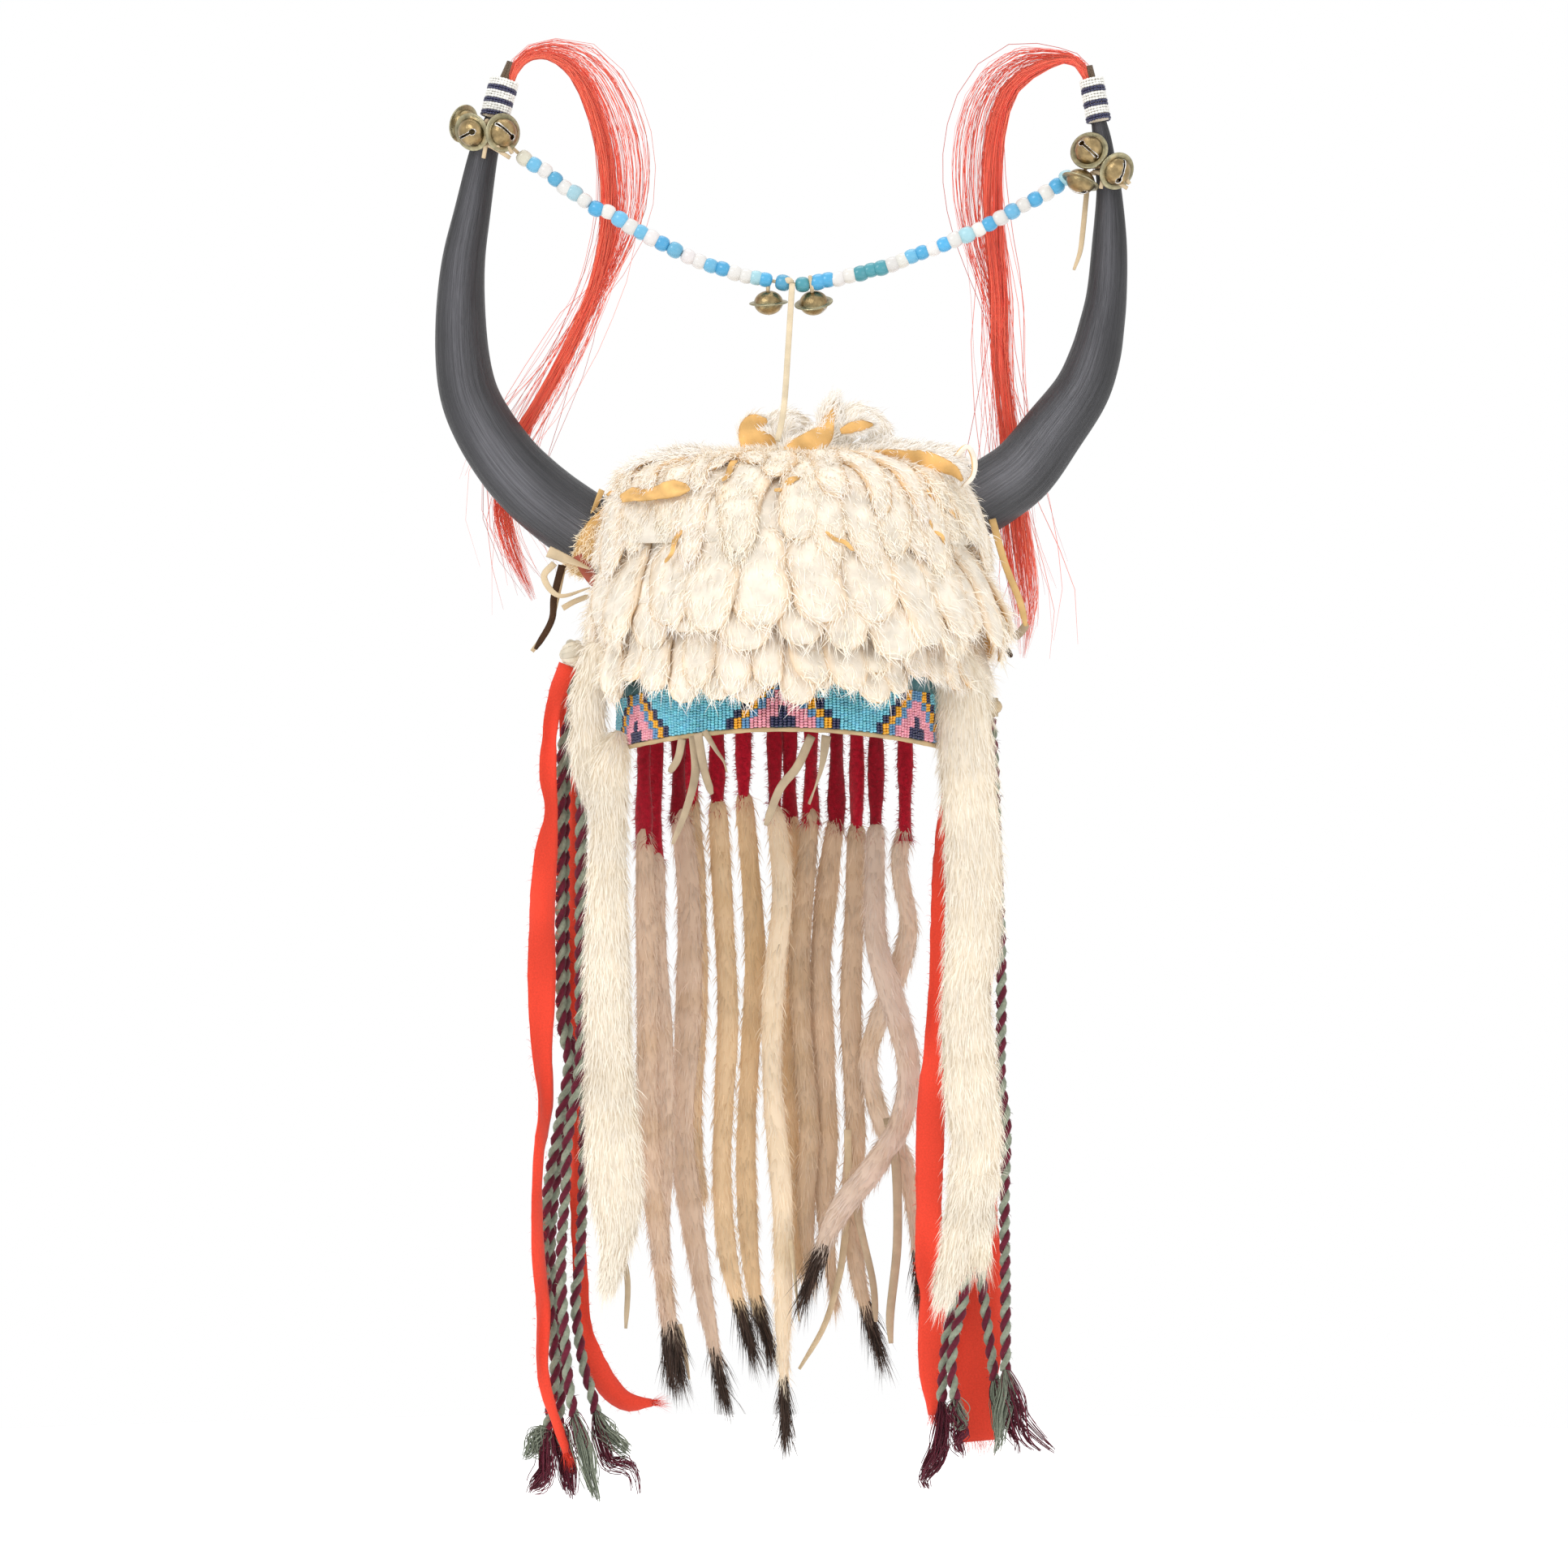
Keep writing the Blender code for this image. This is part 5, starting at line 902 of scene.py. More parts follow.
def horn(name, rows, node):
    """A split horn: a crescent of two arcs carried along its stations, with fine grooves along its
    outside, a painted highlight down the middle of its outside and painted shade towards its edges."""
    line = curve(raised(rows), 96)
    along = unit(np.gradient(line[:, :3], axis=0) * (1, 0, 1))
    across = np.cross(along, (0, 1, 0))
    width, hollow = line[:, 3] * HORN_WIDTH, line[:, 4]
    wall = np.minimum(HORN_WALL, width / 4)
    flat = HORN_BULGE * width / 2
    metres = metres_along(line)
    outer, inner = np.linspace(0, math.pi, 34), np.linspace(0, math.pi, 20)
    rng = np.random.default_rng(4)
    waves = zip(rng.uniform(20, 60, 5), rng.uniform(0, 6, 5), rng.uniform(8, 30, 5), rng.uniform(0, 6, 5))
    groove = sum(np.sin(outer * f + p)[None] * np.sin(metres * g + q)[:, None] for f, p, g, q in waves)
    groove = groove * GROOVE_DEPTH
    ends = np.sin(outer)[None] > 0.05
    half = width[:, None] / 2 + groove * ends
    deep = (HORN_BULGE * width)[:, None] + groove * ends
    out = line[:, None, :3] + across[:, None] * (half * np.cos(outer))[..., None]
    out[..., 1] += flat[:, None] - deep * np.sin(outer)
    back = line[:, None, :3] - across[:, None] * ((width / 2 - wall)[:, None] * np.cos(inner))[..., None]
    back[..., 1] += flat[:, None] - ((HORN_BULGE * width - wall) * hollow)[:, None] * np.sin(inner)
    grid = np.concatenate([out, back], axis=1)
    around = np.concatenate([outer / math.pi * 0.6, 0.6 + inner / math.pi * 0.4])
    uv = np.stack(np.broadcast_arrays(metres[:, None], around[None]), axis=-1)
    tone = np.interp(metres / metres[-1], (0.10, 0.2, 0.75, 1.0), (1.25, 1.0, 1.0, 1.2))[:, None, None]
    looks = bpy.context.scene.headdress_horns
    # Painted highlight and shade: the outside is lighter in a band near its middle and darker towards its two
    # edges, as a broad highlight and shade would fall; the hollow back gets a flat 0.7.
    painted_highlight_and_edge_shade = np.concatenate([0.50 + 1.30 * np.exp(-((outer - 1.75) / 0.50) ** 2), np.full(20, 0.7)])
    cloudy = patches(grid * (1, 1, 0.35), 0.03, 12)
    tone = tone * (painted_highlight_and_edge_shade[None] * (0.85 + 0.45 * cloudy))[..., None] * (0.96, 0.99, 1.06)
    stub = np.interp(metres, (0.0, 0.014, 0.024), (1, 1, 0))[:, None, None]
    sheaf = Sheaf()
    sheaf.add(grid, closed(96, 54), np.array(looks.horn_colour) * tone * (1 - stub)
              + np.array(looks.stub_colour) * stub, uv)
    finish = finish_of("buffalo_horn", 0.34, specular=0.5, mottle=(1, 0.6, 1.5), grain=(2.2, 0.0011),
                       stretch=(14, 90, 1), on_uv=True)
    return settle(sheaf.make(name, finish), node)


def around_cap(sweep, proud, z):
    """A place proud metres outside the cap, at an angle from the front and a height."""
    return np.stack([(CAP_HALF_WIDTH + proud) * np.sin(sweep), -(CAP_HALF_DEPTH + proud) * np.cos(sweep), z],
                    axis=-1)


def brow_band():
    """The band of hide round the front, and rows of small beads on it in a stepped pattern."""
    sheaf = Sheaf()
    sweep = np.linspace(-BAND_SWEEP, BAND_SWEEP, 90)
    low = BAND_LOW - BAND_DIP * np.sin(sweep) ** 2
    ring = []
    for out, up in ((0.00045, 0.0), (0.0014, -0.0008), (0.0018, 0.0), (0.0018, BAND_HEIGHT),
                    (0.00045, BAND_HEIGHT)):
        ring.append(around_cap(sweep, out, low + up))
    grid = np.stack(ring[::-1], axis=1)
    edge, face = (0.55, 0.40, 0.22), (0.16, 0.36, 0.42)
    tint = np.array((edge, face, face, edge, edge))
    sheaf.add(grid, closed(90, 5), tint[None])
    hem = around_cap(sweep, 0.0022, low + 0.0004)
    tube(sheaf, hem, 0.0030, (0.0026 + 0.0004 * np.sin(sweep * 40))[None], 10, (0.52, 0.38, 0.21),
         (0, 0, 1))
    hide = settle(sheaf.make("brow_band_hide", hide_finish()), "brow_band")
    rows, pitch, high = 18, 0.00234, 0.00152
    fine = np.linspace(-BAND_SWEEP, BAND_SWEEP, 2000)
    run = np.concatenate([[0], np.cumsum(np.hypot(np.diff((CAP_HALF_WIDTH + 0.0028) * np.sin(fine)),
                                                  np.diff((CAP_HALF_DEPTH + 0.0028) * np.cos(fine))))])
    count = int((run[-1] - 0.003) / pitch / 2) * 2
    column = np.arange(count)
    theta = np.interp(run[-1] / 2 - 0.0012 + pitch * (column - (count - 1) / 2), run, fine)
    rng = np.random.default_rng(11)
    c, height = np.meshgrid(column, np.arange(rows))
    angle = theta[c]
    side = c - (count - 1) / 2
    step = np.min([np.abs(side - centre) for centre in (-45, 0, 38)], axis=0) + 0.5
    within = 14 - 2 * np.floor(height / 3.5) - step
    colour = np.array(BEAD_TURQUOISE)[None, None] * np.ones((*c.shape, 1))
    for low_edge, tint in ((-0.5, BEAD_NAVY), (1.5, BEAD_YELLOW), (3.5, BEAD_STEEL), (5.5, BEAD_PINK)):
        colour = np.where((within > low_edge)[..., None], np.array(tint), colour)
    stem = ((step <= 3.1) & (height < 4)) | ((step <= 1.1) & (height < 8))
    colour = np.where(stem[..., None], np.array(BEAD_NAVY), colour)
    colour = colour * rng.normal(1.0, 0.09, (*c.shape, 1)) * rng.normal(1.0, 0.03, (*c.shape, 3))
    drift = np.cumsum(rng.normal(0, 0.0001, count))
    drift = drift - np.convolve(drift, np.ones(9) / 9, "same") + 0.00035 * (np.arange(count) % 2)
    z = BAND_LOW - BAND_DIP * np.sin(angle) ** 2 + 0.0016 + high * (height + 0.5) + drift[c]
    z = z + rng.normal(0, 0.00008, c.shape)
    swell = 0.0030 + 0.0003 * np.sin(c * 0.31 + height * 0.4) + rng.normal(0, 0.0001, c.shape)
    places = around_cap(angle, swell, z)
    holes = np.array([0.0, 0.0, 1.0]) + rng.normal(0, 0.06, (*c.shape, 3))
    outs = np.stack([np.sin(angle), -np.cos(angle), 0 * angle], axis=-1)
    beadwork = Sheaf()
    beads(beadwork, places.reshape(-1, 3), holes.reshape(-1, 3), outs.reshape(-1, 3), 0.00137, 0.00075,
          colour.reshape(-1, 3), 7)
    work = beadwork.make("brow_band_beads", finish_of("seed_bead_glass", 0.22, specular=0.6, coat_weight=0.4))
    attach(work, "root")
    return hide


def cuff(side, rows):
    """Rows of small beads wound round the tip of a horn, three white rows and two navy rows in turn."""
    metres = raised(rows)
    middles = np.array([station_of(metres, place) for place in np.linspace(*CUFF_STATIONS[side], 3)])
    inner = middles[:, 3].max() * HORN_WIDTH * 0.545 + 0.00045
    sheaf = Sheaf()
    tube(sheaf, curve(middles[:, :3], 8), 2 * inner + 0.0016, 2 * inner + 0.0016, 28,
         (0.60, 0.52, 0.40))
    line = curve(middles[:, :3], 16)
    line = (line[1:] + line[:-1]) / 2
    along = unit(np.gradient(line, axis=0))
    out, across = facing(along)
    radius = inner + 0.0013
    count = int(2 * np.pi * radius / CUFF_PITCH)
    rng = np.random.default_rng(5)
    angles = np.arange(count) * 2 * np.pi / count
    c, s = np.cos(angles)[None, :, None], np.sin(angles)[None, :, None]
    turn = across[:, None] * c + out[:, None] * s
    slant = (np.arange(count) / count - 0.5)[None, :, None] * 0.0009
    places = line[:, None] + turn * radius + along[:, None] * slant + rng.normal(0, 0.0001, (15, count, 3))
    holes = -across[:, None] * s + out[:, None] * c
    dark = np.isin(np.arange(15), (3, 4, 8, 9, 13, 14))[:, None, None]
    colour = np.where(dark, np.array(BEAD_NAVY), np.array(BEAD_WHITE)) * rng.normal(1, 0.05, (15, count, 1))
    beads(sheaf, places.reshape(-1, 3), np.broadcast_to(holes, places.shape).reshape(-1, 3),
          turn.reshape(-1, 3), CUFF_BEAD_RADIUS, CUFF_BEAD_HALF, colour.reshape(-1, 3), 6)
    obj = sheaf.make(f"bead_cuff_{side}_rows",
                     finish_of("cuff_bead_glass", 0.2, specular=0.6, coat_weight=0.4))
    return settle(obj, f"bead_cuff_{side}")


def carved(obj, cutters):
    """The object with the cutters taken out of it, as a new mesh."""
    for cutter in cutters:
        step = obj.modifiers.new("cut", "BOOLEAN")
        step.solver = "EXACT"
        step.object = cutter
    graph = bpy.context.evaluated_depsgraph_get()
    mesh = bpy.data.meshes.new_from_object(obj.evaluated_get(graph))
    obj.modifiers.clear()
    obj.data = mesh
    for cutter in cutters:
        bpy.data.objects.remove(cutter)
    return obj


def turned(profile, count, place, side, other, way):
    """A profile of radius and height carried round the axis way through place."""
    angles = np.arange(count) * 2 * np.pi / count
    radius, up = np.array(profile).T
    return (place + side * (radius[:, None] * np.cos(angles))[..., None]
            + other * (radius[:, None] * np.sin(angles))[..., None] + way * up[:, None, None])


def bell(name, across, up, back, way, turn):
    """A flanged bell: a low dome each side of a thin flange, hollow, with a slit that runs from a round
    hole."""
    way = unit(np.array(way, float))
    side = np.cross((0, 0, 1), way) if abs(way[2]) < 0.9 else np.array((1.0, 0, 0))
    side = unit(side - way * side.dot(way))
    other = np.cross(way, side)
    place = np.array([across * SPAN, back * DEPTH, up * RISE])
    low = [(0.0006, -BELL_HALF - 0.0002)] + [
        (BELL_DOME * math.cos(a), -BELL_HALF * math.sin(a)) for a in np.linspace(1.45, 0.12, 10)]
    flange = [(BELL_DOME, -0.0006), (BELL_FLANGE - 0.0006, -0.0005), (BELL_FLANGE, -0.0002),
              (BELL_FLANGE, 0.0002), (BELL_FLANGE - 0.0006, 0.0005), (BELL_DOME, 0.0006)]
    high = [(BELL_DOME * math.cos(a), BELL_HALF * math.sin(a)) for a in np.linspace(0.12, 1.45, 10)] + [
        (0.0006, BELL_HALF + 0.0002)]
    grid = turned(low + flange + high, 40, place, side, other, way)
    body = Sheaf()
    rim = np.array([0] * 11 + [0, 1, 1, 1, 1, 0] + [0] * 11)[:, None, None]
    looks = bpy.context.scene.headdress_bells
    brass, worn = np.array(looks.brass_colour), np.array(looks.rim_colour)
    mark = patches(grid, 0.008, 3)[..., None]
    green = np.array((0.16, 0.19, 0.12))
    near_flange = np.exp(-((np.abs((grid - place) @ way) - 0.0010) / 0.0011) ** 2)[..., None] * (1 - rim)
    tarnish = 0.75 * near_flange * mark
    tint = (brass * (1 - rim) + worn * rim) * (1 - tarnish) + green * tarnish
    body.add(grid, closed(28, 40), tint)
    metal = finish_of("bell_brass", 0.33, metallic=1.0, mottle=(260, 0.6, 1.15), grain=(700, 0.00025))
    obj = body.make(name + "_form", metal)
    wall, tip = BELL_SHEET, 0.0004
    turns = np.linspace(-1.4, 1.4, 15)
    arc = [((BELL_DOME - wall) * math.cos(a), (BELL_HALF - wall) * math.sin(a)) for a in turns]
    hollow = [(tip, wall - BELL_HALF), *arc, (tip, BELL_HALF - wall)]
    cavity = Sheaf()
    inside = turned(hollow, 32, place, side, other, way)
    cavity.add(inside, closed(17, 32), BELL_INSIDE)
    turn = math.radians(turn)
    c, s = math.cos(turn), math.sin(turn)

    def pillar(outline):
        xs, ys = outline[:, 0] * c - outline[:, 1] * s, outline[:, 0] * s + outline[:, 1] * c
        flat = place + xs[:, None] * side + ys[:, None] * other
        shape = Sheaf()
        block = np.stack([flat + way * 0.0012, flat + way * 0.0130])
        shape.add(block, closed(2, len(outline)), BELL_INSIDE)
        return shape.make("cutter", metal)

    box = np.array(((SLIT_START, -SLIT_HALF), (SLIT_END, -SLIT_HALF), (SLIT_END, SLIT_HALF),
                    (SLIT_START, SLIT_HALF)))
    ring = np.linspace(0, 2 * np.pi, 21)[:-1]
    disc = np.stack([HOLE_RADIUS * np.cos(ring) + HOLE_MIDDLE, HOLE_RADIUS * np.sin(ring)], axis=1)
    carved(obj, [cavity.make("cutter", metal), pillar(box), pillar(disc)])
    loop = Sheaf()
    tube(loop, place - way * np.array(BELL_LOOP)[:, None], 0.0034, 0.0022, 8,
         PALE_THONG, side)
    settle(loop.make(name + "_loop", hide_finish()))
    return settle(obj, name)


def bell_tie(side, rows):
    """Turns of pale thong wound round the horn where the bells are tied."""
    metres = raised(rows)
    sheaf = Sheaf()
    first, last = TIE_STATIONS[side]
    for k, station in enumerate(np.linspace(first + 0.12, last - 0.12, 3)):
        row = station_of(metres, station)
        along = unit((station_of(metres, station + 0.1) - row)[:3] * (1, 0, 1))
        across = np.cross(along, (0, 1, 0))
        half = row[3] * HORN_WIDTH / 2 + 0.0017
        flat = HORN_BULGE * row[3] * HORN_WIDTH / 2
        a = np.linspace(0, 2 * np.pi, 41)
        deep = np.where(np.sin(a) > 0, HORN_BULGE * row[3] * HORN_WIDTH + 0.0017, 0.004)
        loop = (row[:3] + across * (half * np.cos(a))[:, None] + np.array([0, 1.0, 0])
                * (flat - deep * np.sin(a))[:, None])
        loop = loop + along * (0.0012 * np.sin(a + k))[:, None]
        tube(sheaf, loop, 0.0028, 0.0020, 8, PALE_THONG, (0.0, 0.0, 1.0))
    rng = np.random.default_rng(3)
    row = station_of(metres, (first + last) / 2)
    for _ in range(5):
        start = row[:3] + rng.normal(0, 0.004, 3) * (1, 0.3, 1) + (0, -0.010, 0)
        finish = start + rng.normal(0, 1, 3) * (0.006, 0.002, 0.006) + (0, -0.002, -0.008)
        tube(sheaf, curve(np.array([start, (start + finish) / 2 + (0, -0.002, 0.001), finish]), 8), 0.0024,
             0.0014, 6, PALE_THONG)
    return settle(sheaf.make(f"bell_tie_{side}_thong", hide_finish()), f"bell_tie_{side}")


def bead_string():
    """Glass beads, each a short barrel turned about the thong that carries them from horn to horn."""
    middles = np.array(BEADS)
    both = np.vstack([STRING_ENDS[0], middles, STRING_ENDS[1]])
    backs = np.interp(both[:, 0], (STRING_ENDS[0][0], 0.0, STRING_ENDS[1][0]), STRING_BACK)
    points = np.stack([both[:, 0] * SPAN, backs * DEPTH, both[:, 1] * RISE], axis=1)
    thong = Sheaf()
    tube(thong, curve(points, 160), 0.0020, 0.0014, 8, (0.62, 0.48, 0.30))
    loop = np.array([(0.0, -0.0127, 0.1105), (0.0022, -0.0155, 0.1112), (0.0040, -0.0127, 0.1098)])
    tube(thong, curve(loop, 8), 0.0036, 0.0022, 8, LIGHT_THONG)
    settle(thong.make("bead_string_thong", hide_finish()), "bead_string")
    places, along = points[1:-1], unit(np.gradient(points, axis=0))[1:-1]
    rng = np.random.default_rng(21)
    along = unit(along + rng.normal(0, 0.06, along.shape))
    out, across = facing(along)
    turn = np.linspace(0, np.pi, 9)
    profile_r = np.concatenate([[0.30], np.sin(turn[1:-1]) ** 0.5, [0.30]])
    profile_h = -np.cos(turn) * 0.93
    angles = np.arange(14) * 2 * np.pi / 14
    size = BEAD_RADIUS * rng.uniform(0.93, 1.06, len(places))
    round_it = across[:, None] * np.cos(angles)[:, None] + out[:, None] * np.sin(angles)[:, None]
    grid = (places[:, None, None] + round_it[:, None] * (profile_r[:, None, None] * size[:, None, None, None])
            + along[:, None, None] * (profile_h[:, None, None] * size[:, None, None, None]))
    colours = np.array([CROW_BEADS[letter] for letter in CROW_ORDER])
    colours = colours * rng.normal(1, 0.05, (len(colours), 1)) * rng.normal(1, 0.012, colours.shape)
    sheaf = Sheaf()
    sheaf.add(grid, closed(9, 14, len(places)), colours[:, None, None])
    glass = finish_of("crow_bead_glass", 0.25, specular=0.5, coat_weight=0.25, mottle=(120, 0.96, 1.03))
    obj = sheaf.make("bead_string_beads", glass)
    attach(obj, "root")
    return obj


def plume(name, rows, rng):
    """A lock of long hairs: each hair follows the lock's line at its own offset, waves, and strays near its
    end."""
    rows = raised(rows)
    shift, outward = (-0.0030, 1) if name.endswith("left") else (0.0035, -1)
    stem = rows[0] * (1, 1, 1, 0.9) + np.array((shift, 0.0, -0.0100, 0.0))
    line = curve(np.vstack([stem, rows]), 60)
    looks = bpy.context.scene.headdress_plumes
    count, steps = looks.hairs, 22
    base = np.column_stack([line[:, :3], line[:, 3] * PLUME_RADIUS])
    whole = np.linspace(0, 1, 60)
    t = np.linspace(0, 1, steps) ** 1.4
    rng.uniform(size=2 * count)  # two draws a hair that keep the later ones as they are
    lock = rng.integers(0, PLUME_LOCKS, count)
    angle = rng.uniform(0, 2 * np.pi, PLUME_LOCKS)[lock] + rng.normal(0, 0.28, count)
    share = np.clip(rng.uniform(0.15, 1.0, PLUME_LOCKS)[lock] + rng.normal(0, 0.10, count), 0, 1.1)
    lag = rng.uniform(0.0, 0.01, count)
    reach = 1 - rng.beta(1.1, 2.6, count) * 0.50
    along = unit(np.gradient(base[:, :3], axis=0))
    out, across = facing(along)
    place = np.clip(lag[:, None] + t[None] * reach[:, None], 0, 1)
    centre, side, front = (sampled(place, whole, part) for part in (base, across, out))
    radius = np.interp(place, whole, base[:, 3]) * np.interp(place, (0, 0.35, 1.0), (1.25, 1.2, 1.0))
    wave = 0.18 * np.sin(place * rng.uniform(12, 30, (count, 1)) + rng.uniform(0, 6, (count, 1)))
    twist = angle[:, None] + 1.2 * place + wave
    spread = share[:, None] * np.interp(place, (0, 0.06, 0.2, 0.6, 1.0), (0.30, 0.45, 0.62, 0.85, 1.5))
    stray = (rng.uniform(size=count) < STRAY_HAIRS)[:, None]
    loose = (stray * np.clip(place - 0.20, 0, 1) * STRAY_REACH * rng.normal(0, 1, (count, 1))
             * np.sin(place * 5 + angle[:, None]))
    fly = ((rng.uniform(size=count) < FLY_HAIRS)[:, None] * rng.uniform(0.1, 1.0, (count, 1)) ** 1.5
           * FLY_REACH)
    fly = fly * np.sin(np.clip(place * 1.9, 0, 1) * np.pi) * outward
    lines = centre + side * (radius * spread * np.cos(twist) + loose + fly)[..., None]
    lines = lines + front * (radius * 0.85 * spread * np.sin(twist) + loose * 0.25)[..., None]
    shade = rng.normal(1, 0.22, count)
    deep, pale = np.array(looks.deep_colour), np.array(looks.pale_colour)
    mix = rng.beta(2, 2, count)[:, None]
    tint = (deep * (1 - mix) + pale * mix) * np.clip(shade, 0.5, 1.5)[:, None]
    sheaf = Sheaf()
    thick = PLUME_HAIR * rng.uniform(0.6, 1.3, count)
    wide = thick[:, None] * np.interp(t, (0, 0.9, 1), (1, 0.9, 0.3))[None]
    tube(sheaf, lines, wide, wide, 3, tint)
    # The hairs glow in their own tint: painted light that lifts the shade the hairs cast on one another.
    finish = finish_of("dyed_horsehair", 0.42, specular=0.35, sheen=0.2, painted_glow=0.16)
    return settle(sheaf.make(name + "_hairs", finish), name)


def tassel(sheaf, start, path, maroon, rng, count):
    """A frayed end of yarn: soft locks of unspun wool. Each lock follows the short path with its own wave,
    and its fibres stand further from it at the middle than at the two ends, and are of different
    lengths."""
    count = int(count * 0.7)
    line = curve(np.vstack([start, np.array(path)]), 11)
    t = np.linspace(0, 1, 11)
    reach = rng.uniform(0.55, 1.0, count)[:, None]
    place = t[None] * reach
    centre = sampled(place, t, line)
    locks = max(2, count // 45)
    lock = rng.integers(0, locks, count)
    offset = (rng.normal(size=(locks, 1, 3))[lock] * (0.0004 + TASSEL_SPREAD * 0.4 * place[..., None])
              * (1, 0.8, 0.5))
    swing = np.sin(place * rng.uniform(7, 13, locks)[lock][:, None] + rng.uniform(0, 6, locks)[lock][:, None])
    swing = swing[..., None] * rng.normal(size=(locks, 1, 3))[lock] * 0.0014
    own = rng.normal(size=(count, 1, 3)) * (0.0006 + 0.0019 * np.sin(np.pi * place[..., None] ** 0.8))
    looks = bpy.context.scene.headdress_cloth
    tint = np.array(looks.dark_yarn if maroon else looks.pale_yarn) * rng.normal(1, 0.15, (count, 1))
    tube(sheaf, centre + offset + swing * np.minimum(1, place[..., None] * 3) + own, TASSEL_FIBRE,
         TASSEL_FIBRE, 3, tint)


def yarn(name, rows, ends, rng):
    """A cord of two twisted plies. Each ply's line turns about the cord's line, half a turn from the other,
    once in 15.7 mm, and its length has bands of painted light and shade for finer ridges, and short loose
    fibres."""
    line = curve(hung(rows)[:, :3], 300)
    metres = metres_along(line)
    count = int(metres[-1] / 0.0023)
    places = np.linspace(0, metres[-1], count)
    line = sampled(places, metres, line)
    along = unit(np.gradient(line, axis=0))
    out, across = facing(along)
    phase = 2 * np.pi * places / PLY_TURN + 0.5 * np.sin(places * 40)
    sheaf, loose = Sheaf(), Sheaf()
    looks = bpy.context.scene.headdress_cloth
    for ply, tint in ((0, looks.dark_yarn), (1, looks.pale_yarn)):
        turn = (phase + np.pi * ply)[:, None]
        centre = line + (across * np.cos(turn) + out * np.sin(turn)) * PLY_OFFSET
        # Painted light and shade: the ply is lighter and darker in bands about 12.6 mm long, standing for
        # finer ridges.
        bright = 1 + 0.12 * np.sin(places * 500)[:, None, None]
        grid = tube(sheaf, centre, PLY_WIDTH, PLY_WIDTH, 7, np.array(tint) * bright[None])
        roots = int(count * 1.7)
        coat(loose, grid[0], roots, 0.0030, 0.00030, 0.9, np.array(tint), np.array(tint) * 1.25, rng,
             spread=0.5)
    for maroon, path, number in ends:
        tassel(loose, line[-1], seen(path, line[-1, 1]), maroon, rng, number)
    wool = finish_of("spun_wool_yarn", 0.9, specular=0.1, sheen=0.15, mottle=(500, 0.8, 1.2),
                     grain=(2500, 0.0003))
    obj = settle(sheaf.make(name + "_plies", wool), name)
    fuzz = settle(loose.make(name + "_loose_wool", wool))
    return obj


# Tassels of each yarn: 1 for dark wool or 0 for pale, the route in the picture's pixels, and the number of
# fibres
YARN_ENDS = {
    "yarn_left_1": (
        (0, ((662, 1775), (656, 1792), (648, 1800)), 160),
        (1, ((672, 1792), (672, 1812), (661, 1830), (654, 1846)), 150),
    ),
    "yarn_left_2": (
        (1, ((688, 1782), (699, 1806), (700, 1830), (706, 1852)), 170), (0, ((692, 1775), (696, 1800)), 60),
    ),
    "yarn_left_3": (
        (0, ((714, 1768), (722, 1796), (725, 1820), (731, 1850)), 170), (1, ((708, 1770), (714, 1800)), 40),
    ),
    "yarn_left_4": (
        (0, ((742, 1764), (760, 1786), (776, 1796)), 130),
        (1, ((738, 1776), (752, 1806), (781, 1818), (784, 1840)), 60),
    ),
    "yarn_right_1": (
        (1, ((1247, 1716), (1256, 1753), (1270, 1772), (1290, 1792)), 80),
        (0, ((1238, 1725), (1232, 1770), (1230, 1795)), 110),
    ),
    "yarn_right_2": (
        (0, ((1230, 1740), (1238, 1770)), 90), (1, ((1240, 1740), (1256, 1780), (1254, 1800)), 60),
    ),
    "yarn_right_3": (
        (0, ((1182, 1748), (1188, 1768)), 70), (1, ((1180, 1760), (1188, 1800)), 90),
    ),
    "yarn_right_4": (
        (1, ((1164, 1752), (1160, 1790), (1142, 1824), (1148, 1838)), 150),
    ),
}


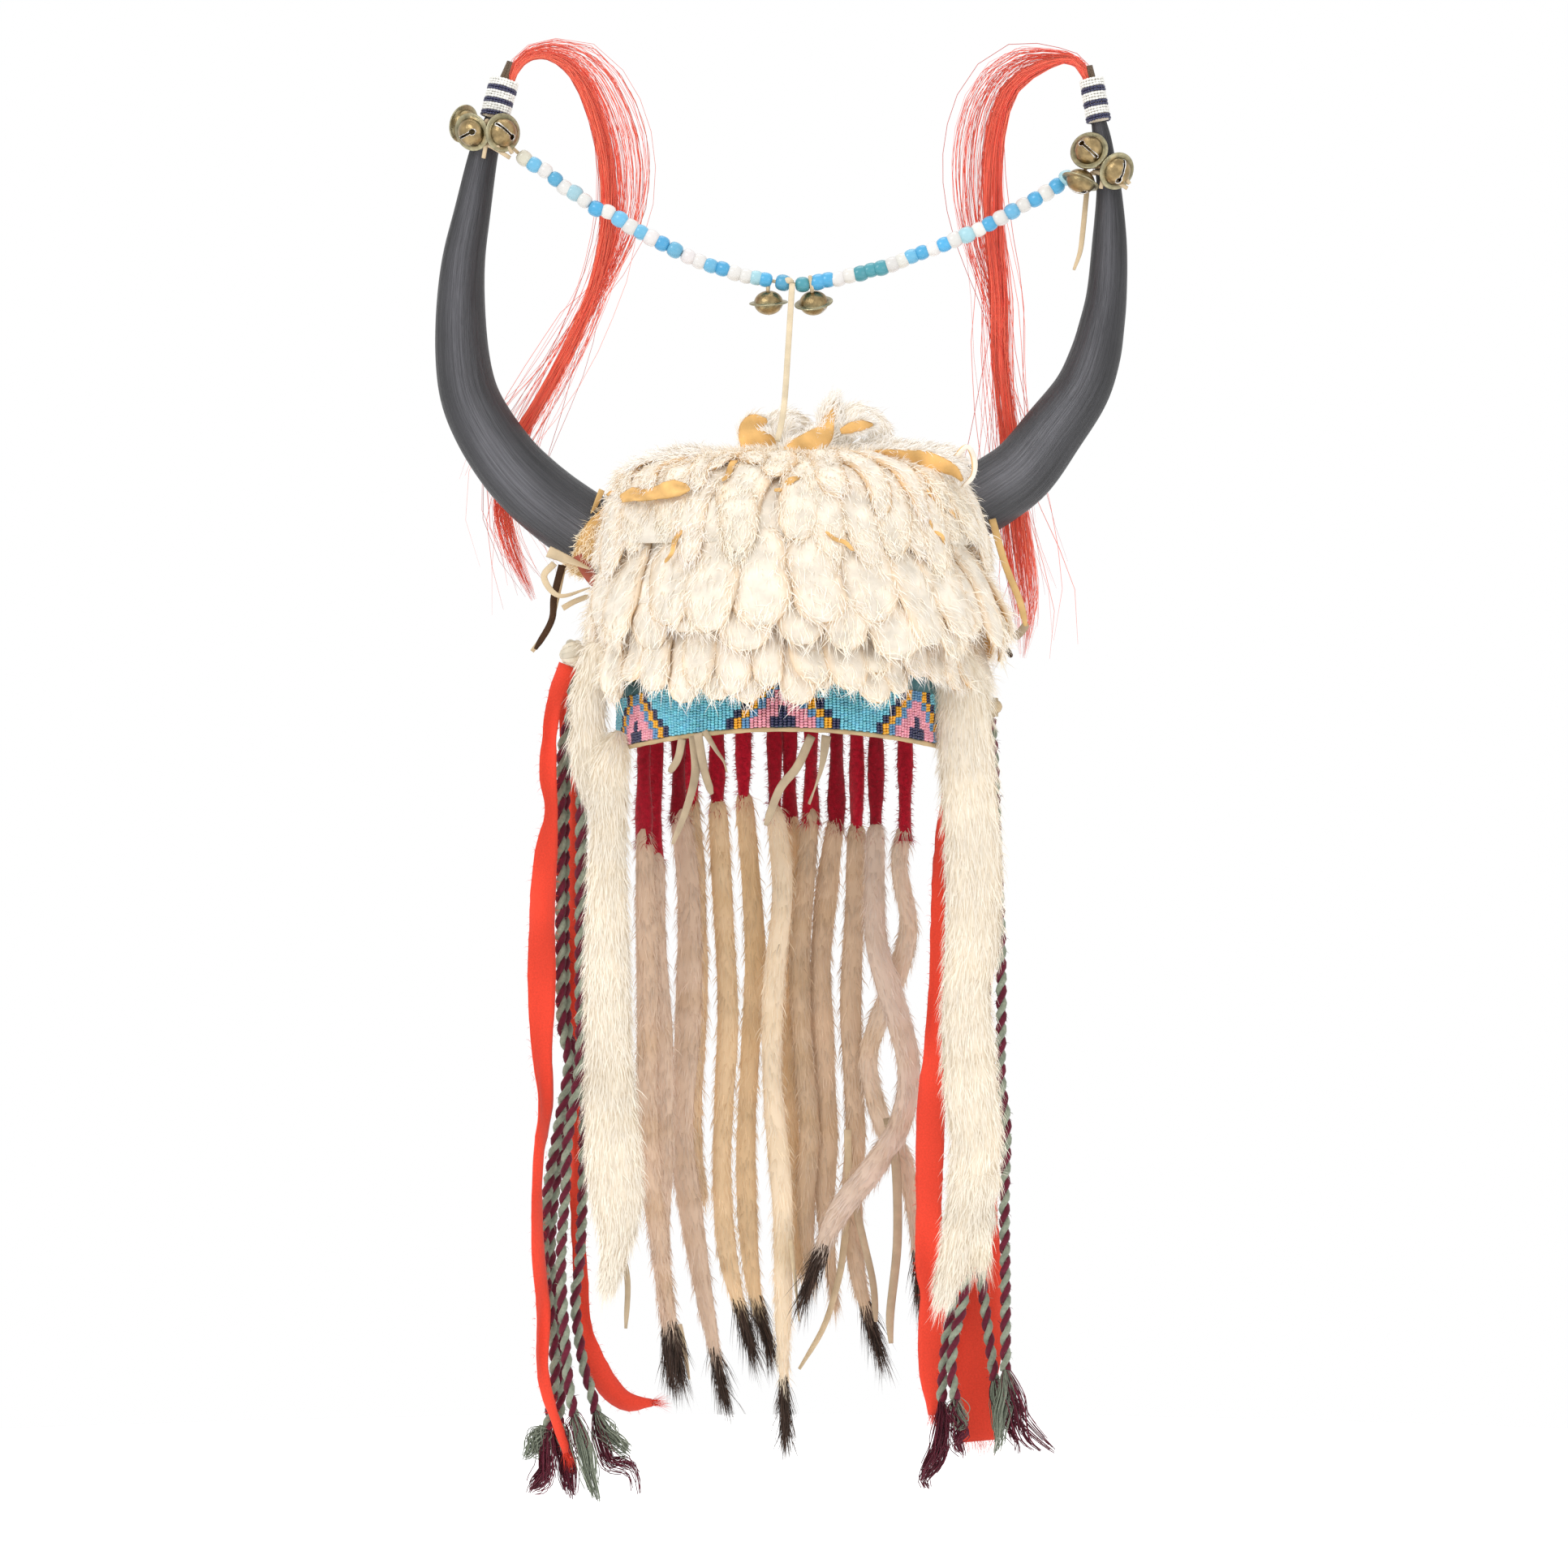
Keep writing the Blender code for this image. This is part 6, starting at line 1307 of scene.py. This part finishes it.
def ribbon(name, rows, rng):
    """A strip of cloth of two faces and frayed edges: at each station the middle line carries the width
    across."""
    line = curve(hung(rows), 110)
    turn = np.radians(line[:, 4])
    front = np.stack([np.sin(turn), -np.cos(turn), 0 * turn], axis=1)
    along = unit(np.gradient(line[:, :3], axis=0))
    across = unit(np.cross(front, along))
    out = np.cross(along, across)
    width = np.maximum(line[:, 3] * RIBBON_WIDTH, 0.0030)
    metres = metres_along(line)
    share = np.linspace(-0.5, 0.5, 7)
    ragged = np.interp(metres, np.linspace(0, metres[-1], 90), rng.normal(0, 0.0004, 90))
    curl = 0.0016 * np.sin(metres * 38 + rng.uniform(0, 6)) + 0.0009 * np.sin(metres * 90 + 1)
    x = share[None] * (width + ragged)[:, None]
    lift = (np.cos(share * np.pi * 1.3)[None] - 0.5) * curl[:, None]
    face = line[:, None, :3] + across[:, None] * x[..., None] + out[:, None] * lift[..., None]
    half = 0.00045
    grid = np.concatenate([face - out[:, None] * half, face[:, ::-1] + out[:, None] * half], axis=1)
    if (np.cross(grid[1, 0] - grid[0, 0], grid[0, 1] - grid[0, 0]) @ -out[0]) < 0:
        grid = grid[:, ::-1]
    uv_v = np.concatenate([share, share[::-1]])[None] * width[:, None]
    uv = np.stack(np.broadcast_arrays(metres[:, None], uv_v), axis=-1)
    red = np.array(bpy.context.scene.headdress_cloth.ribbon_colour) * (1.0 if name.endswith("1") else 0.9)
    worn = patches(grid, 0.05, 8)[..., None]
    sheaf = Sheaf()
    sheaf.add(grid, closed(110, 14), red * (0.90 + 0.15 * worn), uv)
    # The cloth glows a little in its own colour: painted light.
    cloth = finish_of("red_trade_cloth", 0.85, specular=0.15, sheen=0.2, mottle=(900, 0.90, 1.06),
                      grain=(2200, 0.0003), painted_glow=0.08, on_uv=True)
    obj = settle(sheaf.make(name + "_cloth", cloth), name)
    fray = Sheaf()
    count = 420
    at = rng.uniform(0, 109, count)
    i = at.astype(int)
    side = rng.choice((-1, 1), count)
    roots = line[i, :3] + across[i] * (side * width[i] * 0.49)[:, None]
    ways = unit(across[i] * side[:, None] + along[i] * rng.normal(0, 0.9, count)[:, None]
                + rng.normal(0, 0.3, (count, 3)))
    tips = unit(ways + np.array([0, 0, -0.6]))
    tint = np.broadcast_to(red, (count, 3)) * rng.uniform(0.8, 1.2, (count, 1))
    blades(fray, roots, ways, tips, rng.uniform(0.0012, 0.0042, count), np.full(count, 0.00018), tint,
           tint * 1.1, rng)
    roots = line[-1, :3] + across[-1] * rng.uniform(-0.5, 0.5, (90, 1)) * width[-1]
    ways = unit(along[-1] + rng.normal(0, 0.25, (90, 3)))
    tint = np.broadcast_to(red, (90, 3)) * rng.uniform(0.8, 1.2, (90, 1))
    blades(fray, roots, ways, ways, rng.uniform(0.004, 0.014, 90), np.full(90, 0.0002), tint, tint, rng)
    threads = fray.make(name + "_fray", finish_of("frayed_red_thread", 0.85, specular=0.15))
    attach(threads, "root")
    return obj


def wool_fringe(rng):
    """Ragged strips of red wool, each a folded strip down from the rim that holds the head of an ermine
    drop."""
    sheaf = Sheaf()
    for k, (name, rows) in enumerate(PENDANTS.items()):
        foot = hung(rows)[0, :3]
        angle = math.acos(np.clip(foot[0] / (CAP_HALF_WIDTH + 0.0035), -1, 1))
        top = around_cap(angle + np.pi / 2, 0.003, -0.132)
        bend = around_cap(angle + np.pi / 2, 0.004, -0.150)
        line = curve(np.array([top, bend, foot + (0, 0, -0.010)]), 26)
        t = np.linspace(0, 1, 26)
        wide = WOOL_WIDTH * 1.12 * (0.88 + 0.25 * np.sin(t * 7 + k) * t + rng.normal(0, 0.03, 26))
        thick = np.interp(t, (0, 0.3, 1), (0.0018, 0.0048, 0.0062))
        turn = rng.normal(0, 0.25)
        tone = np.array(bpy.context.scene.headdress_cloth.wool_colour) * (0.35 + 0.75 * rng.uniform() ** 0.7)
        turn = turn + 0.3 * np.sin(t * 5 + k)[None]
        grid = tube(sheaf, line, wide[None], thick[None], 14, tone, (0.1, -1.0, 0.0), turn, 0.8)
        coat(sheaf, grid[0], 260, 0.0030, 0.00030, 0.8, tone, tone * 1.2, rng, spread=0.6)
        for edge in ((-0.06, 0.06), (0.44, 0.56)):
            coat(sheaf, grid[0], 130, 0.0034, 0.00036, 1.0, tone, (0.60, 0.012, 0.040), rng, edge,
                 spread=0.5)
        coat(sheaf, grid[0], 90, 0.0060, 0.0003, 0.3, tone, tone * 1.2, rng, rows=(0.93, 1.0), spread=0.4)
    back = np.radians(np.linspace(10, 170, 40))
    z = np.array((-0.128, -0.128, -0.139, -0.139))
    out = np.array((0.0012, 0.0030, 0.0030, 0.0012))
    grid = around_cap(back[:, None] + np.pi / 2, out[None], np.broadcast_to(z, (40, 4)))
    sheaf.add(grid, closed(40, 4), (0.30, 0.008, 0.016))
    wool = finish_of("red_wool_cloth", 0.92, specular=0.08, sheen=0.3, mottle=(420, 0.7, 1.25),
                     grain=(1500, 0.0005))
    return settle(sheaf.make("wool_fringe_strips", wool), "wool_fringe")


# Share of the way down a drop at which its dark bristles start
DARK_TIPS = {"pendant_01": 0.93, "pendant_02": 0.94, "pendant_03": 0.92, "pendant_05": 0.92,
             "pendant_06": 0.92, "pendant_07": 0.93, "pendant_11": 0.92, "pendant_12": 0.91,
             "pendant_13": 0.91}
# Colour of each drop's fur
PENDANT_TINTS = (
    (0.66, 0.54, 0.45), (0.63, 0.51, 0.42), (0.62, 0.49, 0.39), (0.68, 0.54, 0.38), (0.72, 0.58, 0.40),
    (0.70, 0.56, 0.38), (0.82, 0.74, 0.60), (0.68, 0.53, 0.36), (0.58, 0.46, 0.34), (0.62, 0.49, 0.37),
    (0.60, 0.48, 0.37), (0.64, 0.55, 0.49), (0.66, 0.56, 0.47),
)


def furred_drop(sheaf, rows, width, depth, length, hairs, root, tip, rng, dark=None, count=60, lift=0.30,
                wobble=0.06, cloud=0.20):
    """A hanging tube of fur: an oval section carried down its route, with hair that runs down it."""
    line = curve(rows, count)
    t = np.linspace(0, 1, count)
    wide = line[:, 3] * width * 0.86 * (1 + wobble * np.sin(t * rng.uniform(14, 24) + rng.uniform(0, 6)))
    wide = np.maximum(wide, width * THINNEST_DROP) * np.interp(t, (0, 0.008, 0.03), (0.35, 0.8, 1.0))
    shade = patches(line[:, :3] * (1, 1, 2), 0.09, int(rng.integers(99)))[:, None]
    # Painted shade: in patches the fur turns darker and tan, as in creases between tufts; cloud sets how
    # strong.
    spots = patches(line[:, :3], 0.022, int(rng.integers(99)))[:, None]
    painted_crease_shade = np.clip(spots - 0.55, 0, 1) * 8 * cloud
    tone = np.array(root) * (0.97 + 0.08 * shade) * (1 - (0.10, 0.14, 0.22) * painted_crease_shade)
    if dark is not None:
        black = np.clip((t - dark) / 0.02, 0, 1)[:, None]
        tone = tone * (1 - black) + np.array(DARK_BRISTLE) * black
    grid = tube(sheaf, line[None, :, :3], wide[None], wide[None] * depth, 14, tone[None, :, None])[0]
    seed = int(rng.integers(99))

    def near(roots, u):
        cloudy = 1 - 0.6 * cloud + cloud * patches(roots, 0.026, seed)[:, None]
        return np.stack([np.interp(u, t, tone[:, k]) for k in range(3)], axis=1) * cloudy

    def far(roots, u):
        return near(roots, u) * np.array(tip)

    coat(sheaf, grid, hairs, length, 0.00056, lift, near, far, rng, spread=0.17, fall=0.25)
    if dark is not None:
        ink = np.array(BRISTLE_INK)
        coat(sheaf, grid, 300, 0.024, 0.00046, 0.16, ink, ink * 2.2, rng, rows=(dark - 0.012, 1.0),
             spread=0.15, fall=0.3, shade=0.4)
    else:
        coat(sheaf, grid, 120, length * 1.8, 0.00036, 0.15, near, far, rng, rows=(0.94, 1.0), spread=0.14)
    return grid


def pendants(rng):
    """Long soft tubes of ermine, thirteen, most with dark bristled ends."""
    made = []
    for name, rows in PENDANTS.items():
        sheaf = Sheaf()
        root = np.array(PENDANT_TINTS[int(name[-2:]) - 1]) * (0.92, 0.84, 0.76)
        metres = hung(rows)
        metres[:, 3] *= 1.12
        furred_drop(sheaf, metres, PENDANT_WIDTH, 0.78, 0.0085, 2200, root, (1.09, 1.19, 1.32), rng,
                    DARK_TIPS.get(name))
        made.append(settle(sheaf.make(name + "_fur", fur_finish()), name))
    return made


def side_ermines(rng):
    """Whole ermine skins at the two sides: flat and broad, white, with hair that runs down."""
    for name, rows in SIDE_ERMINES.items():
        sheaf = Sheaf()
        metres = hung(rows)
        tail = "tail" in name
        furred_drop(sheaf, metres, SIDE_WIDTH, SIDE_DEPTH, 0.011, 2300 if tail else 9500, ERMINE_ROOT,
                    ERMINE_TIP, rng, None, 80, 0.38, wobble=0.03, cloud=0.08)
        if name == "side_ermine_right":
            leg = metres[-4:-1] + ((0.004, 0, 0.006, 0), (0.010, 0, 0, -0.16), (0.014, 0, 0.004, -0.14))
            furred_drop(sheaf, leg, SIDE_WIDTH, SIDE_DEPTH, 0.011, 1500, ERMINE_ROOT, ERMINE_TIP, rng, None,
                        24)
        settle(sheaf.make(name + "_fur", fur_finish()), name)


def thong(name, rows):
    """A flat thong along its route, a little rounded at its edges."""
    sheaf = Sheaf()
    metres = hung(rows)
    line = curve(metres, 40)
    tint = LIGHT_THONG if name == "middle_thong" else (0.60, 0.46, 0.29)
    tube(sheaf, line[:, :3], line[None, :, 3] * THONG_WIDTH, 0.0014, 10, tint, (0.2, -1.0, 0.0), 0.0, 0.7)
    return settle(sheaf.make(name + "_hide", hide_finish()), name)


# Loose ends of thong: places in the picture's pixels, depth and width in metres, and which tint
LOOSE_THONGS = (
    (((857, 908), (859, 953), (848, 997), (832, 1038)), -0.098, 0.0056, 0),
    (((862, 905), (870, 950), (879, 978)), -0.102, 0.0050, 0),
    (((843, 912), (838, 935), (828, 952)), -0.094, 0.0046, 0),
    (((870, 902), (884, 925), (893, 938), (897, 951)), -0.104, 0.0036, 0),
    (((999, 908), (982, 945), (961, 972), (944, 1016)), -0.107, 0.0052, 0),
    (((1017, 908), (1010, 950), (996, 990)), -0.106, 0.0056, 0),
    (((1046, 1400), (1047, 1480), (1040, 1558), (1031, 1603), (1015, 1651), (985, 1702)), 0.095, 0.0046, 1),
    (((1096, 1385), (1106, 1442), (1108, 1540), (1099, 1630), (1100, 1667)), 0.080, 0.0056, 0),
    (((1052, 1480), (1066, 1540), (1078, 1594), (1081, 1640)), 0.085, 0.0046, 0),
    (((974, 1537), (980, 1590), (985, 1640)), 0.080, 0.0030, 1),
    (((834, 1640), (842, 1675), (848, 1708)), 0.055, 0.0046, 1),
    (((752, 1440), (764, 1520), (775, 1570), (773, 1630)), -0.046, 0.0040, 0),
    (((694, 750), (708, 742), (726, 735)), -0.012, 0.0034, 1),
    (((684, 695), (671, 712), (690, 735), (728, 725)), -0.016, 0.0040, 1),
    (((693, 697), (683, 735), (680, 765), (660, 800)), -0.004, 0.0044, 2),
    (((1237, 795), (1243, 800), (1248, 809)), 0.028, 0.0034, 2),
    (((676, 680), (700, 690), (728, 702)), -0.010, 0.0068, 1),
    (((714, 684), (724, 704), (736, 722)), -0.012, 0.0080, 4),
    (((742, 604), (728, 638), (714, 674)), -0.006, 0.0036, 3),
    (((1222, 640), (1238, 696), (1256, 742), (1263, 772)), -0.008, 0.0044, 3),
    (((1250, 786), (1258, 778), (1265, 768)), -0.004, 0.0050, 0),
    (((948.5, 345), (947.5, 356), (947, 366)), -0.0095, 0.0014, 1),
    (((999.5, 345), (1001, 356), (1002, 366)), -0.0085, 0.0014, 1),
)


def loose_thongs(rng):
    """Loose ends of hide thong that hang below the rim and among the drops."""
    tints = np.array(((0.45, 0.35, 0.235), PALE_THONG, (0.07, 0.035, 0.018), (0.66, 0.43, 0.18),
                      (0.42, 0.12, 0.08)))
    sheaf = Sheaf()
    for places, back, wide, kind in LOOSE_THONGS:
        line = curve(seen(places, back + 0.003 * rng.normal(size=len(places))), 24)
        wide = wide * np.interp(np.linspace(0, 1, 24), (0, 0.9, 1), (1, 0.9, 0.5))
        turn = np.linspace(0, rng.uniform(-2, 2), 24)
        tube(sheaf, line, wide[None], 0.0011, 8, tints[kind], (0.2, -1.0, 0.0), turn[None], 0.8)
    return settle(sheaf.make("loose_thongs", hide_finish()))


def knot(name, node, rng, tint):
    """A lashed knot: turns of thong wound round the middle of the solid that it stands for."""
    low, high = (np.array(corner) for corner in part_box(node))
    middle, half = (low + high) / 2, (high - low) / 2
    sheaf = Sheaf()
    for k in range(7):
        a = np.linspace(0, 2 * np.pi, 40)
        level = (k - 3) / 3.4 * half[2]
        swell = math.sqrt(max(0.12, 1 - (level / half[2]) ** 2)) * 0.9
        loop = middle + np.stack([half[0] * swell * np.cos(a), half[1] * swell * np.sin(a),
                                  level + 0.0012 * np.sin(a * 2 + k)], axis=1)
        tube(sheaf, loop, 0.0034, 0.0044, 8, np.array(tint) * rng.uniform(0.85, 1.1), (0, 0, 1))
    core = middle + np.array([[0, 0, -half[2] * 0.8], [0, 0, 0], [0, 0, half[2] * 0.8]])
    tube(sheaf, curve(core, 6), half[0] * 1.7, half[1] * 1.7, 16, np.array(tint) * 0.8)
    return settle(sheaf.make(name, hide_finish()), node)


def collar(side, node, rng):
    """Golden hide edge and fur round the root of a horn."""
    rows = raised(HORNS[side])
    row = rows[16] if side == "left" else rows[15] * 0.35 + rows[16] * 0.65
    along = unit((rows[17] - rows[14])[:3] * (1, 0, 1))
    across = np.cross(along, (0, 1, 0))
    width = row[3] * HORN_WIDTH
    a = np.linspace(0, 2 * np.pi, 49)
    sheaf = Sheaf()
    for k, (shift, proud, wide) in enumerate(((-0.003, 0.0015, 0.007), (0.003, 0.003, 0.009))):
        centre = row[:3] + along * shift
        loop = centre + across * ((width / 2 + proud) * np.cos(a))[:, None]
        deep = (HORN_BULGE * width + proud) * np.sin(a) * np.where(np.sin(a) > 0, 1, 0.25)
        loop = loop + np.array([0, 1.0, 0]) * (HORN_BULGE * width / 2 - deep)[:, None]
        loop = loop + along * (0.0018 * np.sin(3 * a + k))[:, None]
        out = unit(loop - centre)
        grid = tube(sheaf, loop, wide, 0.0022, 10, np.array(GOLDEN_HIDE) * (1 - 0.15 * k), out, 0.0,
                    0.7, 1)[0]
        coat(sheaf, grid, 800, 0.0055, 0.0005, 0.5, (0.74, 0.56, 0.32),
             (0.93, 0.84, 0.68), rng, (0.0, 0.5), spread=0.6)
    return settle(sheaf.make(f"horn_collar_{side}_hide", fur_finish(), hide_finish()), node)


def colour_of(name, description, default):
    return bpy.props.FloatVectorProperty(name=name, description=description, subtype="COLOR",
                                         default=default, min=0, max=1)


class FurLooks(bpy.types.PropertyGroup):
    root_colour: colour_of("Fur root", "Colour of the white fur at its roots", (0.84, 0.765, 0.655))
    tip_colour: colour_of("Fur tip", "Colour of the white fur at its tips", (0.865, 0.865, 0.865))
    skin_colour: colour_of("Skin", "Colour of the bare side of the fur strips", (0.74, 0.44, 0.16))
    fullness: bpy.props.FloatProperty(name="Fullness", description="Share of the fur's usual number of hairs",
                                      default=1.0, min=0.1, max=2.0)


class HornLooks(bpy.types.PropertyGroup):
    horn_colour: colour_of("Horn", "Colour of the horn", (0.052, 0.050, 0.052))
    stub_colour: colour_of("Tip stub", "Colour of the bare end above the cuff", (0.24, 0.165, 0.11))


class PlumeLooks(bpy.types.PropertyGroup):
    deep_colour: colour_of("Deep red", "Darkest colour of the dyed hair", (0.60, 0.040, 0.026))
    pale_colour: colour_of("Pale red", "Palest colour of the dyed hair", (0.98, 0.20, 0.11))
    hairs: bpy.props.IntProperty(name="Hairs", description="Hairs in a plume", default=380, min=10)


class BellLooks(bpy.types.PropertyGroup):
    brass_colour: colour_of("Brass", "Colour of the bells' domes", (0.38, 0.275, 0.135))
    rim_colour: colour_of("Flange", "Colour of the bells' flanges", (0.42, 0.38, 0.24))


class ClothLooks(bpy.types.PropertyGroup):
    ribbon_colour: colour_of("Ribbon", "Colour of the ribbons", (0.78, 0.060, 0.030))
    wool_colour: colour_of("Wool", "Brightest colour of the wool strips", (0.50, 0.008, 0.028))
    dark_yarn: colour_of("Dark ply", "Colour of the yarns' dark ply", (0.125, 0.014, 0.030))
    pale_yarn: colour_of("Pale ply", "Colour of the yarns' pale ply", (0.25, 0.28, 0.21))


class StageLooks(bpy.types.PropertyGroup):
    floor_drop: bpy.props.FloatProperty(name="Floor drop",
                                        description="Gap between the lowest fibre and the floor",
                                        default=0.05, min=0.0, unit="LENGTH")
    key_power: bpy.props.FloatProperty(name="Key light",
                                       description="Power of the large light at the upper left",
                                       default=34.0, min=0.0, unit="POWER")


class HEADDRESS_OT_cap_fur(bpy.types.Operator):
    """Make the fur strips of the cap, its three tiers and the topknot"""

    bl_idname = "headdress.cap_fur"
    bl_label = "Cap fur"

    def execute(self, context):
        rng = np.random.default_rng(7)
        fur_crown(rng)
        fur_tier("fur_middle_strips", MIDDLE_FORM, 24, 0.033, (0.90, 1.12), 0.0090, 900, 0.009,
                 "fur_middle", rng)
        fur_tier("fur_lower_strips", LOWER_FORM, 32, 0.022, (0.84, 1.08), 0.0085, 560, 0.004, "fur_lower",
                 rng)
        topknot(rng)
        return {"FINISHED"}


class HEADDRESS_OT_horns(bpy.types.Operator):
    """Make the two split horns and the hide round their roots"""

    bl_idname = "headdress.horns"
    bl_label = "Horns"

    def execute(self, context):
        rng = np.random.default_rng(8)
        for side, rows in HORNS.items():
            horn(f"horn_{side}_wall", rows, f"horn_{side}")
            collar(side, f"horn_collar_{side}", rng)
        return {"FINISHED"}


class HEADDRESS_OT_beadwork(bpy.types.Operator):
    """Make the brow band, the bead cuffs and the string of glass beads"""

    bl_idname = "headdress.beadwork"
    bl_label = "Beadwork"

    def execute(self, context):
        brow_band()
        for side, rows in HORNS.items():
            cuff(side, rows)
            bell_tie(side, rows)
        bead_string()
        return {"FINISHED"}


class HEADDRESS_OT_bells(bpy.types.Operator):
    """Make the eight brass bells"""

    bl_idname = "headdress.bells"
    bl_label = "Bells"

    def execute(self, context):
        for row in BELLS:
            bell(*row)
        return {"FINISHED"}


class HEADDRESS_OT_plumes(bpy.types.Operator):
    """Make the two horsehair plumes"""

    bl_idname = "headdress.plumes"
    bl_label = "Plumes"

    def execute(self, context):
        rng = np.random.default_rng(9)
        for name, rows in PLUMES.items():
            plume(name, rows, rng)
        return {"FINISHED"}


class HEADDRESS_OT_drops(bpy.types.Operator):
    """Make the ermine drops, the wool strips, the ribbons, the yarns and the thongs"""

    bl_idname = "headdress.drops"
    bl_label = "Drops"

    def execute(self, context):
        rng = np.random.default_rng(10)
        wool_fringe(rng)
        pendants(rng)
        side_ermines(rng)
        for name, rows in RIBBONS.items():
            ribbon(name, rows, rng)
        for name, rows in YARNS.items():
            yarn(name, rows, YARN_ENDS[name], rng)
        for name, rows in THONGS.items():
            thong(name, rows)
        loose_thongs(rng)
        knot("side_knot_left_lashing", "side_knot_left", rng, (0.78, 0.70, 0.56))
        knot("side_knot_right_lashing", "side_knot_right", rng, (0.52, 0.40, 0.25))
        return {"FINISHED"}


class HEADDRESS_OT_cap(bpy.types.Operator):
    """Give the hide cap its finish"""

    bl_idname = "headdress.cap"
    bl_label = "Hide cap"

    def execute(self, context):
        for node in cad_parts.values():
            node.data.materials.clear()
            node.data.materials.append(cap_finish())
        return {"FINISHED"}


def cap_finish():
    """Old tanned hide: brown, mottled over 30 mm, with a fine grain."""
    material = bpy.data.materials.get("cap_hide")
    if material:
        return material
    material = bpy.data.materials.new("cap_hide")
    material.use_nodes = True
    nodes, links = material.node_tree.nodes, material.node_tree.links
    shader = nodes["Principled BSDF"]
    shader.inputs["Roughness"].default_value = 0.8
    shader.inputs["Specular IOR Level"].default_value = 0.25
    place = nodes.new("ShaderNodeTexCoord").outputs["Object"]
    ramp = nodes.new("ShaderNodeValToRGB")
    ramp.color_ramp.elements[0].position = 0.3
    ramp.color_ramp.elements[0].color = (0.22, 0.12, 0.05, 1)
    ramp.color_ramp.elements[1].position = 0.7
    ramp.color_ramp.elements[1].color = (0.44, 0.28, 0.13, 1)
    links.new(noise_of(nodes, links, place, 60, 6), ramp.inputs["Fac"])
    links.new(ramp.outputs["Color"], shader.inputs["Base Color"])
    bump_of(nodes, links, noise_of(nodes, links, place, 900, 2), 0.0004, shader)
    return material


class HEADDRESS_OT_stage(bpy.types.Operator):
    """Make the pale floor, the lights and the camera"""

    bl_idname = "headdress.stage"
    bl_label = "Stage"

    def execute(self, context):
        looks = context.scene.headdress_stage
        scene = context.scene
        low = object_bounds()[0].z - looks.floor_drop
        ring = np.linspace(0, 2 * np.pi, 97)[:-1]
        radius = np.array((0.02, 0.4, 0.8, 1.25))[:, None]
        grid = np.stack(np.broadcast_arrays(radius * np.cos(ring), radius * np.sin(ring), low), axis=-1)
        sheaf = Sheaf()
        sheaf.add(grid[::-1], [net(4, 96), (288 + np.arange(96))[None]], (0.90, 0.90, 0.90))
        floor = sheaf.make("floor", finish_of("pale_floor", 0.9, specular=0.1, mottle=(0, 1, 1)))
        shader = floor.data.materials[0].node_tree.nodes["Principled BSDF"]
        shader.inputs["Emission Color"].default_value = (1, 1, 1, 1)
        shader.inputs["Emission Strength"].default_value = 0.35
        floor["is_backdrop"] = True
        world = bpy.data.worlds.new("soft_studio")
        world.use_nodes = True
        world.node_tree.nodes["Background"].inputs["Color"].default_value = (1, 1, 1, 1)
        world.node_tree.nodes["Background"].inputs["Strength"].default_value = 1.0
        scene.world = world
        for name, place, size, power in (("key_light", (-1.6, -2.6, 1.9), 1.6, looks.key_power),
                                         ("fill_light", (2.4, -2.6, 0.4), 2.2, looks.key_power * 0.35),
                                         ("top_light", (0.0, 0.6, 2.6), 1.6, looks.key_power * 0.45)):
            data = bpy.data.lights.new(name, "AREA")
            data.energy, data.size = power, size
            light = bpy.data.objects.new(name, data)
            light.location = place
            aim = mathutils.Vector((0, 0, -0.15)) - mathutils.Vector(place)
            light.rotation_euler = aim.to_track_quat("-Z", "Y").to_euler()
            scene.collection.objects.link(light)
        data = bpy.data.cameras.new("camera")
        distance, picture_width, sensor = 4.5, 0.904, 36.0
        data.sensor_width, data.lens = sensor, sensor * distance / picture_width
        camera = bpy.data.objects.new("camera", data)
        camera.location = (-0.0005, -distance, -0.1783)
        camera.rotation_euler = (math.pi / 2, 0, 0)
        data.clip_start, data.clip_end = 0.1, 50
        scene.collection.objects.link(camera)
        scene.camera = camera
        scene.view_settings.view_transform = "Standard"
        return {"FINISHED"}


PIECES = (
    HEADDRESS_OT_cap,
    HEADDRESS_OT_horns,
    HEADDRESS_OT_beadwork,
    HEADDRESS_OT_bells,
    HEADDRESS_OT_plumes,
    HEADDRESS_OT_drops,
    HEADDRESS_OT_cap_fur,
    HEADDRESS_OT_stage,
)


class HEADDRESS_PT_panel(bpy.types.Panel):
    """Lists the steps that make the headdress"""

    bl_label = "Headdress"
    bl_idname = "HEADDRESS_PT_panel"
    bl_space_type = "VIEW_3D"
    bl_region_type = "UI"
    bl_category = "Headdress"

    def draw(self, context):
        for piece in PIECES:
            self.layout.operator(piece.bl_idname)


LOOKS = {"headdress_fur": FurLooks, "headdress_horns": HornLooks, "headdress_plumes": PlumeLooks,
         "headdress_bells": BellLooks, "headdress_cloth": ClothLooks, "headdress_stage": StageLooks}
CLASSES = (*LOOKS.values(), *PIECES, HEADDRESS_PT_panel)


def register():
    for kind in CLASSES:
        bpy.utils.register_class(kind)
    for name, kind in LOOKS.items():
        setattr(bpy.types.Scene, name, bpy.props.PointerProperty(type=kind))


def unregister():
    for name in LOOKS:
        delattr(bpy.types.Scene, name)
    for kind in reversed(CLASSES):
        bpy.utils.unregister_class(kind)


def main():
    register()
    for piece in PIECES:
        group, name = piece.bl_idname.split(".")
        getattr(getattr(bpy.ops, group), name)()


if __name__ == "__main__":
    main()
